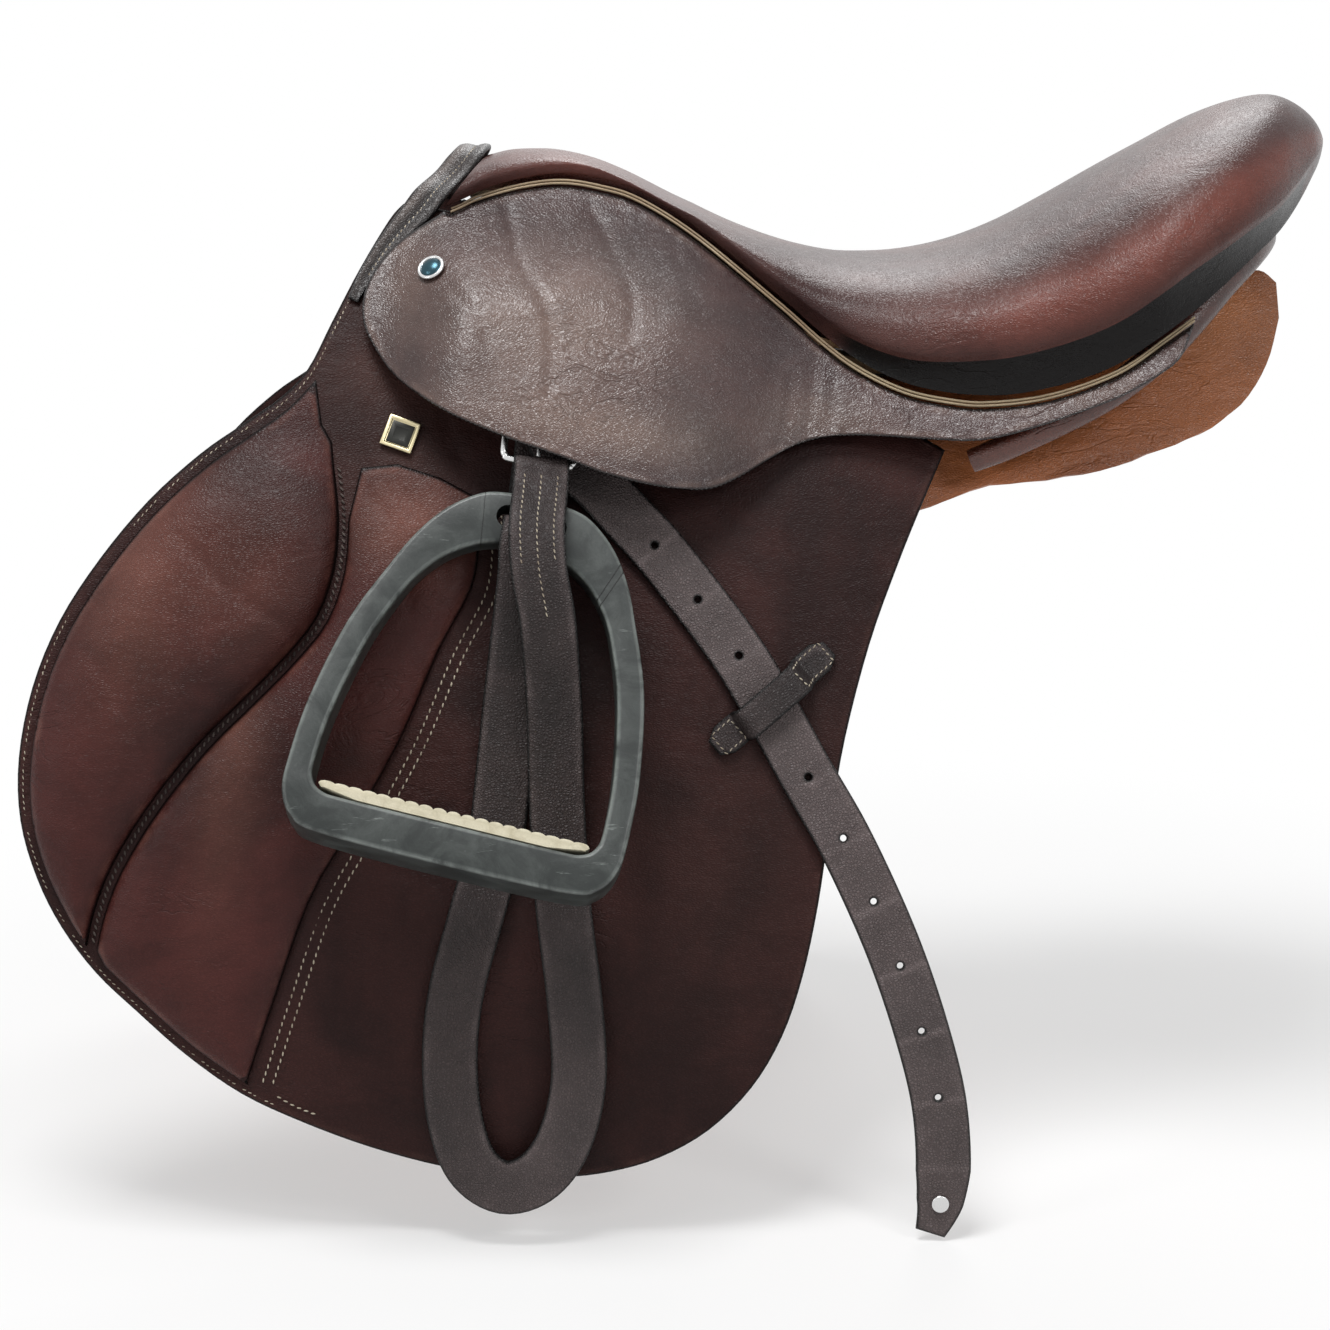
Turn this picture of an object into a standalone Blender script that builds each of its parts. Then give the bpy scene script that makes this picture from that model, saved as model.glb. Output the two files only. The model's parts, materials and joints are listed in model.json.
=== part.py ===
"""All-purpose English saddle, built as separate named pieces.

Frame: +X runs to the cantle, -Y is the near side, +Z is up. The origin lies on the
centreline, in the plane that the panels bear on, below the seat's deepest point.
Lengths are in millimetres and become metres where a mesh is made.

The flap, skirt and stirrup leather lie in layers over one curved side, the flank.
A place on it is (s, d, n): s runs back along the stirrup bar's line, d runs down
from that line, and n is the distance outwards from the flank.
"""

import math

import bmesh
import bpy
from mathutils import Vector

MM = 0.001
GAP = 0.3

# Flank: the ruled surface that the flap hangs on
BAR_LINE_X = -144.0
BAR_LINE_Z = 71.4
BAR_LINE_SLOPE = math.radians(8.9)
FLANK_HALF_WIDTH = [
    (-130, 12), (-105, 25), (-86, 36.5), (-60, 53), (-30, 73), (0, 92), (50, 117),
    (100, 137), (160, 156), (240, 175), (320, 186), (400, 190),
]

# Layers over the flank, measured outwards from it
FLAP_THICK = 4.0
SWEAT_FLAP_INNER = -9.8
SWEAT_FLAP_THICK = 3.2
SWEAT_FLAP_TOP = [(150, 2), (60, -4), (-18, 8), (-54, 8), (-64, -20)]
GIRTH_STRAP_N = -3.2
GIRTH_STRAP_THICK = 3.8
SKIRT_THICK = 4.2
SKIRT_OFFSET = 10.0
SKIRT_BULGE = 24.0
SKIRT_BULGE_FRONT_S = (-86, -34)
SKIRT_BULGE_REAR_S = (48, 128)
SKIRT_BULGE_D = (-80, -24)
SKIRT_FRONT_FLARE = 2.2
SKIRT_FRONT_FLARE_S = (-92, -66)
SKIRT_REAR_FLARE = [(105, 0), (150, 4), (180, 10), (205, 16), (230, 24), (260, 40), (290, 54)]
PAD_GAP = 0.3

# Stirrup bar and the fold lines of flap and skirt
BAR_N = 14.5
BAR_RADIUS = 3.5
BAR_FRONT_S = -30.0
BAR_REAR_S = 26.0
FLAP_CUT_GAP = 4.0
SKIRT_FOLD_D = -22.0
SKIRT_FOLD_Y = 115.0
SKIRT_EDGE_FOLD_D = -11.0
SKIRT_EDGE_FOLD_Y = 121.5
SKIRT_FOLD_GAP = 1.6
SKIRT_REAR_CUT_S = 150.0
SKIRT_REAR_GAP = 0.4
SKIRT_HINGE_S = 60.0

# Stirrup leather
LEATHER_WIDTH = 25.0
LEATHER_THICK = 3.2
LEATHER_CLEARANCE = 0.9
LEATHER_BAR_S = 3.0
TIP_RIVET_RADIUS = 4.0
TIP_RIVET_HEIGHT = 1.6

# Route of the stirrup leather, as (s, d, n, turn of its width): from the buckle's heel
# to the loop's bottom, back up to the iron, over the eye, up to the bar, and the tail.
# The off side's tail shares the first points and then hangs straighter.
LEATHER_HEEL = (5.5, 3.0, 27.5, 0)
LEATHER_DROP = [
    (6, 48, 30, 0), (6.5, 54, 34, 0), (7, 61, 38.5, 0), (8.5, 70, 40.5, 0), (12, 84, 39.5, 0),
    (19, 105, 34, 0), (27, 141, 22, 0), (33, 175, 15.5, 2), (38, 200, 14, 5), (45, 230, 13.5, 9),
    (56, 269, 13, 10), (63, 303, 13, 0), (61, 331, 13, 22), (52, 350, 12.5, 58), (37, 358, 11.5, 90),
    (21, 350, 10.5, 126), (10, 328, 9.5, 158), (4, 300, 8.5, 176), (3, 272, 8, 182), (6.5, 240, 7.8, 187),
    (10, 208, 7.8, 184), (9, 176, 8.5, 178), (7.5, 145, 12, 177), (6.5, 112, 22, 178), (6, 95, 28.5, 179),
    (5.5, 84, 32.5, 180),
]
LEATHER_EYE = [
    # d and n, both measured from the eye's centre
    (8, 14.2), (2, 14.6), (-2, 12.8), (-3, 9), (-1.7, 4.5), (0, 0), (1.6, -5), (2.2, -8.6), (-0.5, -11.8),
    (-6, -13.3),
]
LEATHER_RISE = [(4, 50, 7.4, 180), (3.5, 34, 7.3, 180), (3, 18, 7.3, 180)]
LEATHER_TAIL = [
    (3, 8, 21.8, 180), (3.5, 16, 21, 178), (5.5, 24.5, 19.2, 160), (11, 32.5, 17, 140), (20, 39.5, 15, 128),
    (33, 48, 12.5, 127), (47, 59, 10, 129), (61, 69.5, 8.2, 132), (83, 89, 7.2, 136), (106, 111, 7.2, 139),
    (124, 132, 7.2, 142), (143, 156, 7.2, 143), (163, 180, 8.5, 147), (182, 207, 8, 151), (198, 233, 6.5, 155),
    (213, 262, 5, 159), (225, 290, 4.5, 164), (232, 317, 4, 172), (234, 338, 4, 181), (232, 353, 4, 186),
]
LEATHER_TAIL_SHARED = 12
LEATHER_TAIL_OFF = [
    (157, 180, 7.2, 155), (165, 207, 7.2, 166), (169, 233, 7.2, 174), (170, 262, 7.2, 178),
    (170, 290, 7.2, 180), (170, 317, 7.2, 180), (170, 338, 7.2, 180), (170, 353, 7.2, 180),
]
LEATHER_BAR_STEPS = 6
LEATHER_TIP_SHARES = (0.55, 0.85)

# Buckle of the stirrup leather
BUCKLE_WIRE = 3.4
TONGUE_RADIUS = 1.3
BUCKLE_INNER_WIDTH = 28.5
BUCKLE_S = 3.0
BUCKLE_TOP_D = 16.0
BUCKLE_HEEL_D = 39.5
BUCKLE_N = 25.5
BUCKLE_CORNER = 3.0
TONGUE_START = 2.6
TONGUE_REST = 4.0
TONGUE_PAST = 1.0
TONGUE_BELLY = 1.0

# Stirrup iron, in its own plane: u across, v down from the eye
IRON_EYE_S = 4.5
IRON_EYE_D = 67.0
IRON_EYE_N = 21.0
IRON_SWING = math.radians(5.3)
IRON_TILT = math.radians(27.0)
IRON_EYE_WIDTH = 32.0
IRON_EYE_HEIGHT = 10.4
IRON_CHAMFER = 2.2
FOOT_BAR_TOP_V = 143.5
TREAD_HALF_LENGTH = 60.0
TREAD_SIDE_GAP = 2.5
TREAD_THICK = 6.0
TREAD_DEPTH = 29.0
TREAD_RIDGES = 19
TREAD_RIDGE_HEIGHT = 1.6
TREAD_SIDE = 3.2
TREAD_SIDE_INSET = 1.5
TREAD_FOOT = [(9.0, 1.2), (17.0, 0.0)]
TREAD_RIDGE = [(0.02, 1.0), (0.30, 0.0), (0.70, 0.0)]
IRON_HALF = [
    # outer u, outer v, inner u, inner v, depth
    (0.0, -12.0, 0.0, 11.0, 13.0),
    (13.0, -11.2, 10.0, 12.3, 13.0),
    (25.0, -8.0, 21.0, 16.0, 13.0),
    (38.0, 2.5, 32.0, 23.5, 14.0),
    (48.0, 17.0, 41.0, 34.0, 15.5),
    (56.0, 35.0, 47.5, 46.5, 17.5),
]
IRON_SIDE = [
    # as above, with v measured down from the foot bar's top
    (67.0, -78.5, 56.0, -72.5, 21.5),
    (74.0, -40.5, 62.5, -38.5, 26.5),
    (75.5, -11.5, 64.0, -13.5, 30.0),
]
IRON_FOOT = [
    # as above, with u measured from the foot bar's inner corner
    (11.8, 2.5, 0.0, -5.0, 32.0),
    (5.5, 12.5, -5.5, -0.8, 32.0),
    (-7.5, 17.0, -17.5, 0.0, 32.0),
]
IRON_FOOT_MIDDLE = (18.0, 0.0, 32.0)

# Girth straps
GIRTH_STRAP_WIDTH = 25.0
GIRTH_STRAP_PITCH = 33.0
GIRTH_STRAP_GRID = 55.0
GIRTH_STRAP_FRONT_X = -142.0
GIRTH_STRAP_TOP_Z = 66.0
GIRTH_STRAP_END_Z = -232.0
GIRTH_STRAP_TIP = 14.0
GIRTH_STRAP_TIP_HALF = 5.0

# Outlines on the flank, (s, d), read downwards from the front top
FLAP_FRONT = [
    (-79, -60), (-84, -52), (-93, -29), (-101, -4), (-108, 18), (-118, 32),
    (-133, 46), (-149, 61), (-168, 84), (-185, 112), (-198, 141), (-205, 171),
    (-206, 202), (-201, 229), (-190, 253), (-176, 273), (-158, 291), (-137, 306),
    (-113, 322), (-86, 336), (-57, 345), (-25, 352), (8, 356), (35, 356), (62, 353),
    (84, 347), (105, 337), (125, 321), (141, 299), (151, 274), (156, 246), (158, 214),
    (158, 178), (159, 140), (164, 98), (172, 62), (180, 33), (187, 10),
]
FLAP_TOP = [(150, -4), (110, -20), (60, -38), (15, -50), (-25, -57), (-58, -60)]
SEAM_FRONT_PAD = [
    (-86, 57), (-80, 78), (-78, 100), (-82, 122), (-93, 141), (-107, 160),
    (-126, 185), (-143, 214), (-155, 242), (-160, 264), (-161, 279),
]
SEAM_REAR_PAD = [
    (-22, 61), (-18, 80), (-18, 100), (-28, 128), (-39, 169), (-55, 211), (-68, 244),
    (-77, 290), (-82, 318), (-84, 329),
]
SKIRT_LOWER = [
    (-59, -60), (-75, -46), (-84, -33), (-88, -20), (-86, -7), (-78, 4), (-66, 14),
    (-44, 22), (-25, 27), (-6, 31), (12, 34), (31, 38), (50, 40), (68, 40.5), (82, 39),
    (94, 33), (106, 24.5), (119, 16), (132, 11), (150, 7.5), (177, 4.5), (200, 1),
    (222, -8), (244, -20), (262, -31.5), (279, -46), (284, -54),
]

# Welt, the sewn line between seat and skirt, as (x, z)
WELT_LINE = [
    (-196, 138), (-186, 142), (-177, 146), (-158, 151), (-139, 153), (-121, 150.5), (-102, 144.5),
    (-74, 127.5), (-37, 98), (-16, 80), (0, 69), (20, 60), (40, 56), (58, 55), (86, 59),
    (115, 70), (136, 84), (150, 94),
]
WELT_RADIUS = 1.1
WELT_SEAT_GAP = 3.9
WELT_SKIRT_GAP = 2.2
WELT_FRONT_S = -56.0
SKIRT_FRONT_S = -58.0

# Seat: top line of the centreline section, and the sizes along it, by x
SEAT_TOP = [
    (-176, 164), (-165, 166.5), (-150, 167), (-131, 164), (-112, 157), (-83, 142.5), (-53, 129.5),
    (-24, 120.5), (1, 117), (25, 118), (50, 123), (74, 132), (98, 144.5), (122, 158),
    (146, 171), (170, 184), (189, 191), (201, 193), (213, 189), (223, 180), (229, 170),
]
SEAT_BASE = [
    (-190, 150), (-172, 148), (-150, 145), (-136, 132), (-120, 116), (-60, 92), (0, 78.5), (60, 80),
    (100, 95.5), (134, 112), (150, 119.5), (175, 126), (190, 132), (206, 140), (215, 149), (224, 160), (229, 167),
]
SEAT_ROLL_RISE = [(-176, 4), (-120, 5), (-60, 9), (0, 17), (50, 23), (120, 25), (180, 26), (210, 24), (229, 3)]
SEAT_ROLL_OUT = [(-176, 1), (-100, 1.5), (-40, 4), (20, 8), (80, 10), (140, 9), (200, 11), (216, 12), (229, 1)]
SEAT_LEAN = [(-176, 0.75), (-150, 0.5), (-120, 0.2), (-90, 0.0), (229, 0.0)]
SEAT_REAR_EDGE = [
    (136, 117.5, 84), (150, 112.5, 94), (165, 104, 105.5), (180, 91, 117), (195, 72, 127), (208, 50, 138.5),
    (218, 32, 150), (225, 17, 159), (229, 3, 167),
]
SEAT_EDGE_BLEND = 45.0
SEAT_LEAST_RISE = 2.0
SEAT_LEAST_THICK = 4.0
SEAT_DOME_ACROSS = 0.92
SEAT_DOME_RISE = 0.8
SEAT_DOME_POINTS = 7
SEAT_SIDE_POINTS = 3
SEAT_UNDER_SHARES = (0.86, 0.7, 0.45, 0.0)
SEAT_UNDER_FLAT = 0.55
SEAT_STATIONS = [
    -176, -167, -155, -141, -125, -107, -87, -65, -43, -21, 0, 22, 44, 66, 88, 108, 128, 146, 162, 177,
    190, 202, 212, 220, 226, 229,
]
LEAN_PASSES = 12

# Tree: the side rail's centreline on the near side, as (x, half width, z)
TREE_RAIL = [
    (-160, 0, 137), (-158, 18, 133), (-150, 34, 118), (-126, 42, 101), (-90, 46, 89.5), (-60, 50, 82),
    (0, 56, 68.5), (60, 59, 70), (100, 56, 83), (130, 42, 97), (143, 22, 104), (147, 0, 106),
]
TREE_RAIL_WIDTH = 22.0
TREE_RAIL_THICK = 7.0

# Steel head plate under the tree's head, and the webs stretched on the tree
HEAD_PLATE_WIDTH = 16.0
HEAD_PLATE_THICK = 3.0
HEAD_PLATE_X = -160.0
HEAD_PLATE_ARCH = [(-30, 105.5), (-23, 118), (-13, 127.2), (0, 129.8)]
WEB_THICK = 1.6
GIRTH_WEB_WIDTH = 26.0
GIRTH_WEB_PATH = [(-64.5, -3), (-62.5, 4.5), (-51, 8.4), (-20, 8.8), (0, 9.0)]
GIRTH_WEB_FRONT_X = -109.0
GIRTH_WEB_FRONT_DROP = 1.4
GIRTH_WEB_REAR_X = -77.0
GIRTH_WEB_REAR_DROP = -0.2
GIRTH_WEB_SLOPE = -0.33
SEAT_WEB_WIDTH = 46.0
SEAT_WEB_PATH = [(-144.8, 115.4), (-120, 95), (-90, 83), (-60, 75), (0, 63), (60, 64), (95, 75), (126, 89)]

# Facing that binds the front arch
FACING_WIDTH = 15.0
FACING_THICK = 2.4
FACING_ARCH = [(0, 168), (16, 167), (27, 162.5), (34, 155)]
FACING_SIDE = [
    (-66.5, -68, 1.0), (-70, -60, 1.0), (-77, -50, 0.8), (-84, -38, 0.62), (-89.5, -26, 0.48), (-93, -15, 0.34),
]
FACING_STAND_OFF = 9.3

# Stirrup bar's arm, as (s past the bar's front end, d, n, radius)
BAR_ARM = [
    (-3.5, 0, 12.8, 3.2), (-6, 0, 9, 2.7), (-7, 0, 3, 2.3), (-7, -2, -2.6, 2.2), (-7, -9, -4.8, 2.0),
    (-7, -24, -5.0, 2.0), (-5, -31, -7.5, 2.2), (0, -36, -11, 2.6), (7.5, -39.7, -14, 3.0),
    (15.4, -41.8, -16.8, 3.0),
]
CATCH_LENGTH = 13.0
CATCH_GAP = 0.7
CATCH_PIVOT = 4.0
CATCH_TIP_RISE = 3.5
CATCH_TIP_LENGTH = 4.0
CATCH_RADII = (2.0, BAR_RADIUS, 3.0, 2.6)

# Small metal on the leather
NAIL_PLACE = (-58, -34)
NAIL_RADIUS = 6.6
NAIL_HEIGHT = 3.0
NAIL_SEAT_GAP = 0.6
NAIL_DOME = [(0.0, 1.0), (0.25, 1.0), (0.7, 0.78), (1.0, 0.35)]
STUD_PLACE = (-61, 39.5)
STUD_HALF = 7.5
STUD_THICK = 1.6
STUD_TURN = math.radians(10.0)
STUD_SEAT_GAP = 0.7
STUD_PROFILE = [(0.0, 1.0), (0.6, 1.0), (1.0, 0.88)]

# Panels: x, centre half width, centre z, half length, half thickness, tilt in degrees
PANEL_STATIONS = [
    (-196, 62, 84, 34, 9, 58), (-180, 64, 76, 46, 15, 57), (-140, 70, 60, 58, 19, 54),
    (-90, 77, 46, 60, 21, 48), (-40, 79, 37, 54, 23, 41), (10, 77, 34, 44, 25, 33),
    (60, 74, 44, 36, 26, 25), (105, 71, 49, 34, 28, 19), (140, 66, 60, 32, 31, 13),
    (165, 60, 70, 30, 32, 8), (186, 54, 80, 26, 28, 4), (199, 50, 90, 18, 19, 1), (205, 47, 96, 7, 8, 0),
]
PANEL_FULLNESS = 2.7
PANEL_CEILING = [
    (-196, 100), (-150, 101), (-126, 90), (-90, 79.8), (-60, 74), (0, 62.8), (60, 64.3), (100, 76.3),
    (130, 90), (150, 98), (175, 104), (190, 109), (205, 114),
]
PANEL_SIDE_GAP = 2.6
PANEL_YIELD = 0.04
PANEL_SPACING = 0.9
PANEL_RINGS = 18
PANEL_SIDES = 16
FACING_ROLL = [
    (51, 104, 28), (73, 107, 38), (109, 107.5, 57), (134, 102, 75), (150, 94, 90), (168, 80, 107.5),
    (184, 62, 119.5), (196, 34, 125.8), (200, 5, 127.3),
]
FACING_ROLL_RADIUS = 7.5
FACING_ROLL_LEAST = 0.55
FACING_ROLL_SWELL = (0.12, 0.92)

# Grids of the sheets, and the knee pads
FLAP_GRID = 42.0
SKIRT_GRID = 30.0
SWEAT_FLAP_GRID = 60.0
PAD_GRID = 16.5
PAD_EDGE_D = (18, 336)
PAD_SPLIT_D = 280.0
PAD_EDGE_INSET = 6.0
FRONT_PAD_HEIGHT = 13.0
REAR_PAD_HEIGHT = 9.0
PAD_ROUNDING = 24.0
PAD_RIM = 1.2
PAD_SEAM_GAP = 2.2
PAD_SEAM_DROP = 1.0
FRONT_PAD_TOP = [(-91, 47), (-97, 40)]
REAR_PAD_TOP = [(-40, 55), (-60, 52), (-76, 56)]

# Sweat flap, cut back from the flap's edge
SWEAT_FLAP_FIRST_D = -30.0
SWEAT_FLAP_INSET = 9.0
SWEAT_FLAP_FRONT_D = 30.0
SWEAT_FLAP_FRONT_EASE = 8.0

# Keeper on the flap
KEEPER_FROM = (101, 152)
KEEPER_TO = (146, 102)
KEEPER_WIDTH = 15.0
KEEPER_THICK = 2.6
KEEPER_RISE = 7.0
KEEPER_SIDE_GAP = 3.4
KEEPER_END = 8.0
KEEPER_END_SHARE = 0.55
KEEPER_STEP = 2.5
KEEPER_ROUND = 3.0
KEEPER_ROUND_SHARE = 0.8


def curve_value(points, x, column=1):
    """Return a smooth value at x from points sorted by their first number."""
    if x <= points[0][0]:
        return points[0][column]
    if x >= points[-1][0]:
        return points[-1][column]
    k = 0
    while points[k + 1][0] < x:
        k += 1
    x0, x1 = points[k][0], points[k + 1][0]
    y0, y1 = points[k][column], points[k + 1][column]
    slope = (y1 - y0) / (x1 - x0)
    before = slope
    after = slope
    if k > 0:
        before = (y0 - points[k - 1][column]) / (x0 - points[k - 1][0])
    if k + 2 < len(points):
        after = (points[k + 2][column] - y1) / (points[k + 2][0] - x1)
    m0 = 0.5 * (before + slope) if before * slope > 0 else 0.0
    m1 = 0.5 * (slope + after) if slope * after > 0 else 0.0
    limit = 3.0 * abs(slope)
    m0 = max(-limit, min(limit, m0))
    m1 = max(-limit, min(limit, m1))
    h = x1 - x0
    t = (x - x0) / h
    return ((2 * t**3 - 3 * t**2 + 1) * y0 + (t**3 - 2 * t**2 + t) * h * m0
            + (3 * t**2 - 2 * t**3) * y1 + (t**3 - t**2) * h * m1)


def smooth_step(edge0, edge1, x):
    """Return 0 before edge0, 1 past edge1 and a smooth ramp between."""
    t = max(0.0, min(1.0, (x - edge0) / (edge1 - edge0)))
    return t * t * (3.0 - 2.0 * t)


def spline(points, steps, closed=False):
    """Return points on a Catmull-Rom curve through vectors of any size."""
    count = len(points)
    size = len(points[0])
    result = []
    spans = count if closed else count - 1
    for k in range(spans):
        if closed:
            a, b, c, d = (points[(k + j) % count] for j in (-1, 0, 1, 2))
        else:
            a = points[max(k - 1, 0)]
            b = points[k]
            c = points[k + 1]
            d = points[min(k + 2, count - 1)]
        for step in range(steps):
            t = step / steps
            result.append(tuple(
                0.5 * (2 * b[i] + (c[i] - a[i]) * t
                       + (2 * a[i] - 5 * b[i] + 4 * c[i] - d[i]) * t * t
                       + (3 * b[i] - a[i] - 3 * c[i] + d[i]) * t**3)
                for i in range(size)))
    if not closed:
        result.append(tuple(points[-1]))
    return result


def flank(d):
    """Half width of the flank at distance d below the bar line."""
    return curve_value(FLANK_HALF_WIDTH, d)


def to_xz(s, d):
    """Turn a place on the flank into x and z."""
    x = BAR_LINE_X + s * math.cos(BAR_LINE_SLOPE) - d * math.sin(BAR_LINE_SLOPE)
    z = BAR_LINE_Z - s * math.sin(BAR_LINE_SLOPE) - d * math.cos(BAR_LINE_SLOPE)
    return x, z


def to_sd(x, z):
    """Turn x and z into a place on the flank."""
    dx = x - BAR_LINE_X
    dz = z - BAR_LINE_Z
    s = dx * math.cos(BAR_LINE_SLOPE) - dz * math.sin(BAR_LINE_SLOPE)
    d = -dx * math.sin(BAR_LINE_SLOPE) - dz * math.cos(BAR_LINE_SLOPE)
    return s, d


def flank_point(s, d, n):
    """Near-side point at (s, d, n)."""
    x, z = to_xz(s, d)
    return Vector((x, -(flank(d) + n), z))


def bar_point(s, d, out):
    """Near-side point at s and d, with out measured from the centreline."""
    x, z = to_xz(s, d)
    return Vector((x, -out, z))


def skirt_offset(s, d):
    """Distance of the skirt's middle from the flank."""
    across = smooth_step(*SKIRT_BULGE_FRONT_S, s) * (1.0 - smooth_step(*SKIRT_BULGE_REAR_S, s))
    down = smooth_step(*SKIRT_BULGE_D, d)
    rear = curve_value(SKIRT_REAR_FLARE, s)
    front = SKIRT_FRONT_FLARE * (1.0 - smooth_step(*SKIRT_FRONT_FLARE_S, s))
    return SKIRT_OFFSET + SKIRT_BULGE * across * down + rear + front


def flank_slope(d):
    """How fast the flank widens with d."""
    return 0.5 * (flank(d + 1.0) - flank(d - 1.0))


def along_bar():
    """Direction of the bar line, towards the back."""
    return Vector((math.cos(BAR_LINE_SLOPE), 0.0, -math.sin(BAR_LINE_SLOPE)))


def below_bar():
    """Direction straight down from the bar line, in the saddle's side view."""
    return Vector((-math.sin(BAR_LINE_SLOPE), 0.0, -math.cos(BAR_LINE_SLOPE)))


def in_flank(d, turn):
    """Direction that lies in the near flank at d, turned from the bar line."""
    angle = math.radians(turn)
    down = below_bar() + Vector((0.0, -flank_slope(d), 0.0))
    return along_bar() * math.cos(angle) + down * math.sin(angle)


def outward(half_width, s, d):
    """Normal, away from the horse, of a near-side surface given by its half width."""
    slope_s = 0.5 * (half_width(s + 1.0, d) - half_width(s - 1.0, d))
    slope_d = 0.5 * (half_width(s, d + 1.0) - half_width(s, d - 1.0))
    return (Vector((0.0, -1.0, 0.0)) - along_bar() * slope_s - below_bar() * slope_d).normalized()


def skirt_half_width(s, d):
    """Distance of the skirt's middle from the centreline."""
    return flank(d) + skirt_offset(s, d)


def material(name, color, roughness, metallic=0.0):
    """Make a Principled material with the piece's own colour."""
    made = bpy.data.materials.new(name)
    made.use_nodes = True
    shader = made.node_tree.nodes["Principled BSDF"]
    shader.inputs["Base Color"].default_value = (*color, 1.0)
    shader.inputs["Roughness"].default_value = roughness
    shader.inputs["Metallic"].default_value = metallic
    return made


FINISHES = {
    "seat_leather": ((0.075, 0.030, 0.022), 0.38, 0.0),
    "flap_leather": ((0.040, 0.018, 0.018), 0.48, 0.0),
    "pad_leather": ((0.085, 0.028, 0.018), 0.42, 0.0),
    "panel_leather": ((0.36, 0.13, 0.035), 0.45, 0.0),
    "strap_leather": ((0.050, 0.026, 0.018), 0.55, 0.0),
    "welt_leather": ((0.48, 0.27, 0.10), 0.5, 0.0),
    "web": ((0.55, 0.50, 0.40), 0.9, 0.0),
    "tree_wood": ((0.30, 0.19, 0.10), 0.6, 0.0),
    "steel": ((0.45, 0.45, 0.46), 0.35, 1.0),
    "polished_steel": ((0.62, 0.62, 0.64), 0.2, 1.0),
    "composite": ((0.085, 0.09, 0.095), 0.45, 0.0),
    "tread_rubber": ((0.66, 0.62, 0.50), 0.75, 0.0),
}


def make(name, verts, faces, finish, origin=(0.0, 0.0, 0.0), smooth_angle=40.0):
    """Make one closed piece from millimetre points round its own origin."""
    centre = Vector(origin)
    mesh = bpy.data.meshes.new(name)
    mesh.from_pydata([tuple((Vector(v) - centre) * MM) for v in verts], [], faces)
    bm = bmesh.new()
    bm.from_mesh(mesh)
    bmesh.ops.remove_doubles(bm, verts=bm.verts, dist=1e-6)
    bmesh.ops.dissolve_degenerate(bm, edges=bm.edges, dist=1e-6)
    bmesh.ops.recalc_face_normals(bm, faces=bm.faces)
    bm.to_mesh(mesh)
    bm.free()
    mesh.shade_smooth()
    mesh.set_sharp_from_angle(angle=math.radians(smooth_angle))
    piece = bpy.data.objects.new(name, mesh)
    piece.location = centre * MM
    color, roughness, metallic = FINISHES[finish]
    mesh.materials.append(material(name, color, roughness, metallic))
    bpy.context.scene.collection.objects.link(piece)
    return piece


def make_pair(name, verts, faces, finish, origin=(0.0, 0.0, 0.0), smooth_angle=40.0):
    """Make a near-side piece and its mirror image on the off side."""
    near = make(name + "_near", verts, faces, finish, origin, smooth_angle)
    mirrored = [(v[0], -v[1], v[2]) for v in verts]
    off = make(name + "_off", mirrored, faces, finish, (origin[0], -origin[1], origin[2]), smooth_angle)
    return near, off


CUT_NORMALS = {"above": (0, 1, 0), "below": (0, -1, 0), "before": (1, 0, 0), "behind": (-1, 0, 0)}


def sheet(outline, inner, outer, grid, keep=(), at=None):
    """Closed leather sheet over an outline on the flank.

    inner and outer give n at a place; keep holds cuts as (side, level), where side
    is 'above' or 'below' a level of d, or 'before' or 'behind' a level of s; at
    turns (s, d, n) into a point.
    """
    at = at or flank_point
    bm = bmesh.new()
    corners = [bm.verts.new((p[0], p[1], 0.0)) for p in outline]
    bm.faces.new(corners)
    for axis in (0, 1):
        low = min(p[axis] for p in outline)
        high = max(p[axis] for p in outline)
        line = math.floor(low / grid) * grid
        while line < high:
            normal = (1, 0, 0) if axis == 0 else (0, 1, 0)
            bmesh.ops.bisect_plane(
                bm, geom=bm.verts[:] + bm.edges[:] + bm.faces[:], dist=0.4,
                plane_co=(line, line, 0), plane_no=normal)
            line += grid
    for side, level in keep:
        normal = CUT_NORMALS[side]
        bmesh.ops.bisect_plane(
            bm, geom=bm.verts[:] + bm.edges[:] + bm.faces[:], dist=0.01,
            plane_co=(level, level, 0), plane_no=normal, clear_outer=True)
    bmesh.ops.triangulate(bm, faces=bm.faces[:], quad_method="SHORT_EDGE", ngon_method="BEAUTY")
    bm.verts.index_update()
    count = len(bm.verts)
    flat = [(v.co.x, v.co.y) for v in bm.verts]
    faces = [[v.index for v in f.verts] for f in bm.faces]
    rim = [tuple(v.index for v in e.verts) for e in bm.edges if len(e.link_faces) == 1]
    bm.free()
    verts = [at(s, d, outer(s, d)) for s, d in flat]
    verts += [at(s, d, inner(s, d)) for s, d in flat]
    solid = [list(f) for f in faces]
    solid += [[i + count for i in reversed(f)] for f in faces]
    solid += [[a, b, b + count, a + count] for a, b in rim]
    return verts, solid


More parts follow.
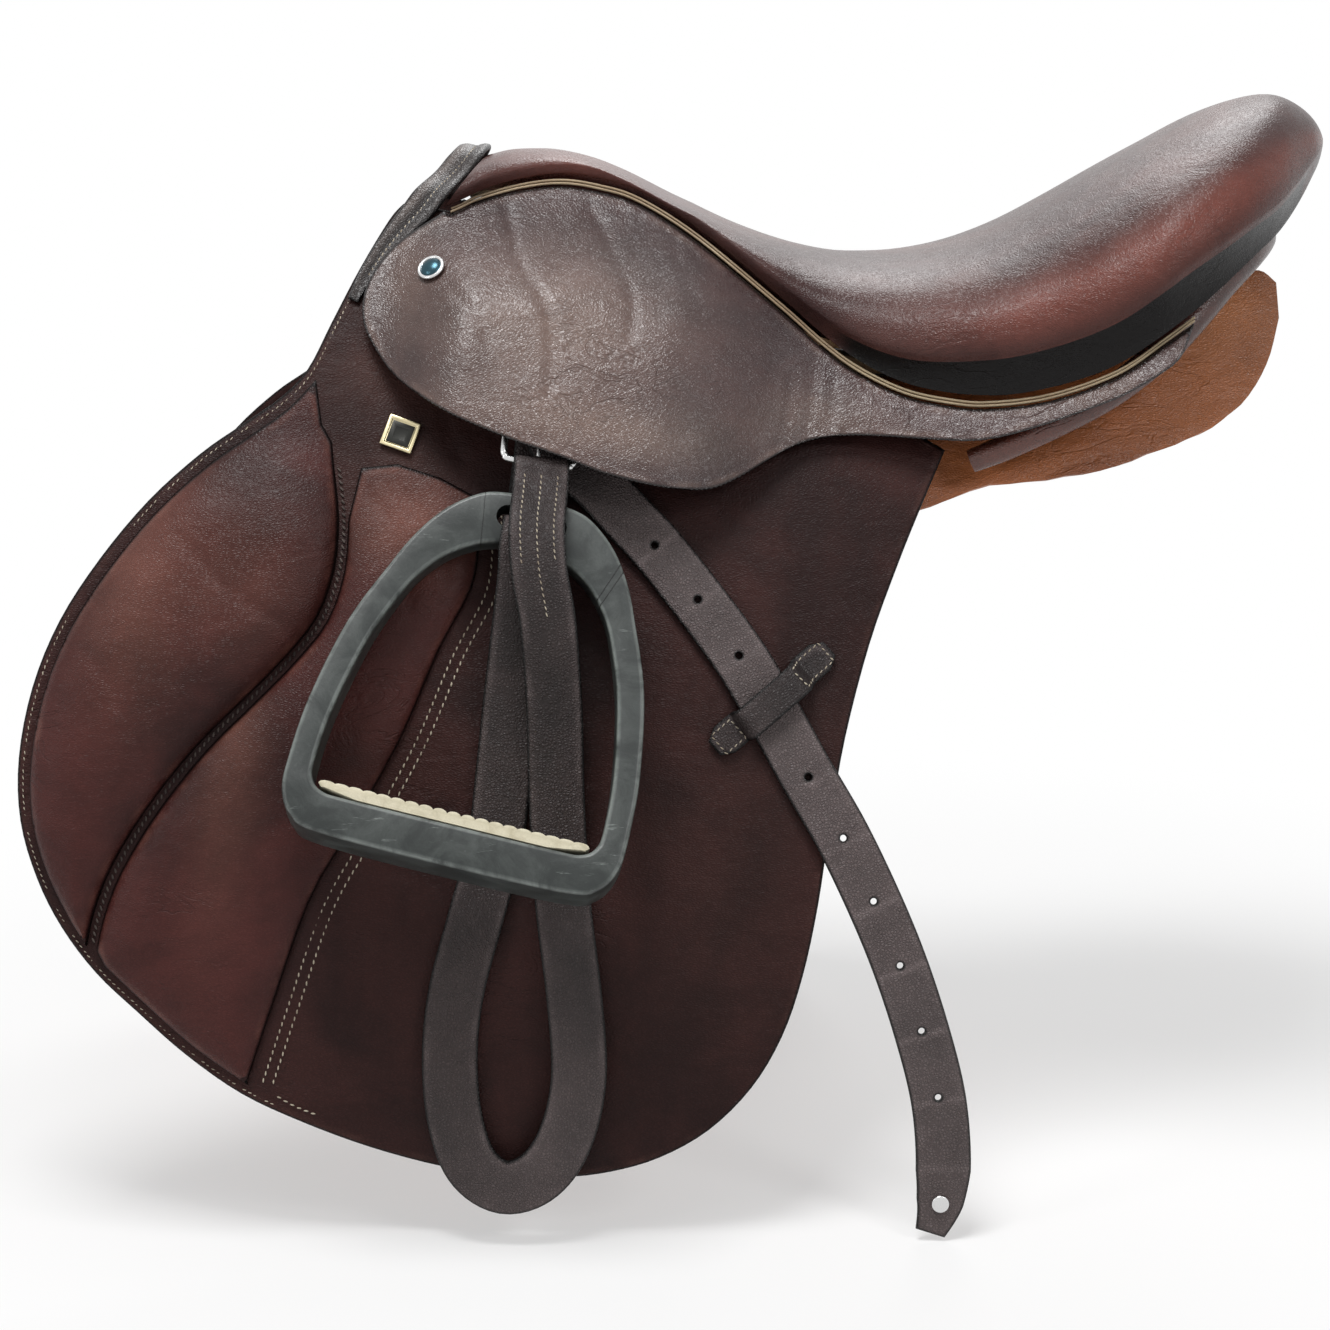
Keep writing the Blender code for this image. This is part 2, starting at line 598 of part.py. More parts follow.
def ribbon(points, across, width, thick, taper=None):
    """Closed strap along points, with its width along the given vectors."""
    verts = []
    faces = []
    count = len(points)
    for k in range(count):
        here = Vector(points[k])
        ahead = Vector(points[min(k + 1, count - 1)])
        behind = Vector(points[max(k - 1, 0)])
        tangent = (ahead - behind).normalized()
        side = Vector(across[k])
        side = (side - tangent * side.dot(tangent)).normalized()
        up = tangent.cross(side).normalized()
        half = 0.5 * width * (taper(k, count) if taper else 1.0)
        for a, b in ((1, 1), (1, -1), (-1, -1), (-1, 1)):
            verts.append(here + side * half * a + up * 0.5 * thick * b)
    for k in range(count - 1):
        for j in range(4):
            a = 4 * k + j
            b = 4 * k + (j + 1) % 4
            faces.append([a, b, b + 4, a + 4])
    faces.append([3, 2, 1, 0])
    last = 4 * (count - 1)
    faces.append([last, last + 1, last + 2, last + 3])
    return verts, faces


def tube(points, radius, sides, radii=None):
    """Closed round bar along points."""
    verts = []
    faces = []
    count = len(points)
    guide = Vector((0.0, 0.0, 1.0))
    for k in range(count):
        here = Vector(points[k])
        ahead = Vector(points[min(k + 1, count - 1)])
        behind = Vector(points[max(k - 1, 0)])
        tangent = (ahead - behind).normalized()
        if abs(tangent.dot(guide)) > 0.9:
            guide = Vector((1.0, 0.0, 0.0))
        side = (guide - tangent * guide.dot(tangent)).normalized()
        guide = side
        up = tangent.cross(side)
        size = radii[k] if radii else radius
        for j in range(sides):
            angle = 2.0 * math.pi * (j + 0.5) / sides
            verts.append(here + (side * math.cos(angle) + up * math.sin(angle)) * size)
    for k in range(count - 1):
        for j in range(sides):
            a = sides * k + j
            b = sides * k + (j + 1) % sides
            faces.append([a, b, b + sides, a + sides])
    faces.append(list(range(sides))[::-1])
    faces.append([sides * (count - 1) + j for j in range(sides)])
    return verts, faces


def loft(rings, closed=False):
    """Closed body through rings of equal point count."""
    verts = [tuple(p) for ring in rings for p in ring]
    size = len(rings[0])
    faces = []
    spans = len(rings) if closed else len(rings) - 1
    for k in range(spans):
        for j in range(size):
            a = size * k + j
            b = size * k + (j + 1) % size
            c = size * ((k + 1) % len(rings)) + (j + 1) % size
            d = size * ((k + 1) % len(rings)) + j
            faces.append([a, b, c, d])
    if not closed:
        faces.append(list(range(size))[::-1])
        faces.append([size * (len(rings) - 1) + j for j in range(size)])
    return verts, faces


def outline_distance(place, outline):
    """Distance from a place to the nearest edge of an outline."""
    best = 1e9
    px, py = place
    for k in range(len(outline)):
        ax, ay = outline[k]
        bx, by = outline[(k + 1) % len(outline)]
        ex, ey = bx - ax, by - ay
        t = max(0.0, min(1.0, ((px - ax) * ex + (py - ay) * ey) / (ex * ex + ey * ey)))
        best = min(best, math.hypot(px - ax - t * ex, py - ay - t * ey))
    return best


def at_skirt_width(s, d, n):
    """Near-side point at a distance n outside the skirt's middle."""
    x, z = to_xz(s, d)
    return Vector((x, -(skirt_half_width(s, d) + n), z))


def welt_points():
    """Welt line as flank places, finely spaced."""
    return [to_sd(x, z) for x, z in WELT_LINE]


def build_flap():
    """Flap: a head fixed to the tree and the part that lifts."""
    outline = FLAP_FRONT + FLAP_TOP
    cut = FLAP_CUT_GAP

    def inner(s, d):
        return 0.0

    def outer(s, d):
        return FLAP_THICK

    verts, faces = sheet(outline, inner, outer, FLAP_GRID, [("above", -cut)])
    make_pair("flap_head", verts, faces, "flap_leather")
    verts, faces = sheet(outline, inner, outer, FLAP_GRID, [("below", cut)])
    make_pair("flap", verts, faces, "flap_leather", bar_point(0, 0, flank(0) + BAR_N))


def inset_outline(points, amount):
    """Move an open front edge inwards, towards the flap's middle."""
    result = []
    for k, (s, d) in enumerate(points):
        before = points[max(k - 1, 0)]
        after = points[min(k + 1, len(points) - 1)]
        ts, td = after[0] - before[0], after[1] - before[1]
        length = math.hypot(ts, td)
        result.append((s + td / length * amount, d - ts / length * amount))
    return result


def build_pad(name, outline, height):
    """Puffed knee pad sewn on the flap."""

    def inner(s, d):
        return FLAP_THICK + PAD_GAP

    def outer(s, d):
        reach = min(outline_distance((s, d), outline) / PAD_ROUNDING, 1.0)
        rise = math.sqrt(max(0.0, 1.0 - (1.0 - reach) ** 2))
        return FLAP_THICK + PAD_GAP + PAD_RIM + (height - PAD_RIM) * rise

    verts, faces = sheet(outline, inner, outer, PAD_GRID)
    make_pair(name, verts, faces, "pad_leather", smooth_angle=60.0)


def build_pads():
    """Front and rear knee pads, with the sewn channel between them."""
    first, last = PAD_EDGE_D
    edge = [p for p in FLAP_FRONT if p[0] < 0 and first <= p[1] <= last]
    split = len([p for p in edge if p[1] < PAD_SPLIT_D])
    edge = inset_outline(edge, PAD_EDGE_INSET)
    front = edge[:split] + [(s - PAD_SEAM_GAP, d) for s, d in reversed(SEAM_FRONT_PAD)]
    build_pad("knee_pad_front", front + FRONT_PAD_TOP, FRONT_PAD_HEIGHT)
    rear = [(s + PAD_SEAM_GAP, d + PAD_SEAM_DROP) for s, d in SEAM_FRONT_PAD[1:]]
    rear += edge[split:]
    rear += list(reversed(SEAM_REAR_PAD))
    build_pad("knee_pad_rear", rear + REAR_PAD_TOP, REAR_PAD_HEIGHT)


def build_skirt():
    """Skirt: the part sewn under the seat, a fold band and the part that lifts."""
    upper = [(s, d + WELT_SKIRT_GAP) for s, d in welt_points()]
    upper = [p for p in upper if p[0] > SKIRT_FRONT_S]
    outline = SKIRT_LOWER + list(reversed(upper))

    def inner(s, d):
        return -0.5 * SKIRT_THICK

    def outer(s, d):
        return 0.5 * SKIRT_THICK

    fold = SKIRT_FOLD_D
    edge = SKIRT_EDGE_FOLD_D
    gap = SKIRT_FOLD_GAP
    front = ("before", SKIRT_REAR_CUT_S - SKIRT_REAR_GAP)
    parts = [
        ("skirt", [("above", fold - gap), front], (0.0, 0.0, 0.0)),
        ("skirt_fold", [("below", fold + gap), ("above", edge - gap), front],
         bar_point(SKIRT_HINGE_S, fold, SKIRT_FOLD_Y)),
        ("skirt_edge", [("below", edge + gap), front], bar_point(SKIRT_HINGE_S, edge, SKIRT_EDGE_FOLD_Y)),
        ("skirt_rear", [("behind", SKIRT_REAR_CUT_S + SKIRT_REAR_GAP)], (0.0, 0.0, 0.0)),
    ]
    for name, keep, origin in parts:
        verts, faces = sheet(outline, inner, outer, SKIRT_GRID, keep, at_skirt_width)
        make_pair(name, verts, faces, "seat_leather", origin)


def seat_edge(x):
    """Half width and height of the seat's sewn edge at x."""
    first = SEAT_REAR_EDGE[0][0]
    if x >= first:
        return curve_value(SEAT_REAR_EDGE, x, 1), curve_value(SEAT_REAR_EDGE, x, 2)
    z = curve_value(WELT_LINE, x)
    s, d = to_sd(x, z)
    blend = smooth_step(first - SEAT_EDGE_BLEND, first, x)
    width = skirt_half_width(s, d)
    return width + (curve_value(SEAT_REAR_EDGE, first, 1) - width) * blend, z


def seat_ring(x):
    """One cross section of the seat, from the near edge over the top and back under."""
    top = curve_value(SEAT_TOP, x)
    lean = curve_value(SEAT_LEAN, x)
    edge_x = x
    base_x = x
    for _ in range(LEAN_PASSES):
        half, edge_z = seat_edge(edge_x)
        edge_x = x - lean * (top - edge_z)
        base = curve_value(SEAT_BASE, base_x)
        base_x = x - lean * (top - base)
    edge_z += WELT_SEAT_GAP
    roll_z = min(edge_z + curve_value(SEAT_ROLL_RISE, x), top - SEAT_LEAST_RISE)
    roll_y = half + curve_value(SEAT_ROLL_OUT, x)
    points = []
    for k in range(SEAT_DOME_POINTS + 1):
        angle = 0.5 * math.pi * k / SEAT_DOME_POINTS
        y = roll_y * math.sin(angle) ** SEAT_DOME_ACROSS
        z = roll_z + (top - roll_z) * max(math.cos(angle), 0.0) ** SEAT_DOME_RISE
        points.append((y, z))
    for k in range(1, SEAT_SIDE_POINTS + 1):
        angle = 0.5 * math.pi * k / SEAT_SIDE_POINTS
        points.append((half + (roll_y - half) * math.cos(angle),
                       roll_z - (roll_z - edge_z) * math.sin(angle)))
    dome = points
    under = []
    for share in SEAT_UNDER_SHARES:
        y = half * share
        z = base + (edge_z - base) * smooth_step(SEAT_UNDER_FLAT, 1.0, share)
        under.append((y, min(z, top - SEAT_LEAST_THICK)))
    right = dome + under
    ring = [(y, z) for y, z in right]
    ring += [(-y, z) for y, z in reversed(right[1:-1])]
    return [(x - lean * (top - z), -y, z) for y, z in ring]


def build_seat():
    """Padded seat with its rolled edge, lofted from pommel to cantle."""
    verts, faces = loft([seat_ring(x) for x in SEAT_STATIONS])
    make("seat", verts, faces, "seat_leather", smooth_angle=60.0)


def build_welts():
    """Thin piping along the seam between seat and skirt."""
    points = []
    for x, z in WELT_LINE:
        s, d = to_sd(x, z)
        if s > WELT_FRONT_S:
            points.append(at_skirt_width(s, d, 0.0))
    verts, faces = tube(points, WELT_RADIUS, 5)
    make_pair("seat_welt", verts, faces, "welt_leather")


def rail_frames():
    """Centre, outward and upward directions round the tree's ring."""
    near = spline(TREE_RAIL, 2)
    loop = [(x, -y, z) for x, y, z in near]
    loop += [(x, y, z) for x, y, z in reversed(near[1:-1])]
    frames = []
    count = len(loop)
    for k in range(count):
        tangent = (Vector(loop[(k + 1) % count]) - Vector(loop[k - 1])).normalized()
        out = tangent.cross(Vector((0, 0, 1))).normalized()
        up = out.cross(tangent).normalized()
        frames.append((Vector(loop[k]), out, up))
    return frames


def build_tree():
    """Tree with its steel head plate and the webs stretched on it."""
    frames = rail_frames()
    half = 0.5 * TREE_RAIL_WIDTH
    thick = 0.5 * TREE_RAIL_THICK
    rings = [[here + out * half * a + up * thick * b for a, b in ((1, 1), (-1, 1), (-1, -1), (1, -1))]
             for here, out, up in frames]
    verts, faces = loft(rings, closed=True)
    make("tree", verts, faces, "tree_wood")
    arch = HEAD_PLATE_ARCH + [(-y, z) for y, z in reversed(HEAD_PLATE_ARCH[:-1])]
    verts, faces = ribbon([(HEAD_PLATE_X, y, z) for y, z in arch], [(1, 0, 0)] * len(arch),
                          HEAD_PLATE_WIDTH, HEAD_PLATE_THICK)
    make("head_plate", verts, faces, "steel")
    rail = [(x, z) for x, y, z in TREE_RAIL]
    for name, x, drop in (("girth_web_front", GIRTH_WEB_FRONT_X, GIRTH_WEB_FRONT_DROP),
                          ("girth_web_rear", GIRTH_WEB_REAR_X, GIRTH_WEB_REAR_DROP)):
        near = [(x, y, curve_value(rail, x) + z - drop) for y, z in GIRTH_WEB_PATH]
        path = near + [(px, -py, pz) for px, py, pz in reversed(near[:-1])]
        verts, faces = ribbon(path, [(1, 0, GIRTH_WEB_SLOPE)] * len(path), GIRTH_WEB_WIDTH, WEB_THICK)
        make(name, verts, faces, "web")
    path = [(x, 0.0, z) for x, z in SEAT_WEB_PATH]
    verts, faces = ribbon(path, [(0, 1, 0)] * len(path), SEAT_WEB_WIDTH, WEB_THICK)
    make("seat_web", verts, faces, "web")


def build_facing():
    """Leather facing over the front arch and down the front of both flaps."""
    lean = curve_value(SEAT_LEAN, SEAT_TOP[0][0])
    points = []
    across = []
    shares = []
    side_n = FLAP_THICK + 3.0 * GAP + 0.5 * FACING_THICK
    for s, d, share in reversed(FACING_SIDE):
        points.append(flank_point(s, d, side_n))
        across.append(in_flank(d, 0.0))
        shares.append(share)
    for y, z in reversed(FACING_ARCH):
        front_x = SEAT_TOP[0][0] - lean * (SEAT_TOP[0][1] - z)
        points.append(Vector((front_x - FACING_STAND_OFF, -y, z)))
        across.append(Vector((1.0, 0.0, 0.0)))
        shares.append(1.0)
    points += [Vector((p.x, -p.y, p.z)) for p in reversed(points[:-1])]
    across += [Vector((v.x, -v.y, v.z)) for v in reversed(across[:-1])]
    shares += shares[-2::-1]

    def taper(k, count):
        return shares[k]

    verts, faces = ribbon(points, across, FACING_WIDTH, FACING_THICK, taper)
    make("pommel_facing", verts, faces, "seat_leather")


def build_bars():
    """Stirrup bars on the tree, and the catch at the back end of each."""
    route = [(s, 0, BAR_N, BAR_RADIUS) for s in (BAR_REAR_S, 0.5 * (BAR_REAR_S + BAR_FRONT_S), BAR_FRONT_S)]
    route += [(BAR_FRONT_S + s, d, n, r) for s, d, n, r in BAR_ARM]
    points = [bar_point(s, d, flank(0) + n) if d == 0 else flank_point(s, d, n) for s, d, n, r in route]
    verts, faces = tube(points, BAR_RADIUS, 8, [r for s, d, n, r in route])
    make_pair("stirrup_bar", verts, faces, "steel")
    start = BAR_REAR_S + CATCH_GAP
    out = flank(0) + BAR_N
    tip = start + CATCH_LENGTH
    pivot = start + CATCH_PIVOT
    catch = [bar_point(start, 0, out), bar_point(pivot, 0, out), bar_point(tip - CATCH_TIP_LENGTH, 0, out),
             bar_point(tip, -CATCH_TIP_RISE, out)]
    verts, faces = tube(catch, BAR_RADIUS, 8, CATCH_RADII)
    make_pair("bar_catch", verts, faces, "steel", tuple(bar_point(pivot, 0, out)))


def build_studs():
    """Nail head on each skirt and the plain square stud on each flap."""
    s, d = NAIL_PLACE
    normal = outward(skirt_half_width, s, d)
    base = at_skirt_width(s, d, 0.0) + normal * (0.5 * SKIRT_THICK + NAIL_SEAT_GAP)
    verts, faces = tube([base + normal * NAIL_HEIGHT * a for a, r in NAIL_DOME], NAIL_RADIUS, 16,
                        [NAIL_RADIUS * r for a, r in NAIL_DOME])
    make_pair("skirt_nail", verts, faces, "polished_steel", smooth_angle=60.0)
    s, d = STUD_PLACE

    def flap_half_width(place_s, place_d):
        return flank(place_d) + FLAP_THICK

    normal = outward(flap_half_width, s, d)
    base = flank_point(s, d, FLAP_THICK) + normal * STUD_SEAT_GAP
    u = in_flank(d, math.degrees(STUD_TURN))
    u = (u - normal * u.dot(normal)).normalized()
    v = normal.cross(u)
    rings = []
    for rise, size in STUD_PROFILE:
        reach = STUD_HALF * size
        rings.append([base + normal * STUD_THICK * rise + u * reach * a + v * reach * b
                      for a, b in ((1, 1), (-1, 1), (-1, -1), (1, -1))])
    verts, faces = loft(rings)
    make_pair("flap_stud", verts, faces, "polished_steel", bar_point(0, 0, flank(0) + BAR_N), 20.0)


def build_iron():
    """Stirrup iron with its eye, and the rubber tread."""
    eye_out = flank(IRON_EYE_D) + IRON_EYE_N
    eye = bar_point(IRON_EYE_S, IRON_EYE_D, eye_out)
    along = along_bar()
    down = below_bar()
    down = (down * math.cos(IRON_TILT) + Vector((0, -1, 0)) * math.sin(IRON_TILT)).normalized()
    u_axis = along * math.cos(IRON_SWING) + down * math.sin(IRON_SWING)
    v_axis = down * math.cos(IRON_SWING) - along * math.sin(IRON_SWING)
    front = u_axis.cross(v_axis).normalized()
    if front.y > 0:
        front = -front

    def place(u, v, w):
        return eye + u_axis * u + v_axis * v + front * w

    top = FOOT_BAR_TOP_V
    corner = TREAD_HALF_LENGTH + TREAD_SIDE_GAP
    half = IRON_HALF + [(a, top + b, c, top + d, e) for a, b, c, d, e in IRON_SIDE]
    half += [(corner + a, top + b, corner + c, top + d, e) for a, b, c, d, e in IRON_FOOT]
    half.append((0.0, top + IRON_FOOT_MIDDLE[0], 0.0, top + IRON_FOOT_MIDDLE[1], IRON_FOOT_MIDDLE[2]))
    loop = half + [(-a, b, -c, d, e) for a, b, c, d, e in reversed(half[1:-1])]
    loop = spline(loop, 2, closed=True)
    rings = []
    c = IRON_CHAMFER
    for ou, ov, iu, iv, depth in loop:
        span = Vector((iu - ou, iv - ov))
        length = span.length
        step = span / length
        h = 0.5 * depth
        section = ((0.0, h - c), (c, h), (length - c, h), (length, h - c),
                   (length, c - h), (length - c, -h), (c, -h), (0.0, c - h))
        rings.append([place(ou + step.x * a, ov + step.y * a, w) for a, w in section])
    verts, faces = loft(rings, closed=True)
    near, off = make_pair("stirrup_iron", verts, faces, "composite", tuple(eye))
    slot = []
    radius = 0.5 * IRON_EYE_HEIGHT
    reach = 0.5 * IRON_EYE_WIDTH - radius
    for side in (1, -1):
        for k in range(7):
            angle = math.pi * (k / 6 - 0.5)
            slot.append((side * (reach + radius * math.cos(angle)), side * radius * math.sin(angle)))
    verts, faces = loft([[place(u, v, w) for u, v in slot] for w in (-20.0, 20.0)])
    cutters = make_pair("eye_cutter", verts, faces, "composite")
    for piece, cutter in zip((near, off), cutters):
        cutter.hide_render = True
        cutter.display_type = "WIRE"
        cut = piece.modifiers.new("eye", "BOOLEAN")
        cut.operation = "DIFFERENCE"
        cut.solver = "EXACT"
        cut.object = cutter
    profile = []
    pitch = 2.0 * TREAD_HALF_LENGTH / TREAD_RIDGES
    tread_top = top - TREAD_THICK
    for k in range(TREAD_RIDGES):
        start = -TREAD_HALF_LENGTH + k * pitch
        for share, drop in TREAD_RIDGE:
            profile.append((start + share * pitch, tread_top + TREAD_RIDGE_HEIGHT * drop))
    side = [(TREAD_HALF_LENGTH - TREAD_SIDE_INSET, tread_top + TREAD_SIDE)]
    side += [(TREAD_HALF_LENGTH - inset, top - GAP - rise) for inset, rise in TREAD_FOOT]
    profile.append((TREAD_HALF_LENGTH, tread_top + TREAD_RIDGE_HEIGHT))
    profile += side + [(-u, v) for u, v in reversed(side)]
    depth = 0.5 * TREAD_DEPTH
    verts, faces = loft([[place(u, v, w) for u, v in profile] for w in (-depth, depth)])
    make_pair("stirrup_tread", verts, faces, "tread_rubber", tuple(eye), 20.0)


def leather_keys(tail):
    """Route of a stirrup leather: place, distance out and the turn of its width."""

    def key(s, d, n, turn):
        return (s, d, flank(d) + n, turn)

    slope = flank_slope(0.0)
    run = math.hypot(1.0, slope)
    down = (1.0 / run, slope / run)
    outward = (-slope / run, 1.0 / run)
    radius = BAR_RADIUS + LEATHER_CLEARANCE + 0.5 * LEATHER_THICK
    heel_s, heel_d, heel_n, heel_turn = LEATHER_HEEL
    keys = [key(heel_s, BUCKLE_HEEL_D + heel_d, heel_n, heel_turn)]
    keys += [key(*row) for row in LEATHER_DROP]
    keys += [key(IRON_EYE_S, IRON_EYE_D + d, IRON_EYE_N + n, 180) for d, n in LEATHER_EYE]
    keys += [key(*row) for row in LEATHER_RISE]
    for k in range(LEATHER_BAR_STEPS + 1):
        angle = math.pi * k / LEATHER_BAR_STEPS
        back = -radius * math.cos(angle)
        up = -radius * math.sin(angle)
        d = outward[0] * back + down[0] * up
        out = flank(0) + BAR_N + outward[1] * back + down[1] * up
        keys.append((LEATHER_BAR_S, d, out, 180))
    keys += [key(*row) for row in tail]
    return keys


def leather_route(tail):
    """Points and width directions of a stirrup leather, as on the near side."""
    points = []
    across = []
    for s, d, out, turn in leather_keys(tail):
        points.append(bar_point(s, d, out))
        across.append(in_flank(d, turn))
    return points, across


def build_strap(ending, side, tail, hinge):
    """One side's stirrup leather and its tip rivet; side is 1 near and -1 off."""
    points, across = leather_route(tail)

    def taper(k, count):
        left = count - 1 - k
        return LEATHER_TIP_SHARES[left] if left < len(LEATHER_TIP_SHARES) else 1.0

    origin = (hinge.x, side * hinge.y, hinge.z)
    verts, faces = ribbon(points, across, LEATHER_WIDTH, LEATHER_THICK, taper)
    verts = [(v[0], side * v[1], v[2]) for v in verts]
    make("stirrup_leather" + ending, verts, faces, "strap_leather", origin, 30.0)
    tip = Vector(points[-2])
    ahead = (Vector(points[-1]) - tip).normalized()
    toward = ahead.cross(Vector(across[-2])).normalized()
    if toward.y > 0:
        toward = -toward
    start = tip + toward * (0.5 * LEATHER_THICK + 2.0 * GAP)
    rivet = [start + toward * TIP_RIVET_HEIGHT * share for share in (0.0, 0.5, 1.0)]
    verts, faces = tube([tuple(p) for p in rivet], TIP_RIVET_RADIUS, 10,
                        [TIP_RIVET_RADIUS, TIP_RIVET_RADIUS * 0.85, TIP_RIVET_RADIUS * 0.4])
    verts = [(v[0], side * v[1], v[2]) for v in verts]
    make("tip_rivet" + ending, verts, faces, "polished_steel", origin)


def build_leather():
    """Stirrup leathers, and the buckle and tongue of each."""
    hinge = bar_point(0, 0, flank(0) + BAR_N)
    build_strap("_near", 1.0, LEATHER_TAIL, hinge)
    build_strap("_off", -1.0, LEATHER_TAIL[:LEATHER_TAIL_SHARED] + LEATHER_TAIL_OFF, hinge)
    top = BUCKLE_TOP_D
    heel = BUCKLE_HEEL_D
    half = 0.5 * (BUCKLE_INNER_WIDTH + BUCKLE_WIRE)
    cut = BUCKLE_CORNER
    corners = [(-half, top + cut), (-half + cut, top), (half - cut, top), (half, top + cut),
               (half, heel - cut), (half - cut, heel), (-half + cut, heel), (-half, heel - cut)]
    rings = []
    count = len(corners)
    middle_d = 0.5 * (top + heel)
    for k, (s, d) in enumerate(corners):
        before = corners[k - 1]
        after = corners[(k + 1) % count]
        out = Vector((after[1] - before[1], before[0] - after[0])).normalized()
        if out.dot(Vector((s, d - middle_d))) < 0:
            out = -out
        ring = []
        for j in range(6):
            angle = 2 * math.pi * (j + 0.5) / 6
            reach = 0.5 * BUCKLE_WIRE * math.cos(angle)
            rise = 0.5 * BUCKLE_WIRE * math.sin(angle)
            ring.append(flank_point(BUCKLE_S + s + out.x * reach, d + out.y * reach, BUCKLE_N + rise))
        rings.append(ring)
    verts, faces = loft(rings, closed=True)
    make_pair("leather_buckle", verts, faces, "polished_steel", tuple(hinge))
    lift = 0.5 * BUCKLE_WIRE + TONGUE_RADIUS + GAP
    tongue = [(heel - TONGUE_START, 0.0), (middle_d, TONGUE_BELLY), (top + TONGUE_REST, lift),
              (top - TONGUE_PAST, lift)]
    tongue = [flank_point(BUCKLE_S, d, BUCKLE_N + rise) for d, rise in tongue]
    verts, faces = tube(tongue, TONGUE_RADIUS, 6)
    make_pair("buckle_tongue", verts, faces, "polished_steel", tuple(hinge))


def build_keeper():
    """Keeper on the flap that holds the stirrup leather's tail."""
    a = Vector(KEEPER_FROM)
    b = Vector(KEEPER_TO)
    direction = (b - a).normalized()
    turn = math.degrees(math.atan2(direction.x, -direction.y))
    length = (b - a).length
    base = FLAP_THICK + 3.0 * GAP + 0.5 * KEEPER_THICK
    half_gap = 0.5 * LEATHER_WIDTH + KEEPER_SIDE_GAP
    middle = 0.5 * length
    near = [(0.0, 0.0), (KEEPER_END, 0.0), (middle - half_gap - KEEPER_STEP, 0.0),
            (middle - half_gap, KEEPER_ROUND_SHARE), (middle - half_gap + KEEPER_ROUND, 1.0)]
    stations = near + [(length - place, rise) for place, rise in reversed(near)]
    points = []
    across = []
    for along_length, rise in stations:
        place = a + direction * along_length
        points.append(flank_point(place.x, place.y, base + KEEPER_RISE * rise))
        across.append(in_flank(place.y, turn))

    def taper(k, count):
        return KEEPER_END_SHARE if k in (0, count - 1) else 1.0

    verts, faces = ribbon(points, across, KEEPER_WIDTH, KEEPER_THICK, taper)
    make_pair("flap_keeper", verts, faces, "flap_leather", bar_point(0, 0, flank(0) + BAR_N))


def pressed(value, limit):
    """Hold a value at a limit, giving way a little past it."""
    return value if value < limit else limit + PANEL_YIELD * (value - limit)


def build_panels():
    """Stuffed panels with their crease, and the leather facing roll behind."""
    rings = []
    first = PANEL_STATIONS[0][0]
    last = PANEL_STATIONS[-1][0]
    sides = PANEL_SIDES
    for k in range(PANEL_RINGS):
        share = k / (PANEL_RINGS - 1)
        x = first + (last - first) * (0.5 - 0.5 * math.cos(math.pi * share)) ** PANEL_SPACING
        yc, zc, a, b, tilt = (curve_value(PANEL_STATIONS, x, c) for c in (1, 2, 3, 4, 5))
        tilt = math.radians(tilt)
        ceiling = curve_value(PANEL_CEILING, x)
        ring = []
        for j in range(sides):
            angle = 2 * math.pi * j / sides
            cu, cv = math.cos(angle), math.sin(angle)
            scale = (abs(cu) ** PANEL_FULLNESS + abs(cv) ** PANEL_FULLNESS) ** (-1.0 / PANEL_FULLNESS)
            pu, pv = a * cu * scale, b * cv * scale
            y = yc + pu * math.cos(tilt) + pv * math.sin(tilt)
            z = zc - pu * math.sin(tilt) + pv * math.cos(tilt)
            z = pressed(z, ceiling)
            s, d = to_sd(x, z)
            y = pressed(y, flank(d) + SWEAT_FLAP_INNER - PANEL_SIDE_GAP)
            ring.append((x, -y, z))
        rings.append(ring)
    verts, faces = loft(rings)
    make_pair("panel", verts, faces, "panel_leather", smooth_angle=60.0)
    route = spline([(x, -y, z) for x, y, z in FACING_ROLL], 2)
    least = FACING_ROLL_LEAST
    start, end = FACING_ROLL_SWELL
    radii = []
    for k in range(len(route)):
        share = start + (end - start) * k / (len(route) - 1)
        radii.append(FACING_ROLL_RADIUS * (least + (1.0 - least) * math.sin(math.pi * share)))
    verts, faces = tube(route, FACING_ROLL_RADIUS, 8, radii)
    make_pair("facing_roll", verts, faces, "seat_leather", smooth_angle=60.0)


def build_sweat_flap():
    """Sweat flap between panel and girth straps."""
    lower = [p for p in FLAP_FRONT if p[1] > SWEAT_FLAP_FIRST_D][::2]
    inset = inset_outline(lower, SWEAT_FLAP_INSET)
    inset = [(s - (SWEAT_FLAP_FRONT_EASE if d < SWEAT_FLAP_FRONT_D else 0.0), d) for s, d in inset]
    outline = inset + SWEAT_FLAP_TOP

    def inner(s, d):
        return SWEAT_FLAP_INNER

    def outer(s, d):
        return SWEAT_FLAP_INNER + SWEAT_FLAP_THICK

    verts, faces = sheet(outline, inner, outer, SWEAT_FLAP_GRID)
    make_pair("sweat_flap", verts, faces, "panel_leather")


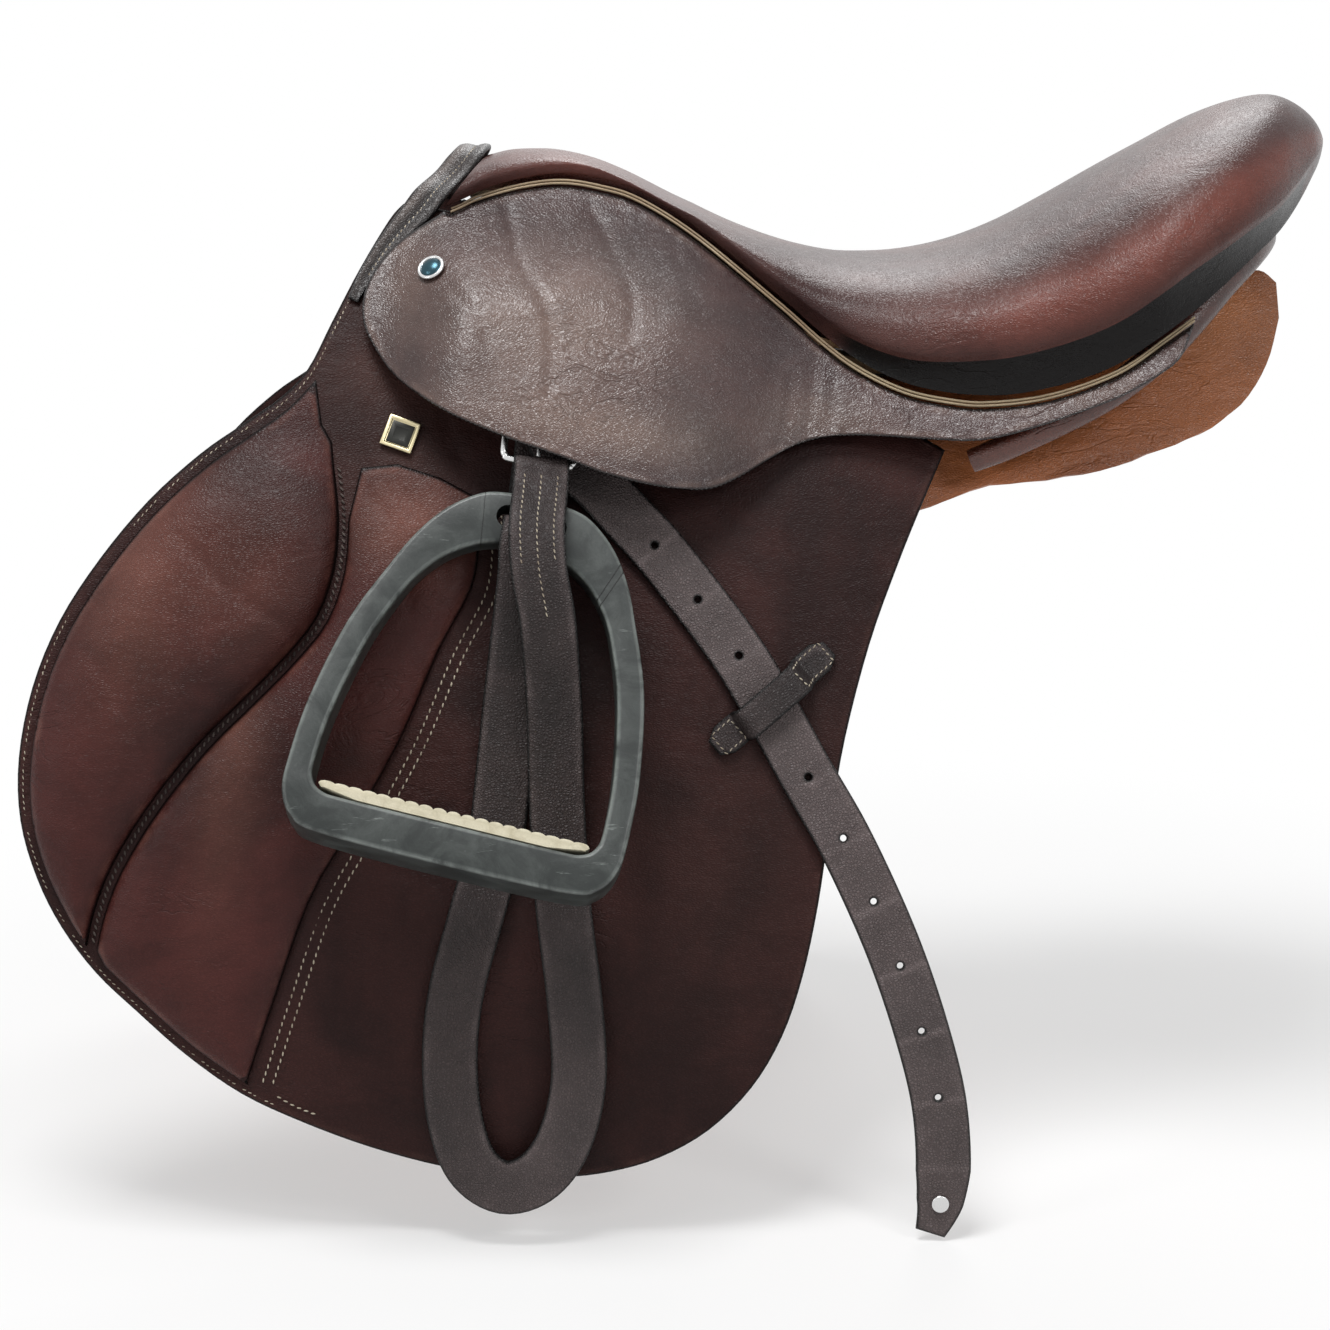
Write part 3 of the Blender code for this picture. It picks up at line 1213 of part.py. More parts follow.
def build_girth_straps():
    """Girth straps on each side, each turning about its own rounded head."""
    half = 0.5 * GIRTH_STRAP_WIDTH
    for number in range(3):
        x = GIRTH_STRAP_FRONT_X + number * GIRTH_STRAP_PITCH
        outline = []
        for k in range(9):
            angle = math.pi * k / 8
            outline.append((x - half * math.cos(angle), GIRTH_STRAP_TOP_Z + half * math.sin(angle)))
        tip_z = GIRTH_STRAP_END_Z + GIRTH_STRAP_TIP
        tip = GIRTH_STRAP_TIP_HALF
        bottom = [(x + half, tip_z), (x + tip, GIRTH_STRAP_END_Z),
                  (x - tip, GIRTH_STRAP_END_Z), (x - half, tip_z)]
        outline += bottom
        flat = [to_sd(px, pz) for px, pz in outline]

        def inner(s, d):
            return GIRTH_STRAP_N - 0.5 * GIRTH_STRAP_THICK

        def outer(s, d):
            return GIRTH_STRAP_N + 0.5 * GIRTH_STRAP_THICK

        verts, faces = sheet(flat, inner, outer, GIRTH_STRAP_GRID)
        s, d = to_sd(x, GIRTH_STRAP_TOP_Z)
        make_pair("girth_strap_%d" % (number + 1), verts, faces, "strap_leather",
                  tuple(flank_point(s, d, GIRTH_STRAP_N)))


def main():
    """Clear the scene and build every piece."""
    for item in list(bpy.data.objects):
        bpy.data.objects.remove(item, do_unlink=True)
    build_tree()
    build_panels()
    build_sweat_flap()
    build_girth_straps()
    build_flap()
    build_pads()
    build_skirt()
    build_seat()
    build_welts()
    build_facing()
    build_bars()
    build_studs()
    build_iron()
    build_leather()
    build_keeper()


main()
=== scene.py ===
"""Looks of the all-purpose saddle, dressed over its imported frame.

Each piece is meshed in code, given its finish, and tied to the body that it rides on.

Lengths are in millimetres until a mesh is made. The flap, skirt and straps lie in
layers over one curved side, the flank, where a place is (s, d, n): s runs back along
the stirrup bar's line, d runs down from it and n is the distance outwards.
"""

import json
import logging
import math
from dataclasses import dataclass, field
from enum import Enum
from typing import Callable, Optional, Sequence, Union

import bmesh
import bpy
import numpy as np
from mathutils import Matrix, Vector
from mathutils.geometry import delaunay_2d_cdt

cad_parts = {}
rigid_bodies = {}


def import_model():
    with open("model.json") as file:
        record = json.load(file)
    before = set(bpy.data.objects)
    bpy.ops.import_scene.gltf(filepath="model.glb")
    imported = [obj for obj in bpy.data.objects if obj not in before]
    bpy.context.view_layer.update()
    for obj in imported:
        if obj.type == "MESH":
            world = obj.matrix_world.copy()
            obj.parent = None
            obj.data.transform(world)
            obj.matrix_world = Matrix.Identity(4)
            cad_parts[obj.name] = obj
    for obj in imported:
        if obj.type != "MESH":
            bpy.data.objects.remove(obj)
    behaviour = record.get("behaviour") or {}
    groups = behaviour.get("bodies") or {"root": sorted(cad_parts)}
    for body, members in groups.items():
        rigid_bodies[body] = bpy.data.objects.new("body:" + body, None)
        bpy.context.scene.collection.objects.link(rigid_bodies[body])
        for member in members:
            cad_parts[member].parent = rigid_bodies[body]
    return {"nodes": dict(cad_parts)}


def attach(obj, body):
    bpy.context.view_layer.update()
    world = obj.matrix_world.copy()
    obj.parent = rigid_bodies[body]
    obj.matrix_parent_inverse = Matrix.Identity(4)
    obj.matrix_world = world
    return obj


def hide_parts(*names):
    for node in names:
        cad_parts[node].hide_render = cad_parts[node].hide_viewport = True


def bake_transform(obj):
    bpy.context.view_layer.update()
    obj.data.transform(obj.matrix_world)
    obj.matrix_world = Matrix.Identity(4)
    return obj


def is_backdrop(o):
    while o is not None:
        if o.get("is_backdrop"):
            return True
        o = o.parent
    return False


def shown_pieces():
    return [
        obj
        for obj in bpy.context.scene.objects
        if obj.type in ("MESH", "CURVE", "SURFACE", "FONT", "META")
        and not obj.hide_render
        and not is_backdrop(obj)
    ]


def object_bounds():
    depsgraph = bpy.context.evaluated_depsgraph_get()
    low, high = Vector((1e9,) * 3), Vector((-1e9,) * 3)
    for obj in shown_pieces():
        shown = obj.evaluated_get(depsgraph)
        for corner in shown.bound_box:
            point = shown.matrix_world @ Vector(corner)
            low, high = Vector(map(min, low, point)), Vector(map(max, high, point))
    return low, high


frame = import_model()

LOG = logging.getLogger("saddle")
MM = 0.001

Array = np.ndarray
Rows = Sequence[Sequence[float]]
Surface = Callable[[Array, Array, Array], Array]
Level = Callable[[Array, Array, Array], Array]


class Table:
    """Smooth curve through a table whose rows are sorted by their first number."""

    def __init__(self, rows: Rows, column: int = 1) -> None:
        """Prepare the curve.

        Args:
            rows: The table.
            column: Which column the curve follows.
        """
        self.x = np.array([row[0] for row in rows], float)
        self.y = np.array([row[column] for row in rows], float)
        self.slope = np.diff(self.y) / np.diff(self.x)
        self.tangent = np.empty_like(self.y)
        self.tangent[0], self.tangent[-1] = self.slope[0], self.slope[-1]
        same = self.slope[:-1] * self.slope[1:] > 0
        self.tangent[1:-1] = np.where(same, 0.5 * (self.slope[:-1] + self.slope[1:]), 0.0)

    def __call__(self, x: Union[float, Array]) -> Array:
        """Return the curve's value at x, held at both ends."""
        q = np.clip(np.asarray(x, float), self.x[0], self.x[-1])
        k = np.clip(np.searchsorted(self.x, q, side="left") - 1, 0, len(self.x) - 2)
        limit = 3.0 * np.abs(self.slope[k])
        m0 = np.clip(self.tangent[k], -limit, limit)
        m1 = np.clip(self.tangent[k + 1], -limit, limit)
        h = self.x[k + 1] - self.x[k]
        t = (q - self.x[k]) / h
        return ((2 * t**3 - 3 * t**2 + 1) * self.y[k] + (t**3 - 2 * t**2 + t) * h * m0
                + (3 * t**2 - 2 * t**3) * self.y[k + 1] + (t**3 - t**2) * h * m1)


def curve(*rows: Sequence[float]) -> Table:
    """A dataclass field that holds the smooth curve through rows."""
    return field(default_factory=lambda: Table(rows))


def ramp(edge0: float, edge1: float, x: Union[float, Array]) -> Array:
    """Return 0 before edge0, 1 past edge1 and a smooth rise between."""
    t = np.clip((np.asarray(x, float) - edge0) / (edge1 - edge0), 0.0, 1.0)
    return t * t * (3.0 - 2.0 * t)


def spline(points: Rows, steps: int, closed: bool = False) -> Array:
    """Return a Catmull-Rom curve through points.

    Args:
        points: Points of any size.
        steps: Steps between two points.
        closed: Whether the curve comes back to its start.

    Returns:
        The curve's points, one row each.
    """
    p = np.array(points, float)
    count = len(p)
    result = []
    for k in range(count if closed else count - 1):
        near = [k - 1, k, k + 1, k + 2]
        near = [j % count for j in near] if closed else [min(max(j, 0), count - 1) for j in near]
        a, b, c, e = (p[j] for j in near)
        for step in range(steps):
            t = step / steps
            result.append(0.5 * (2 * b + (c - a) * t + (2 * a - 5 * b + 4 * c - e) * t * t
                                 + (3 * b - a - 3 * c + e) * t**3))
    if not closed:
        result.append(p[-1])
    return np.array(result)


def level_rows(*values: Array) -> Sequence[Array]:
    """Values as rows of one length."""
    return np.broadcast_arrays(*(np.atleast_1d(np.asarray(value, float)) for value in values))


def unit(rows: Array) -> Array:
    """Rows scaled to length 1."""
    return rows / np.linalg.norm(rows, axis=1)[:, None]


def lengths(points: Array) -> Array:
    """Length along a path at each of its points."""
    return np.concatenate([[0.0], np.cumsum(np.linalg.norm(np.diff(points, axis=0), axis=1))])


def along(values: Array, arc: Array, v: Array) -> Array:
    """Rows of values read at the lengths v."""
    return np.column_stack([np.interp(v, arc, values[:, k]) for k in range(3)])


def heading(points: Array) -> Array:
    """Direction of an open path at each of its points."""
    return unit(np.vstack([points[1:], points[-1:]]) - np.vstack([points[:1], points[:-1]]))


def inset_path(points: Array, amount: float) -> Array:
    """Move an open path to its inner side by an amount."""
    way = heading(points)
    return points + np.column_stack([way[:, 1], -way[:, 0]]) * amount


def flat(height: float) -> Level:
    """A face at one height."""
    return lambda u, v, reach: np.full(np.shape(u), height)


def bell(x: Array, middle: float, width: float) -> Array:
    """Smooth hump of height 1 about a middle."""
    return np.exp(-((x - middle) / width) ** 2)


def distance_to(places: Array, starts: Array, ends: Array) -> Array:
    """Return each place's distance to the nearest of some segments."""
    best = np.full(len(places), 1e9)
    for a, b in zip(starts, ends):
        way = b - a
        t = np.clip(((places - a) @ way) / max(float(way @ way), 1e-12), 0.0, 1.0)
        gap = places - a - t[:, None] * way
        best = np.minimum(best, np.hypot(gap[:, 0], gap[:, 1]))
    return best


def inside(places: Array, ring: Array) -> Array:
    """Say which places lie inside a closed ring."""
    result = np.zeros(len(places), bool)
    for a, b in zip(ring, np.roll(ring, -1, axis=0)):
        if a[1] == b[1]:
            continue
        crosses = (a[1] > places[:, 1]) != (b[1] > places[:, 1])
        at = a[0] + (places[:, 1] - a[1]) * (b[0] - a[0]) / (b[1] - a[1])
        result ^= crosses & (places[:, 0] < at)
    return result


@dataclass
class Flank:
    """The curved side that the flap hangs on, and the skirt's place over it."""

    bar_x: float = -144.0
    bar_z: float = 71.4
    lean: float = math.radians(8.9)
    half_width: Table = curve(
        (-130, 12), (-105, 25), (-86, 36.5), (-60, 53), (-30, 73), (0, 92), (50, 117),
        (100, 137), (160, 156), (240, 175), (320, 186), (400, 190))
    rear_flare: Table = curve(
        (105, 0), (150, 4), (180, 10), (205, 16), (230, 24), (260, 40), (290, 54))
    skirt_offset: float = 10.0
    skirt_bulge: float = 24.0
    front_flare: float = 2.2

    def to_xz(self, s: Array, d: Array) -> tuple[Array, Array]:
        """Turn a place on the flank into x and z."""
        x = self.bar_x + s * math.cos(self.lean) - d * math.sin(self.lean)
        z = self.bar_z - s * math.sin(self.lean) - d * math.cos(self.lean)
        return x, z

    def to_sd(self, x: Array, z: Array) -> tuple[Array, Array]:
        """Turn x and z into a place on the flank."""
        dx, dz = x - self.bar_x, z - self.bar_z
        return (dx * math.cos(self.lean) - dz * math.sin(self.lean),
                -dx * math.sin(self.lean) - dz * math.cos(self.lean))

    def straight(self, s: Array, d: Array, out: Array) -> Array:
        """Near-side points at s and d, with out measured from the centreline."""
        s, d, out = level_rows(s, d, out)
        x, z = self.to_xz(s, d)
        return np.column_stack([x, -out, z])

    def point(self, s: Array, d: Array, n: Array) -> Array:
        """Near-side points at (s, d, n)."""
        return self.straight(s, d, self.half_width(d) + np.asarray(n, float))

    def skirt_width(self, s: Array, d: Array) -> Array:
        """Distance of the skirt's middle from the centreline."""
        across = ramp(-86, -34, s) * (1.0 - ramp(48, 128, s))
        bulge = self.skirt_bulge * across * ramp(-80, -24, d)
        front = self.front_flare * (1.0 - ramp(-92, -66, s))
        return self.half_width(d) + self.skirt_offset + bulge + self.rear_flare(s) + front

    def skirt_point(self, s: Array, d: Array, n: Array) -> Array:
        """Near-side points at a distance n outside the skirt's middle."""
        return self.straight(s, d, self.skirt_width(s, d) + np.asarray(n, float))

    def slope(self, d: Array) -> Array:
        """How fast the flank widens with d."""
        return 0.5 * (self.half_width(np.asarray(d) + 1.0) - self.half_width(np.asarray(d) - 1.0))

    def in_flank(self, d: float, turn: float) -> Array:
        """Direction in the near flank at d, turned from the bar line by degrees."""
        angle = math.radians(turn)
        back = np.array([math.cos(self.lean), 0.0, -math.sin(self.lean)])
        down = np.array([-math.sin(self.lean), -float(self.slope(d)), -math.cos(self.lean)])
        return back * math.cos(angle) + down * math.sin(angle)

    @staticmethod
    def normal(at: Surface, s: Array, d: Array, n: Array) -> Array:
        """Normals, away from the horse, of a near-side surface.

        Args:
            at: The surface's own point function.
            s: Places along the bar line.
            d: Places down from it.
            n: Distances outwards.

        Returns:
            One unit vector for each place.
        """
        u = at(s + 0.5, d, n) - at(s - 0.5, d, n)
        v = at(s, d + 0.5, n) - at(s, d - 0.5, n)
        found = np.cross(u, v)
        found[found[:, 1] > 0] *= -1.0
        return unit(found)


FLANK = Flank()
BAR_N = 14.5


class Route:
    """A strap's way in space, with the direction of its width."""

    def __init__(self, points: Array, across: Array) -> None:
        """Prepare the way.

        Args:
            points: Points on the strap's middle line.
            across: Directions of its width at the same points.
        """
        self.points = points
        self.arc = lengths(points)
        way = heading(points)
        self.side = unit(across - way * np.sum(across * way, axis=1)[:, None])
        self.up = np.cross(way, self.side)

    @property
    def length(self) -> float:
        """Length of the way."""
        return float(self.arc[-1])

    def point(self, u: Array, v: Array, n: Array) -> Array:
        """Points u across, v along and n above the strap's middle."""
        u, v, n = level_rows(u, v, n)
        side, up = (unit(along(values, self.arc, v)) for values in (self.side, self.up))
        return along(self.points, self.arc, v) + side * u[:, None] + up * n[:, None]


class Value:
    """A shader socket that sums, differences and products can be written with."""

    def __init__(self, graph: "Graph", socket: bpy.types.NodeSocket) -> None:
        """Hold a socket of a graph."""
        self.graph = graph
        self.socket = socket

    def __add__(self, other: "Operand") -> "Value":
        """Sum."""
        return self.graph.math("ADD", self, other)

    def __radd__(self, other: float) -> "Value":
        """Sum, reflected."""
        return self.graph.math("ADD", other, self)

    def __sub__(self, other: "Operand") -> "Value":
        """Difference."""
        return self.graph.math("SUBTRACT", self, other)

    def __rsub__(self, other: float) -> "Value":
        """Difference, reflected."""
        return self.graph.math("SUBTRACT", other, self)

    def __mul__(self, other: "Operand") -> "Value":
        """Product."""
        return self.graph.math("MULTIPLY", self, other)

    def __rmul__(self, other: float) -> "Value":
        """Product, reflected."""
        return self.graph.math("MULTIPLY", other, self)


Operand = Union[Value, float]
Colour = tuple[float, float, float]
# the Mix node's first colour input and its colour output
MIX_COLOURS, MIX_RESULT = 6, 2


class Graph:
    """Node tree of one material or world and the helpers that write it."""

    def __init__(self, name: str, world: bool = False) -> None:
        """Start a material, or a world, of that name."""
        self.owner = (bpy.data.worlds if world else bpy.data.materials).new(name)
        self.owner.use_nodes = True
        self.tree = self.owner.node_tree
        self.shader = self.tree.nodes["Background" if world else "Principled BSDF"]

    def node(self, kind: str, settings: Optional[dict] = None, inputs: Optional[dict] = None,
             output: Union[int, str] = 0) -> Value:
        """Add a node.

        Args:
            kind: The node's type.
            settings: Attributes, set first.
            inputs: Values or links of its sockets, by name or number.
            output: Which output is wanted.

        Returns:
            The output, ready for maths.
        """
        made = self.tree.nodes.new(kind)
        for key, value in (settings or {}).items():
            setattr(made, key, value)
        for key, value in (inputs or {}).items():
            if isinstance(value, Value):
                self.tree.links.new(value.socket, made.inputs[key])
            else:
                made.inputs[key].default_value = value
        return Value(self, made.outputs[output])

    def math(self, operation: str, a: Operand, b: Operand, clamp: bool = False) -> Value:
        """Add one step of arithmetic."""
        return self.node("ShaderNodeMath", {"operation": operation, "use_clamp": clamp}, {0: a, 1: b})

    def place(self) -> Value:
        """Object coordinates."""
        return self.node("ShaderNodeTexCoord", output="Object")

    def stretched(self, place: Value, scale: Colour, turn: Colour = (0.0, 0.0, 0.0)) -> Value:
        """Coordinates scaled and turned."""
        return self.node("ShaderNodeMapping", {}, {"Vector": place, "Scale": scale, "Rotation": turn})

    def noise(self, place: Value, scale: float, detail: float = 3.0, rough: float = 0.55,
              twist: float = 0.0) -> Value:
        """Cloudy noise from 0 to 1."""
        return self.node("ShaderNodeTexNoise", {"noise_dimensions": "3D"}, {
            "Vector": place, "Scale": scale, "Detail": detail, "Roughness": rough,
            "Distortion": twist})

    def cells(self, place: Value, scale: float) -> Value:
        """Distance from the edges of a cellular pattern."""
        return self.node("ShaderNodeTexVoronoi", {"feature": "DISTANCE_TO_EDGE"},
                         {"Vector": place, "Scale": scale}, "Distance")

    def rise(self, value: Value, low: float, high: float, to_low: float = 0.0,
             to_high: float = 1.0) -> Value:
        """Smooth step between two levels."""
        return self.node("ShaderNodeMapRange", {"interpolation_type": "SMOOTHSTEP"}, {
            "Value": value, "From Min": low, "From Max": high, "To Min": to_low, "To Max": to_high})

    def direct(self) -> Value:
        """1 for rays that see a thing straight on, in a mirror or through glass."""
        path = self.tree.nodes.new("ShaderNodeLightPath")
        seen = [Value(self, path.outputs["Is %s Ray" % kind])
                for kind in ("Camera", "Glossy", "Transmission")]
        return seen[0] + seen[1] + seen[2]

    def mark(self, name: str) -> Value:
        """A number painted on the mesh's points."""
        return self.node("ShaderNodeAttribute", {"attribute_name": name}, output="Fac")

    def mix(self, share: Operand, a: Union[Value, Colour], b: Union[Value, Colour]) -> Value:
        """Blend two colours by a share."""
        given = {MIX_COLOURS + k: value if isinstance(value, Value) else (*value, 1.0)
                 for k, value in enumerate((a, b))}
        return self.node("ShaderNodeMix", {"data_type": "RGBA", "clamp_factor": True},
                         {0: share, **given}, MIX_RESULT)

    def toned(self, colour: Value, value: Operand) -> Value:
        """A colour made lighter or darker by a factor."""
        return self.node("ShaderNodeHueSaturation", {}, {"Color": colour, "Value": value})

    def bump(self, height: Value, depth_mm: float, below: Optional[Value] = None) -> Value:
        """Relief of a real depth, laid over another relief."""
        inputs = {"Height": height, "Distance": depth_mm * MM, "Strength": 1.0}
        if below is not None:
            inputs["Normal"] = below
        return self.node("ShaderNodeBump", {}, inputs)

    def feed(self, socket: str, value: Union[Value, float, Colour]) -> None:
        """Link or set one of the shader's sockets."""
        target = self.shader.inputs[socket]
        if isinstance(value, Value):
            self.tree.links.new(value.socket, target)
        elif isinstance(value, tuple):
            target.default_value = (*value, 1.0)
        else:
            target.default_value = value


@dataclass(frozen=True)
class Look:
    """A finish with its material's name."""

    name: str

    def make(self) -> bpy.types.Material:
        """Build the finish's material.

        Returns:
            The material.
        """
        g = Graph(self.name)
        self.paint(g, g.place())
        return g.owner

    def paint(self, g: Graph, p: Value) -> None:
        """Write the finish's nodes over object coordinates."""
        raise NotImplementedError


@dataclass(frozen=True)
class Leather(Look):
    """Oiled, used bridle leather."""

    deep: Colour
    body: Colour
    worn: Colour
    edge: Colour
    rough: float = 0.42
    rough_spread: float = 0.16
    grain_mm: float = 1.5
    grain_depth: float = 0.10
    wrinkle_depth: float = 0.30
    wrinkle_scale: float = 120.0
    wrinkle_stretch: Colour = (1.0, 1.0, 2.0)
    blotch_scale: float = 12.0
    crease_depth: float = 0.25
    crease_scale: float = 26.0
    crack_shade: float = 0.20
    gloss: float = 0.3
    scuffs: float = 0.5

    def paint(self, g: Graph, p: Value) -> None:
        """Build the leather's nodes."""
        cloud = g.noise(p, self.blotch_scale, 4.0, 0.6, 0.4)
        patch = g.noise(p, self.blotch_scale * 4.2, 4.0, 0.6)
        speck = g.noise(p, 650.0, 2.0, 0.5)
        rim = g.mark("rim")
        wear = g.mark("wear")
        colour = g.mix(g.rise(cloud, 0.34, 0.66), self.deep, self.body)
        rubbed = g.math("MULTIPLY", wear, 0.55 + patch * 0.9, clamp=True)
        colour = g.mix(rubbed, colour, self.worn)
        long_scratch = g.noise(g.stretched(p, (14.0, 60.0, 150.0), (0.0, 0.5, 0.0)), 1.0, 3.0, 0.7)
        scuff = g.rise(long_scratch, 0.66, 0.78) * g.rise(patch, 0.45, 0.7) * self.scuffs
        colour = g.mix(scuff, colour, self.worn)
        # near-black edge colour where the rim mark is low: burnished edges of cut leather, and on the
        # seat painted shade in the band under its ridge
        burnish_and_painted_shade = g.rise(rim, 0.02, 0.14, 1.0, 0.0)
        colour = g.mix(burnish_and_painted_shade, colour, self.edge)
        rub_line = g.rise(rim, 0.05, 0.16) * g.rise(rim, 0.16, 0.40, 1.0, 0.0)
        rub_line = rub_line * g.rise(patch, 0.38, 0.75, 0.0, 0.4)
        colour = g.mix(rub_line, colour, self.worn)
        pulled = g.stretched(p, self.wrinkle_stretch)
        pebble = g.rise(g.cells(pulled, 1000.0 / self.grain_mm), 0.0, 0.35)
        wander = g.noise(pulled, self.crease_scale, 3.0, 0.6, 1.2)
        plain = g.rise(g.noise(p, 0.45 * self.crease_scale, 2.0, 0.5), 0.54, 0.66, 1.0, 0.0)
        crease = g.math("MAXIMUM", g.rise(g.math("ABSOLUTE", wander - 0.5, 0.0), 0.0, 0.035), plain)
        wrinkle = g.noise(pulled, self.wrinkle_scale, 4.0, 0.6, 0.6)
        shade = 0.70 + speck * 0.20 + patch * 0.20 + wrinkle * 0.12
        shade = shade + pebble * self.crack_shade + crease * 0.10 - 0.5 * self.crack_shade - 0.08
        g.feed("Base Color", g.toned(colour, shade))
        g.feed("Roughness", self.rough - 0.5 * self.rough_spread + patch * self.rough_spread
               + speck * 0.08 - rubbed * 0.05 - pebble * 0.06)
        relief = g.bump(wrinkle, self.wrinkle_depth)
        relief = g.bump(crease, self.crease_depth, relief)
        relief = g.bump(pebble, self.grain_depth, relief)
        g.feed("Normal", relief)
        g.feed("Specular IOR Level", self.gloss)


@dataclass(frozen=True)
class Metal(Look):
    """Polished or dull steel with fine marks."""

    colour: Colour
    rough: float = 0.24
    stain: Colour = (0.25, 0.22, 0.18)
    stained: float = 0.35

    def paint(self, g: Graph, p: Value) -> None:
        """Build the metal's nodes."""
        cloud = g.noise(p, 90.0, 4.0, 0.6)
        fine = g.noise(g.stretched(p, (1.0, 6.0, 6.0)), 420.0, 3.0, 0.6)
        colour = g.mix(g.rise(cloud, 0.5, 0.85, 0.0, self.stained), self.colour, self.stain)
        g.feed("Base Color", colour)
        g.feed("Metallic", 1.0)
        g.feed("Roughness", self.rough - 0.04 + cloud * 0.10 + fine * 0.08)
        g.feed("Normal", g.bump(fine, 0.03))


@dataclass(frozen=True)
class Composite(Look):
    """Moulded grey-black plastic with rubbed edges."""

    body: Colour = (0.022, 0.026, 0.025)
    rubbed: Colour = (0.24, 0.265, 0.25)

    def paint(self, g: Graph, p: Value) -> None:
        """Build the plastic's nodes."""
        cloud = g.noise(p, 55.0, 5.0, 0.65, 0.8)
        fine = g.noise(p, 900.0, 3.0, 0.6)
        scratch = g.noise(g.stretched(p, (40.0, 300.0, 300.0), (0.0, 0.6, 0.2)), 1.0, 4.0, 0.75)
        wear = g.mark("wear")
        colour = g.mix(g.rise(cloud, 0.35, 0.75, 0.0, 0.16), self.body, self.rubbed)
        edge = g.math("MULTIPLY", wear, g.rise(cloud, 0.3, 0.65, 0.10, 0.85), clamp=True)
        colour = g.mix(edge, colour, self.rubbed)
        colour = g.mix(g.rise(scratch, 0.62, 0.72, 0.0, 0.5), colour, self.rubbed)
        g.feed("Base Color", g.toned(colour, 0.85 + fine * 0.3))
        g.feed("Specular IOR Level", 0.38)
        g.feed("Roughness", 0.25 + cloud * 0.18 + fine * 0.08)
        g.feed("Normal", g.bump(fine, 0.05, g.bump(cloud, 0.15)))


@dataclass(frozen=True)
class Rubber(Look):
    """Cream tread rubber, dirty in its grooves."""

    clean: Colour = (0.74, 0.69, 0.53)
    grubby: Colour = (0.45, 0.40, 0.27)

    def paint(self, g: Graph, p: Value) -> None:
        """Build the rubber's nodes."""
        cloud = g.noise(p, 130.0, 4.0, 0.65, 0.5)
        fine = g.noise(p, 1100.0, 2.0, 0.5)
        colour = g.mix(g.rise(cloud, 0.42, 0.78, 0.0, 0.75), self.clean, self.grubby)
        colour = g.mix(g.mark("wear"), colour, self.grubby)
        g.feed("Base Color", g.toned(colour, 0.92 + fine * 0.16))
        g.feed("Roughness", 0.62 + cloud * 0.2)
        g.feed("Normal", g.bump(fine, 0.07, g.bump(cloud, 0.25)))


@dataclass(frozen=True)
class Yarn(Look):
    """Waxed thread, or woven web where it is broad."""

    colour: Colour
    shade: Colour
    woven: bool = False

    def paint(self, g: Graph, p: Value) -> None:
        """Build the yarn's nodes."""
        cloud = g.noise(p, 60.0, 3.0, 0.6)
        if self.woven:
            warp, weft = (
                g.node("ShaderNodeTexWave", {"wave_type": "BANDS", "bands_direction": way},
                       {"Vector": p, "Scale": 190.0, "Distortion": 0.6}, "Fac") for way in "XY")
            weave = warp * weft
        else:
            weave = g.noise(g.stretched(p, (1.0, 1.0, 1.0), (0.0, 0.6, 0.0)), 2600.0, 2.0, 0.5)
        colour = g.mix(g.rise(cloud, 0.35, 0.75), self.colour, self.shade)
        g.feed("Base Color", g.toned(colour, 0.75 + weave * 0.4))
        g.feed("Roughness", 0.72 + cloud * 0.15)
        g.feed("Normal", g.bump(weave, 0.25 if self.woven else 0.08))


@dataclass(frozen=True)
class Wood(Look):
    """Laminated beech of the tree."""

    pale: Colour = (0.42, 0.27, 0.14)
    dark: Colour = (0.22, 0.13, 0.06)

    def paint(self, g: Graph, p: Value) -> None:
        """Build the wood's nodes."""
        lines = g.noise(g.stretched(p, (9.0, 160.0, 160.0)), 1.0, 5.0, 0.65, 0.3)
        fine = g.noise(g.stretched(p, (60.0, 900.0, 900.0)), 1.0, 2.0, 0.6)
        colour = g.mix(g.rise(lines, 0.35, 0.7), self.pale, self.dark)
        g.feed("Base Color", g.toned(colour, 0.85 + fine * 0.3))
        g.feed("Roughness", 0.55 + lines * 0.2)
        g.feed("Normal", g.bump(lines, 0.12))


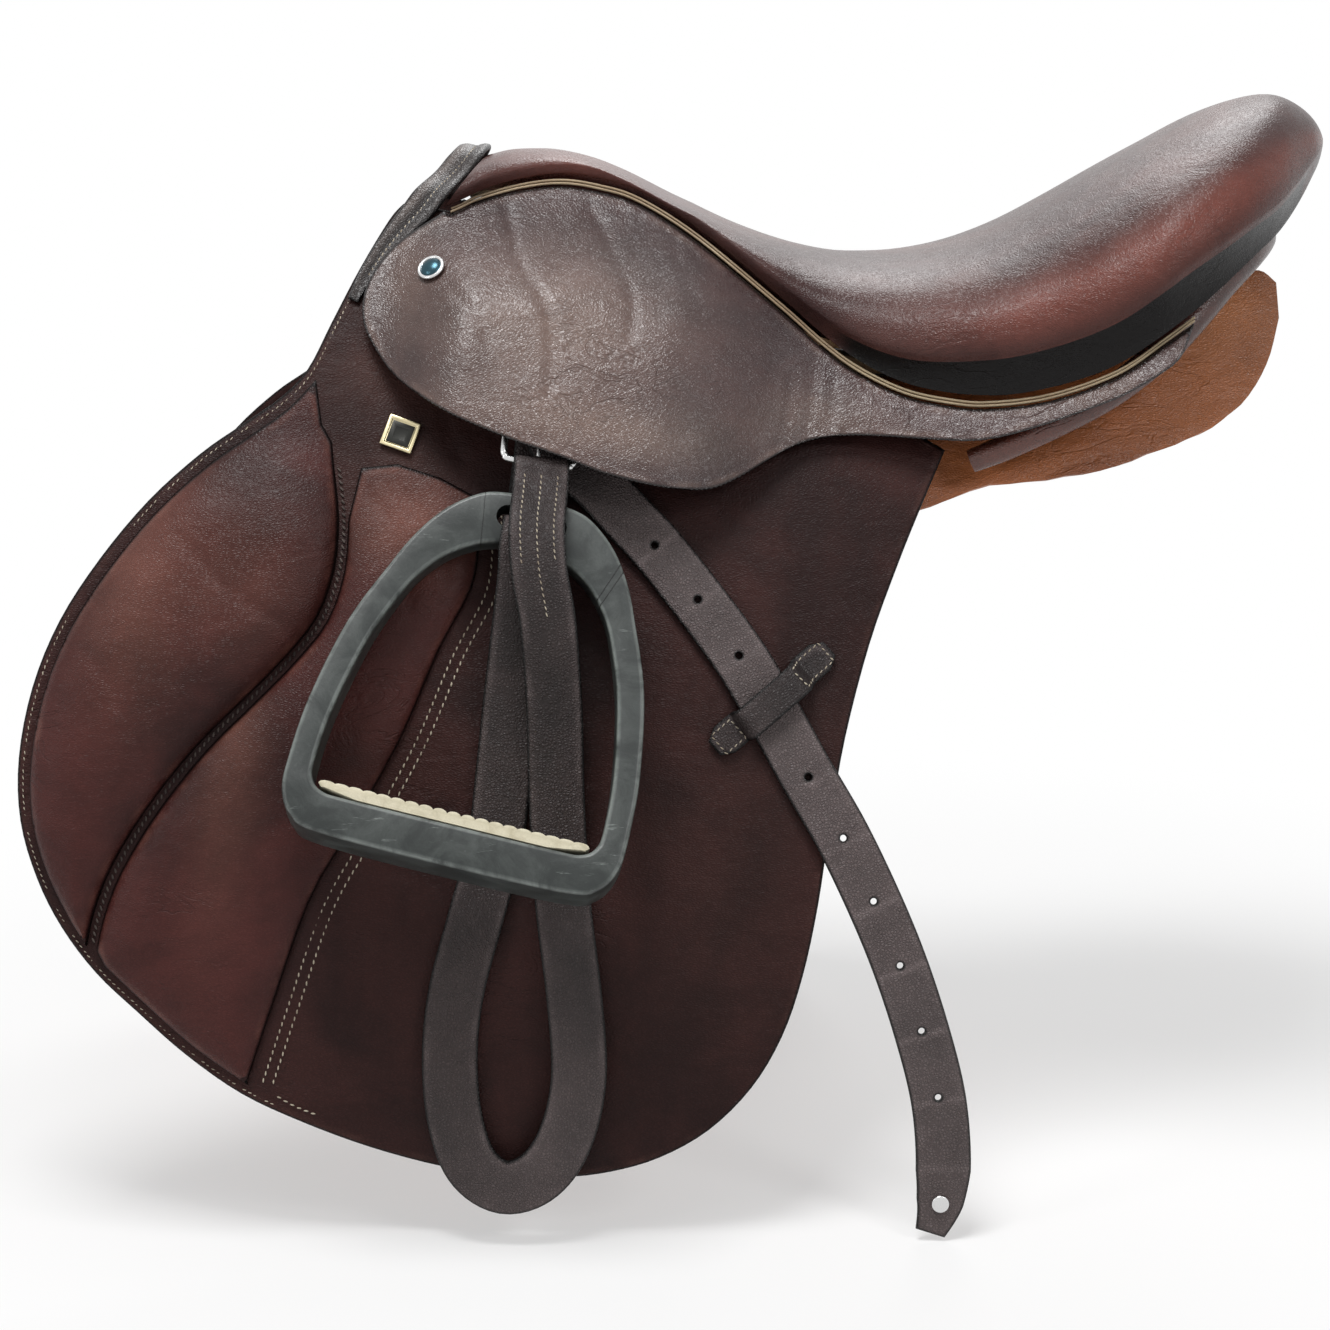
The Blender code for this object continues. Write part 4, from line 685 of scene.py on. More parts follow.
class Finish(Enum):
    """Every finish on the saddle."""

    # the seat's near-black edge colour is painted shade, put by its rim mark in the band under the
    # ridge
    SEAT = Leather("seat_hide", (0.034, 0.013, 0.012), (0.080, 0.033, 0.028), (0.155, 0.048, 0.036),
                   (0.004, 0.003, 0.003), rough=0.28, grain_mm=1.4, grain_depth=0.08,
                   wrinkle_depth=0.6, wrinkle_scale=60.0, crease_depth=0.12, gloss=0.19, scuffs=0.5)
    SKIRT = Leather("skirt_hide", (0.024, 0.011, 0.0115), (0.062, 0.031, 0.029),
                    (0.19, 0.125, 0.10), (0.006, 0.004, 0.004), rough=0.26, grain_mm=1.4,
                    grain_depth=0.09, wrinkle_depth=0.8, wrinkle_scale=62.0,
                    wrinkle_stretch=(1.0, 1.0, 1.8), crease_depth=0.25, crack_shade=0.18,
                    gloss=0.42, scuffs=0.35)
    BINDING = Leather("binding_hide", (0.009, 0.006, 0.006), (0.024, 0.017, 0.016),
                      (0.12, 0.090, 0.078), (0.003, 0.002, 0.002), rough=0.32, grain_mm=1.5,
                      grain_depth=0.14, wrinkle_depth=0.5, wrinkle_scale=110.0, gloss=0.36,
                      scuffs=0.4)
    FLAP = Leather("flap_hide", (0.0150, 0.0050, 0.0045), (0.0370, 0.0128, 0.0112),
                   (0.085, 0.040, 0.033), (0.002, 0.0012, 0.0012), rough=0.42, grain_mm=1.8,
                   grain_depth=0.12, wrinkle_depth=0.8, wrinkle_scale=50.0, crease_depth=0.18,
                   crack_shade=0.3, gloss=0.13, scuffs=0.4)
    PAD = Leather("pad_hide", (0.026, 0.0080, 0.0072), (0.067, 0.0190, 0.0165),
                  (0.19, 0.080, 0.060), (0.003, 0.0015, 0.0015), rough=0.34, grain_mm=1.7,
                  grain_depth=0.10, wrinkle_depth=0.8, wrinkle_scale=42.0, crease_depth=0.2,
                  crack_shade=0.2, gloss=0.15, scuffs=0.4)
    ROLL = Leather("facing_hide", (0.034, 0.011, 0.009), (0.085, 0.024, 0.016),
                   (0.18, 0.055, 0.035), (0.008, 0.004, 0.003), rough=0.26, grain_depth=0.08,
                   wrinkle_depth=0.6, gloss=0.6, scuffs=0.2)
    PANEL = Leather("panel_hide", (0.16, 0.042, 0.013), (0.42, 0.135, 0.042), (0.66, 0.26, 0.10),
                    (0.05, 0.017, 0.007), rough=0.34, grain_mm=1.7, grain_depth=0.10,
                    wrinkle_depth=1.2, wrinkle_scale=28.0, blotch_scale=9.0, crease_depth=0.2,
                    gloss=0.4, scuffs=0.3)
    STRAP = Leather("bridle_leather", (0.0125, 0.0080, 0.0078), (0.042, 0.029, 0.028),
                    (0.150, 0.118, 0.116), (0.002, 0.0015, 0.0015), rough=0.46, rough_spread=0.2,
                    grain_mm=1.3, grain_depth=0.26, wrinkle_depth=0.6, wrinkle_scale=180.0,
                    wrinkle_stretch=(1.0, 1.0, 1.0), crease_depth=0.15, crack_shade=0.5, gloss=0.30,
                    scuffs=0.7)
    WELT = Leather("welt_cord", (0.26, 0.18, 0.11), (0.42, 0.33, 0.21), (0.66, 0.57, 0.40),
                   (0.16, 0.10, 0.06), rough=0.42, grain_depth=0.05, wrinkle_depth=0.1,
                   crease_depth=0.05, gloss=0.4)
    STEEL = Metal("bright_steel", (0.66, 0.66, 0.66), 0.20)
    DULL_STEEL = Metal("dull_steel", (0.36, 0.36, 0.36), 0.38)
    BRASS = Metal("pale_brass", (0.62, 0.54, 0.34), 0.28, (0.10, 0.08, 0.05), 0.7)
    ENAMEL = Metal("dark_enamel", (0.030, 0.030, 0.028), 0.35, (0.05, 0.04, 0.03), 0.5)
    BLUED = Metal("blued_steel", (0.035, 0.075, 0.095), 0.22, (0.02, 0.03, 0.04), 0.5)
    COMPOSITE = Composite("moulded_composite")
    SEAM_BLACK = Composite("joint_rubber", (0.006, 0.006, 0.006), (0.02, 0.02, 0.02))
    TREAD = Rubber("cream_rubber")
    THREAD = Yarn("pale_thread", (0.50, 0.44, 0.34), (0.24, 0.19, 0.14))
    DARK_THREAD = Yarn("dark_thread", (0.085, 0.065, 0.055), (0.030, 0.020, 0.018))
    WEB = Yarn("woven_web", (0.50, 0.45, 0.35), (0.36, 0.31, 0.23), True)
    WOOD = Wood("laminated_beech")

    @property
    def material(self) -> bpy.types.Material:
        """The finish's material, made once."""
        return bpy.data.materials.get(self.value.name) or self.value.make()


class Slot(Enum):
    """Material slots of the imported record."""

    WOOD = "tree_wood"
    PLATE = "plate_steel"
    BAR = "bar_steel"
    STEEL = "polished_steel"
    WEB = "web"
    SEAT = "seat_leather"
    FLAP = "flap_leather"
    PAD = "pad_leather"
    ROLL = "roll_leather"
    PANEL = "panel_leather"
    STRAP = "strap_leather"
    WELT = "welt_leather"
    COMPOSITE = "composite"
    TREAD = "tread_rubber"


# factors that bring a near place to the off side, and to either side in turn
OFF_SIDE = np.array([1.0, -1.0, 1.0])
SIDES = (np.ones(3), OFF_SIDE)


@dataclass
class Form:
    """A closed shape in millimetres, with numbers painted on its points."""

    points: Array
    faces: list
    marks: dict = field(default_factory=dict)

    def mirrored(self) -> "Form":
        """The same shape on the off side."""
        return Form(self.points * OFF_SIDE, self.faces, self.marks)

    @staticmethod
    def joined(forms: Sequence["Form"]) -> "Form":
        """Several shapes as one."""
        faces, start = [], 0
        for form in forms:
            faces += [[i + start for i in face] for face in form.faces]
            start += len(form.points)
        return Form(np.vstack([form.points for form in forms]), faces)

    def build(self, name: str, finish: Finish, angle: float = 50.0) -> bpy.types.Object:
        """Put the shape in the scene.

        Args:
            name: The object's name.
            finish: What it is made of.
            angle: Edges sharper than this, in degrees, stay sharp.

        Returns:
            The object, its place in its mesh.
        """
        mesh = bpy.data.meshes.new(name)
        mesh.from_pydata((self.points * MM).tolist(), [], self.faces)
        for key, values in self.marks.items():
            layer = mesh.attributes.new(key, "FLOAT", "POINT")
            layer.data.foreach_set("value", np.asarray(values, np.float32))
        bm = bmesh.new()
        bm.from_mesh(mesh)
        bmesh.ops.remove_doubles(bm, verts=bm.verts, dist=1e-6)
        bmesh.ops.recalc_face_normals(bm, faces=bm.faces)
        bm.to_mesh(mesh)
        bm.free()
        mesh.shade_smooth()
        mesh.set_sharp_from_angle(angle=math.radians(angle))
        mesh.materials.append(finish.material)
        made = bpy.data.objects.new(name, mesh)
        bpy.context.scene.collection.objects.link(made)
        return made


@dataclass
class Piece:
    """One object, or a near and an off object, and where it rides."""

    objects: list
    sided: bool

    @staticmethod
    def pair(name: str, form: Form, finish: Finish, angle: float = 50.0) -> "Piece":
        """Build a shape on the near side and its mirror image on the off side."""
        return Piece.two(name, form, form, finish, angle)

    @staticmethod
    def two(name: str, near: Form, off: Form, finish: Finish, angle: float = 50.0) -> "Piece":
        """Build a shape for each side, both drawn on the near side."""
        return Piece([near.build(name + "_near", finish, angle),
                      off.mirrored().build(name + "_off", finish, angle)], True)

    @staticmethod
    def single(name: str, form: Form, finish: Finish, angle: float = 50.0) -> "Piece":
        """Build a shape that belongs to both sides."""
        return Piece([form.build(name, finish, angle)], False)

    def _sides(self) -> list:
        """The ends of the names, in the objects' order."""
        return ["_near", "_off"] if self.sided else [""]

    def _finish(self, nodes: Sequence[str]) -> None:
        """Hide the CAD nodes that the objects stand for."""
        for made, side in zip(self.objects, self._sides()):
            if nodes:
                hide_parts(*(node + side for node in nodes))

    def ride(self, body: str, slot: Slot, *nodes: str) -> "Piece":
        """Fix the objects to a body.

        Args:
            body: The body's name; other than the saddle's it gets the side's ending.
            slot: The record's material slot; not used.
            *nodes: CAD nodes that the objects stand for.

        Returns:
            The piece itself.
        """
        for made, side in zip(self.objects, self._sides()):
            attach(made, body if body == "saddle" else body + side)
        self._finish(nodes)
        return self

    def bend(self, upper: str, lower: str, start: float, end: float, slot: Slot,
             *nodes: str) -> "Piece":
        """Bake the objects' place into their meshes and hide the CAD nodes that they stand for; they
        ride no body and do not bend.
        """
        for made, side in zip(self.objects, self._sides()):
            first, last = (FLANK.straight(60.0, level, 115.0)[0] * MM for level in (start, end))
            if side == "_off":
                first, last = first * OFF_SIDE, last * OFF_SIDE
            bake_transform(made)
        self._finish(nodes)
        return self

    def padded(self, fill: float) -> "Piece":
        return self


class Bench:
    """Small hardware, turned and pressed from primitives."""

    sharp: float = math.radians(40.0)

    @classmethod
    def settle(cls, made: bpy.types.Object, finish: Finish) -> bpy.types.Object:
        """Apply the modifiers and the place, and give the finish.

        Args:
            made: The object, active and selected.
            finish: What it is made of.

        Returns:
            The same object, its place in its mesh.
        """
        for modifier in list(made.modifiers):
            bpy.ops.object.modifier_apply(modifier=modifier.name)
        bpy.ops.object.transform_apply(location=True, rotation=True, scale=True)
        made.data.materials.clear()
        made.data.materials.append(finish.material)
        made.data.shade_smooth()
        made.data.set_sharp_from_angle(angle=cls.sharp)
        return made

    @staticmethod
    def added(name: str, add: Callable, **how: object) -> bpy.types.Object:
        """Add a primitive and leave it alone in the selection."""
        bpy.ops.object.select_all(action="DESELECT")
        add(**how)
        made = bpy.context.object
        made.name = name
        return made

    @classmethod
    def bevelled(cls, made: bpy.types.Object, width: float) -> None:
        """Round an object's sharp edges."""
        edge = made.modifiers.new("edge", "BEVEL")
        edge.width, edge.segments, edge.limit_method = width * MM, 3, "ANGLE"
        edge.angle_limit = cls.sharp

    @staticmethod
    def facing(axis: Array) -> tuple:
        """Turn that brings +Z to an axis."""
        return Vector(axis).to_track_quat("Z", "Y").to_euler()

    @classmethod
    def disc(cls, name: str, base: Array, axis: Array, radius: float, height: float, edge: float,
             finish: Finish) -> bpy.types.Object:
        """Flat round head with a rounded rim.

        Args:
            name: The object's name.
            base: Middle of its underside.
            axis: Direction that it faces.
            radius: Its radius.
            height: Its height.
            edge: The rim's rounding.
            finish: What it is made of.

        Returns:
            The object.
        """
        made = cls.added(name, bpy.ops.mesh.primitive_cylinder_add, vertices=36, radius=radius * MM,
                         depth=height * MM, location=(base + axis * 0.5 * height) * MM,
                         rotation=cls.facing(axis))
        cls.bevelled(made, edge)
        return cls.settle(made, finish)

    @classmethod
    def ring(cls, name: str, base: Array, axis: Array, radius: float, wire: float,
             finish: Finish) -> bpy.types.Object:
        """Round ring of round wire lying on a base."""
        made = cls.added(name, bpy.ops.mesh.primitive_torus_add, major_radius=radius * MM,
                         minor_radius=wire * MM, major_segments=44, minor_segments=12,
                         location=(base + axis * wire) * MM, rotation=cls.facing(axis))
        return cls.settle(made, finish)

    @classmethod
    def dome(cls, name: str, base: Array, axis: Array, radius: float, height: float,
             finish: Finish) -> bpy.types.Object:
        """Dome, cut flat on its base."""
        made = cls.added(name, bpy.ops.mesh.primitive_uv_sphere_add, segments=40, ring_count=20,
                         radius=radius * MM)
        bpy.ops.object.mode_set(mode="EDIT")
        bpy.ops.mesh.select_all(action="SELECT")
        bpy.ops.mesh.bisect(plane_co=(0.0, 0.0, 0.0), plane_no=(0.0, 0.0, 1.0), use_fill=True,
                            clear_inner=True)
        bpy.ops.object.mode_set(mode="OBJECT")
        made.scale = (1.0, 1.0, height / radius)
        made.rotation_euler = cls.facing(axis)
        made.location = Vector(base) * MM
        return cls.settle(made, finish)

    @classmethod
    def plate(cls, name: str, base: Array, axis: Array, side: Array, half: float, height: float,
              border: float, sunk: float, finish: Finish) -> bpy.types.Object:
        """Square plate with rounded corners and a sunk middle.

        Args:
            name: The object's name.
            base: Middle of its underside.
            axis: Direction that it faces.
            side: Direction of one side.
            half: Half its side.
            height: Its height.
            border: Width of the raised border.
            sunk: How deep the middle lies below the border.
            finish: What it is made of.

        Returns:
            The object.
        """
        made = cls.added(name, bpy.ops.mesh.primitive_cube_add, size=1.0)
        made.scale = (2.0 * half * MM, 2.0 * half * MM, height * MM)
        bpy.ops.object.transform_apply(location=False, rotation=False, scale=True)
        bpy.ops.object.mode_set(mode="EDIT")
        bm = bmesh.from_edit_mesh(made.data)
        for face in bm.faces:
            face.select_set(face.normal.z > 0.9)
        bmesh.update_edit_mesh(made.data)
        bpy.ops.mesh.inset(thickness=border * MM, depth=0.0)
        bpy.ops.mesh.inset(thickness=0.5 * sunk * MM, depth=-sunk * MM)
        bpy.ops.object.mode_set(mode="OBJECT")
        cls.bevelled(made, 0.3 * height)
        made.rotation_euler = Matrix((side, np.cross(axis, side), axis)).transposed().to_euler()
        made.location = Vector(base + axis * 0.5 * height) * MM
        return cls.settle(made, finish)

    @staticmethod
    def named(name: str, pair: Sequence[bpy.types.Object]) -> list:
        """Name a near and an off object."""
        for made, side in zip(pair, ("_near", "_off")):
            made.name = name + side
            made.data.name = made.name
        return list(pair)


def loft(rings: Sequence[Array], closed: bool = False) -> Form:
    """Join rings of equal point count into one closed shape."""
    size, count = len(rings[0]), len(rings)
    faces = []
    for k in range(count if closed else count - 1):
        after = (k + 1) % count
        for j in range(size):
            beside = (j + 1) % size
            faces.append([size * k + j, size * k + beside, size * after + beside, size * after + j])
    if not closed:
        faces.append(list(range(size))[::-1])
        faces.append([size * (count - 1) + j for j in range(size)])
    return Form(np.vstack(rings), faces)


def tube(points: Array, radii: Union[float, Array], sides: int = 12, closed: bool = False) -> Form:
    """Round bar along points, with its ends rounded off by the radii."""
    radii = np.broadcast_to(np.asarray(radii, float), (len(points),))
    way = unit(np.roll(points, -1, axis=0) - np.roll(points, 1, axis=0)) if closed else heading(points)
    guide = np.array([0.0, 0.0, 1.0])
    rings = []
    for here, tangent, size in zip(points, way, radii):
        if abs(tangent @ guide) > 0.95:
            guide = np.array([1.0, 0.0, 0.0])
        side = guide - tangent * (guide @ tangent)
        side /= np.linalg.norm(side)
        guide = side
        up = np.cross(tangent, side)
        turn = 2.0 * np.pi * np.arange(sides) / sides
        rings.append(here + (np.cos(turn)[:, None] * side + np.sin(turn)[:, None] * up) * size)
    return loft(rings, closed)


class Pattern:
    """A flat leather pattern, cut to an outline in (s, d) or (across, along)."""

    def __init__(self, outline: Array, grid: float, edge: float = 1.5, cuts: Sequence[tuple] = (),
                 holes: Sequence[tuple] = ()) -> None:
        """Lay out the pattern.

        Args:
            outline: Closed ring of places.
            grid: Spacing of the inner points.
            edge: How far in the edge's rounding reaches.
            cuts: (axis, level, keep) where keep is -1 below the level and 1 above it.
            holes: (place, place, radius) of punched holes.
        """
        self.grid, self.edge, self.cuts = grid, edge, cuts
        ring = np.array(outline, float)
        for axis, level, keep in cuts:
            ring = self._clipped(ring, axis, level, keep)
        self.ring = self._evened(ring)
        self.loops = [self.ring]
        for a, b, radius in holes:
            turn = 2.0 * np.pi * np.arange(14) / 14
            self.loops.append(np.column_stack([a + radius * np.cos(turn), b + radius * np.sin(turn)]))

    @staticmethod
    def _clipped(ring: Array, axis: int, level: float, keep: int) -> Array:
        """Keep the ring's part on one side of a level."""
        result = []
        for a, b in zip(ring, np.roll(ring, -1, axis=0)):
            in_a, in_b = (keep * (p[axis] - level) >= 0 for p in (a, b))
            if in_a:
                result.append(a)
            if in_a != in_b:
                share = (level - a[axis]) / (b[axis] - a[axis])
                crossing = a + (b - a) * share
                crossing[axis] = level
                result.append(crossing)
        return np.array(result)

    def _on_cut(self, a: Array, b: Array) -> Optional[int]:
        """The axis of the cut that a segment lies on, if any."""
        for axis, level, _ in self.cuts:
            if abs(a[axis] - level) < 1e-6 and abs(b[axis] - level) < 1e-6:
                return axis
        return None

    def _evened(self, ring: Array) -> Array:
        """Give the ring points no further apart than the grid."""
        result = []
        for a, b in zip(ring, np.roll(ring, -1, axis=0)):
            length = float(np.hypot(*(b - a)))
            if length < 1e-6:
                continue
            axis = self._on_cut(a, b)
            if axis is None:
                steps = max(1, int(math.ceil(length / self.grid)))
                result += [a + (b - a) * k / steps for k in range(steps)]
                continue
            other = 1 - axis
            low, high = sorted((a[other], b[other]))
            first, last = math.ceil(low / self.grid + 0.25), math.floor(high / self.grid - 0.25)
            stops = np.arange(first, last + 1) * self.grid
            stops = stops if a[other] < b[other] else stops[::-1]
            result.append(a)
            for stop in stops:
                point = a.copy()
                point[other] = stop
                result.append(point)
        return np.array(result)

    def _segments(self) -> tuple[Array, Array, Array, Array]:
        """Ends of the natural edges, then of the cut ones."""
        kept, cut = [], []
        for loop in self.loops:
            for a, b in zip(loop, np.roll(loop, -1, axis=0)):
                (cut if self._on_cut(a, b) is not None else kept).append((a, b))
        kept = np.array(kept)
        cut = np.array(cut) if cut else np.zeros((0, 2, 2))
        return kept[:, 0], kept[:, 1], cut[:, 0], cut[:, 1]

    def within(self, places: Array) -> Array:
        """Say which places are leather."""
        result = inside(places, self.ring)
        for hole in self.loops[1:]:
            result &= ~inside(places, hole)
        return result

    def net(self) -> tuple[Array, list, list, Array]:
        """Mesh the flat pattern.

        Returns:
            Places, triangles, edge pairs and distances from the natural edge.
        """
        a, b, c, e = self._segments()
        way, middle = unit(b - a), 0.5 * (a + b)
        extra = []
        for reach in (0.4 * self.edge, self.edge):
            for sign in (1, -1):
                moved = middle + np.column_stack([way[:, 1], -way[:, 0]]) * reach * sign
                moved = moved[self.within(moved)]
                near = distance_to(moved, a, b) > 0.92 * reach
                if len(c):
                    near &= distance_to(moved, c, e) > 0.35
                extra.append(moved[near])
        low, high = self.ring.min(0), self.ring.max(0)
        rows = np.arange(math.floor(low[1] / self.grid), math.ceil(high[1] / self.grid) + 1)
        columns = np.arange(math.floor(low[0] / self.grid) - 1, math.ceil(high[0] / self.grid) + 1)
        net = np.array([((column + 0.5 * (row % 2)) * self.grid, row * self.grid)
                        for row in rows for column in columns])
        net = net[self.within(net)]
        clear = distance_to(net, a, b) > self.edge + 0.45 * self.grid
        if len(c):
            clear &= distance_to(net, c, e) > 0.45 * self.grid
        extra.append(net[clear])
        pinned, edges = [], []
        for loop in self.loops:
            start = len(pinned)
            pinned += loop.tolist()
            edges += [(start + k, start + (k + 1) % len(loop)) for k in range(len(loop))]
        every = pinned + np.vstack(extra).tolist()
        found = delaunay_2d_cdt([Vector(p) for p in every], edges, [], 0, 1e-5)
        places = np.array([tuple(p) for p in found[0]])
        faces = np.array([face for face in found[2] if len(face) == 3])
        faces = faces[self.within(places[faces].mean(axis=1))]
        seen = {}
        for face in faces:
            for i, j in ((0, 1), (1, 2), (2, 0)):
                key = (min(face[i], face[j]), max(face[i], face[j]))
                seen[key] = None if key in seen else (face[i], face[j])
        border = [pair for pair in seen.values() if pair is not None]
        return places, faces, border, distance_to(places, a, b)

    def form(self, at: Surface, low: Level, high: Level,
             wear: Union[float, Callable[[Array, Array], Array]] = 0.0) -> Form:
        """Raise the pattern into leather of two faces.

        Args:
            at: Turns places and a height into points.
            low: Height of the inner face, from places and edge distance.
            high: Height of the outer face.
            wear: Rubbing from 0 to 1, everywhere or by place.

        Returns:
            The closed shape, with rim and wear painted on it.
        """
        places, faces, border, reach = self.net()
        s, d = places[:, 0], places[:, 1]
        share = np.clip(reach / self.edge, 0.0, 1.0)
        full = 0.42 + 0.58 * np.sqrt(1.0 - (1.0 - share) ** 2)
        bottom, top = (np.broadcast_to(level(s, d, reach), s.shape) for level in (low, high))
        middle, half = 0.5 * (top + bottom), 0.5 * (top - bottom)
        points = np.vstack([at(s, d, middle + half * full), at(s, d, middle - half * full)])
        count = len(places)
        solid = faces.tolist() + (faces[:, ::-1] + count).tolist()
        solid += [[a, b, b + count, a + count] for a, b in border]
        rim = np.clip(reach / 12.0, 0.0, 1.0)
        rubbed = wear(s, d) if callable(wear) else np.full(s.shape, wear)
        marks = {"rim": np.tile(rim, 2), "wear": np.concatenate([rubbed, 0 * rubbed])}
        return Form(points, solid, marks)


def blobs(spots: Rows) -> Callable[[Array, Array], Array]:
    """Soft patches of rubbing: rows of s, d, half length, half depth and strength."""

    def amount(s: Array, d: Array) -> Array:
        """Sum of the patches at places."""
        total = np.zeros_like(s)
        for cs, cd, rs, rd, strength in spots:
            total += strength * np.exp(-((s - cs) / rs) ** 2 - ((d - cd) / rd) ** 2)
        return np.clip(total, 0.0, 1.0)

    return amount


def furrow(s: Array, d: Array, path: Rows, width: float, depth: float, sign: float = -1.0) -> Array:
    """Height of a soft crease along a path."""
    line = spline(path, 4)
    gap = distance_to(np.column_stack([s, d]), line[:-1], line[1:])
    return sign * depth * bell(gap, 0.0, width)


class Stitching:
    """Rows of thread, each stitch a small slanted capsule."""

    def __init__(self) -> None:
        """Model one stitch."""
        made = Bench.added("stitch", bpy.ops.mesh.primitive_uv_sphere_add, segments=6, ring_count=5,
                           radius=1.0)
        self.points = np.array([tuple(v.co) for v in made.data.vertices])
        self.faces = [list(f.vertices) for f in made.data.polygons]
        bpy.data.objects.remove(made, do_unlink=True)

    def row(self, points: Array, normals: Array, pitch: float = 3.2, length: float = 2.3,
            radius: float = 0.42, slant: float = 14.0) -> Form:
        """Sew along a path.

        Args:
            points: The path on the leather's face.
            normals: The face's normals there.
            pitch: Distance from stitch to stitch.
            length: Length of a stitch.
            radius: Half the thread's thickness.
            slant: Turn of each stitch from the path, in degrees.

        Returns:
            All the stitches as one shape.
        """
        arc = lengths(points)
        stops = np.arange(0.5 * pitch, arc[-1], pitch)
        place, up = along(points, arc, stops), unit(along(normals, arc, stops))
        way = unit(along(points, arc, stops + 0.5) - along(points, arc, stops - 0.5))
        side = np.cross(up, way)
        turn = math.radians(slant)
        forms = []
        for here, w, n, t in zip(place, way, up, side):
            a = w * math.cos(turn) + t * math.sin(turn)
            b = np.cross(n, a)
            local = (self.points[:, :1] * radius * b + self.points[:, 1:2] * radius * 0.8 * n
                     + self.points[:, 2:3] * 0.5 * length * a)
            forms.append(Form(here + n * 0.12 + local, self.faces))
        return Form.joined(forms)

    def sewn(self, at: Surface, path: Array, height: float, **how: float) -> Form:
        """Sew along places on a surface at a height."""
        s, d = path[:, 0], path[:, 1]
        n = np.full(len(path), height)
        return self.row(at(s, d, n), Flank.normal(at, s, d, n), **how)

    def on_strap(self, route: Route, path: Array, half_thick: float) -> Form:
        """Sew along places on the face of a strap that looks away from the horse."""
        face = half_thick if route.up[0][1] < 0 else -half_thick
        here, above = (route.point(path[:, 0], path[:, 1], face * share) for share in (1.0, 1.5))
        return self.row(here, unit(above - here), pitch=2.9, length=2.0, radius=0.34)


STITCHING = Stitching()


WELT_LINE = [
    (-196, 138), (-186, 142), (-177, 146), (-158, 151), (-139, 153), (-121, 150.5), (-102, 144.5),
    (-74, 127.5), (-37, 98), (-16, 80), (0, 69), (20, 60), (40, 56), (58, 55), (86, 59),
    (115, 70), (136, 84), (150, 94),
]


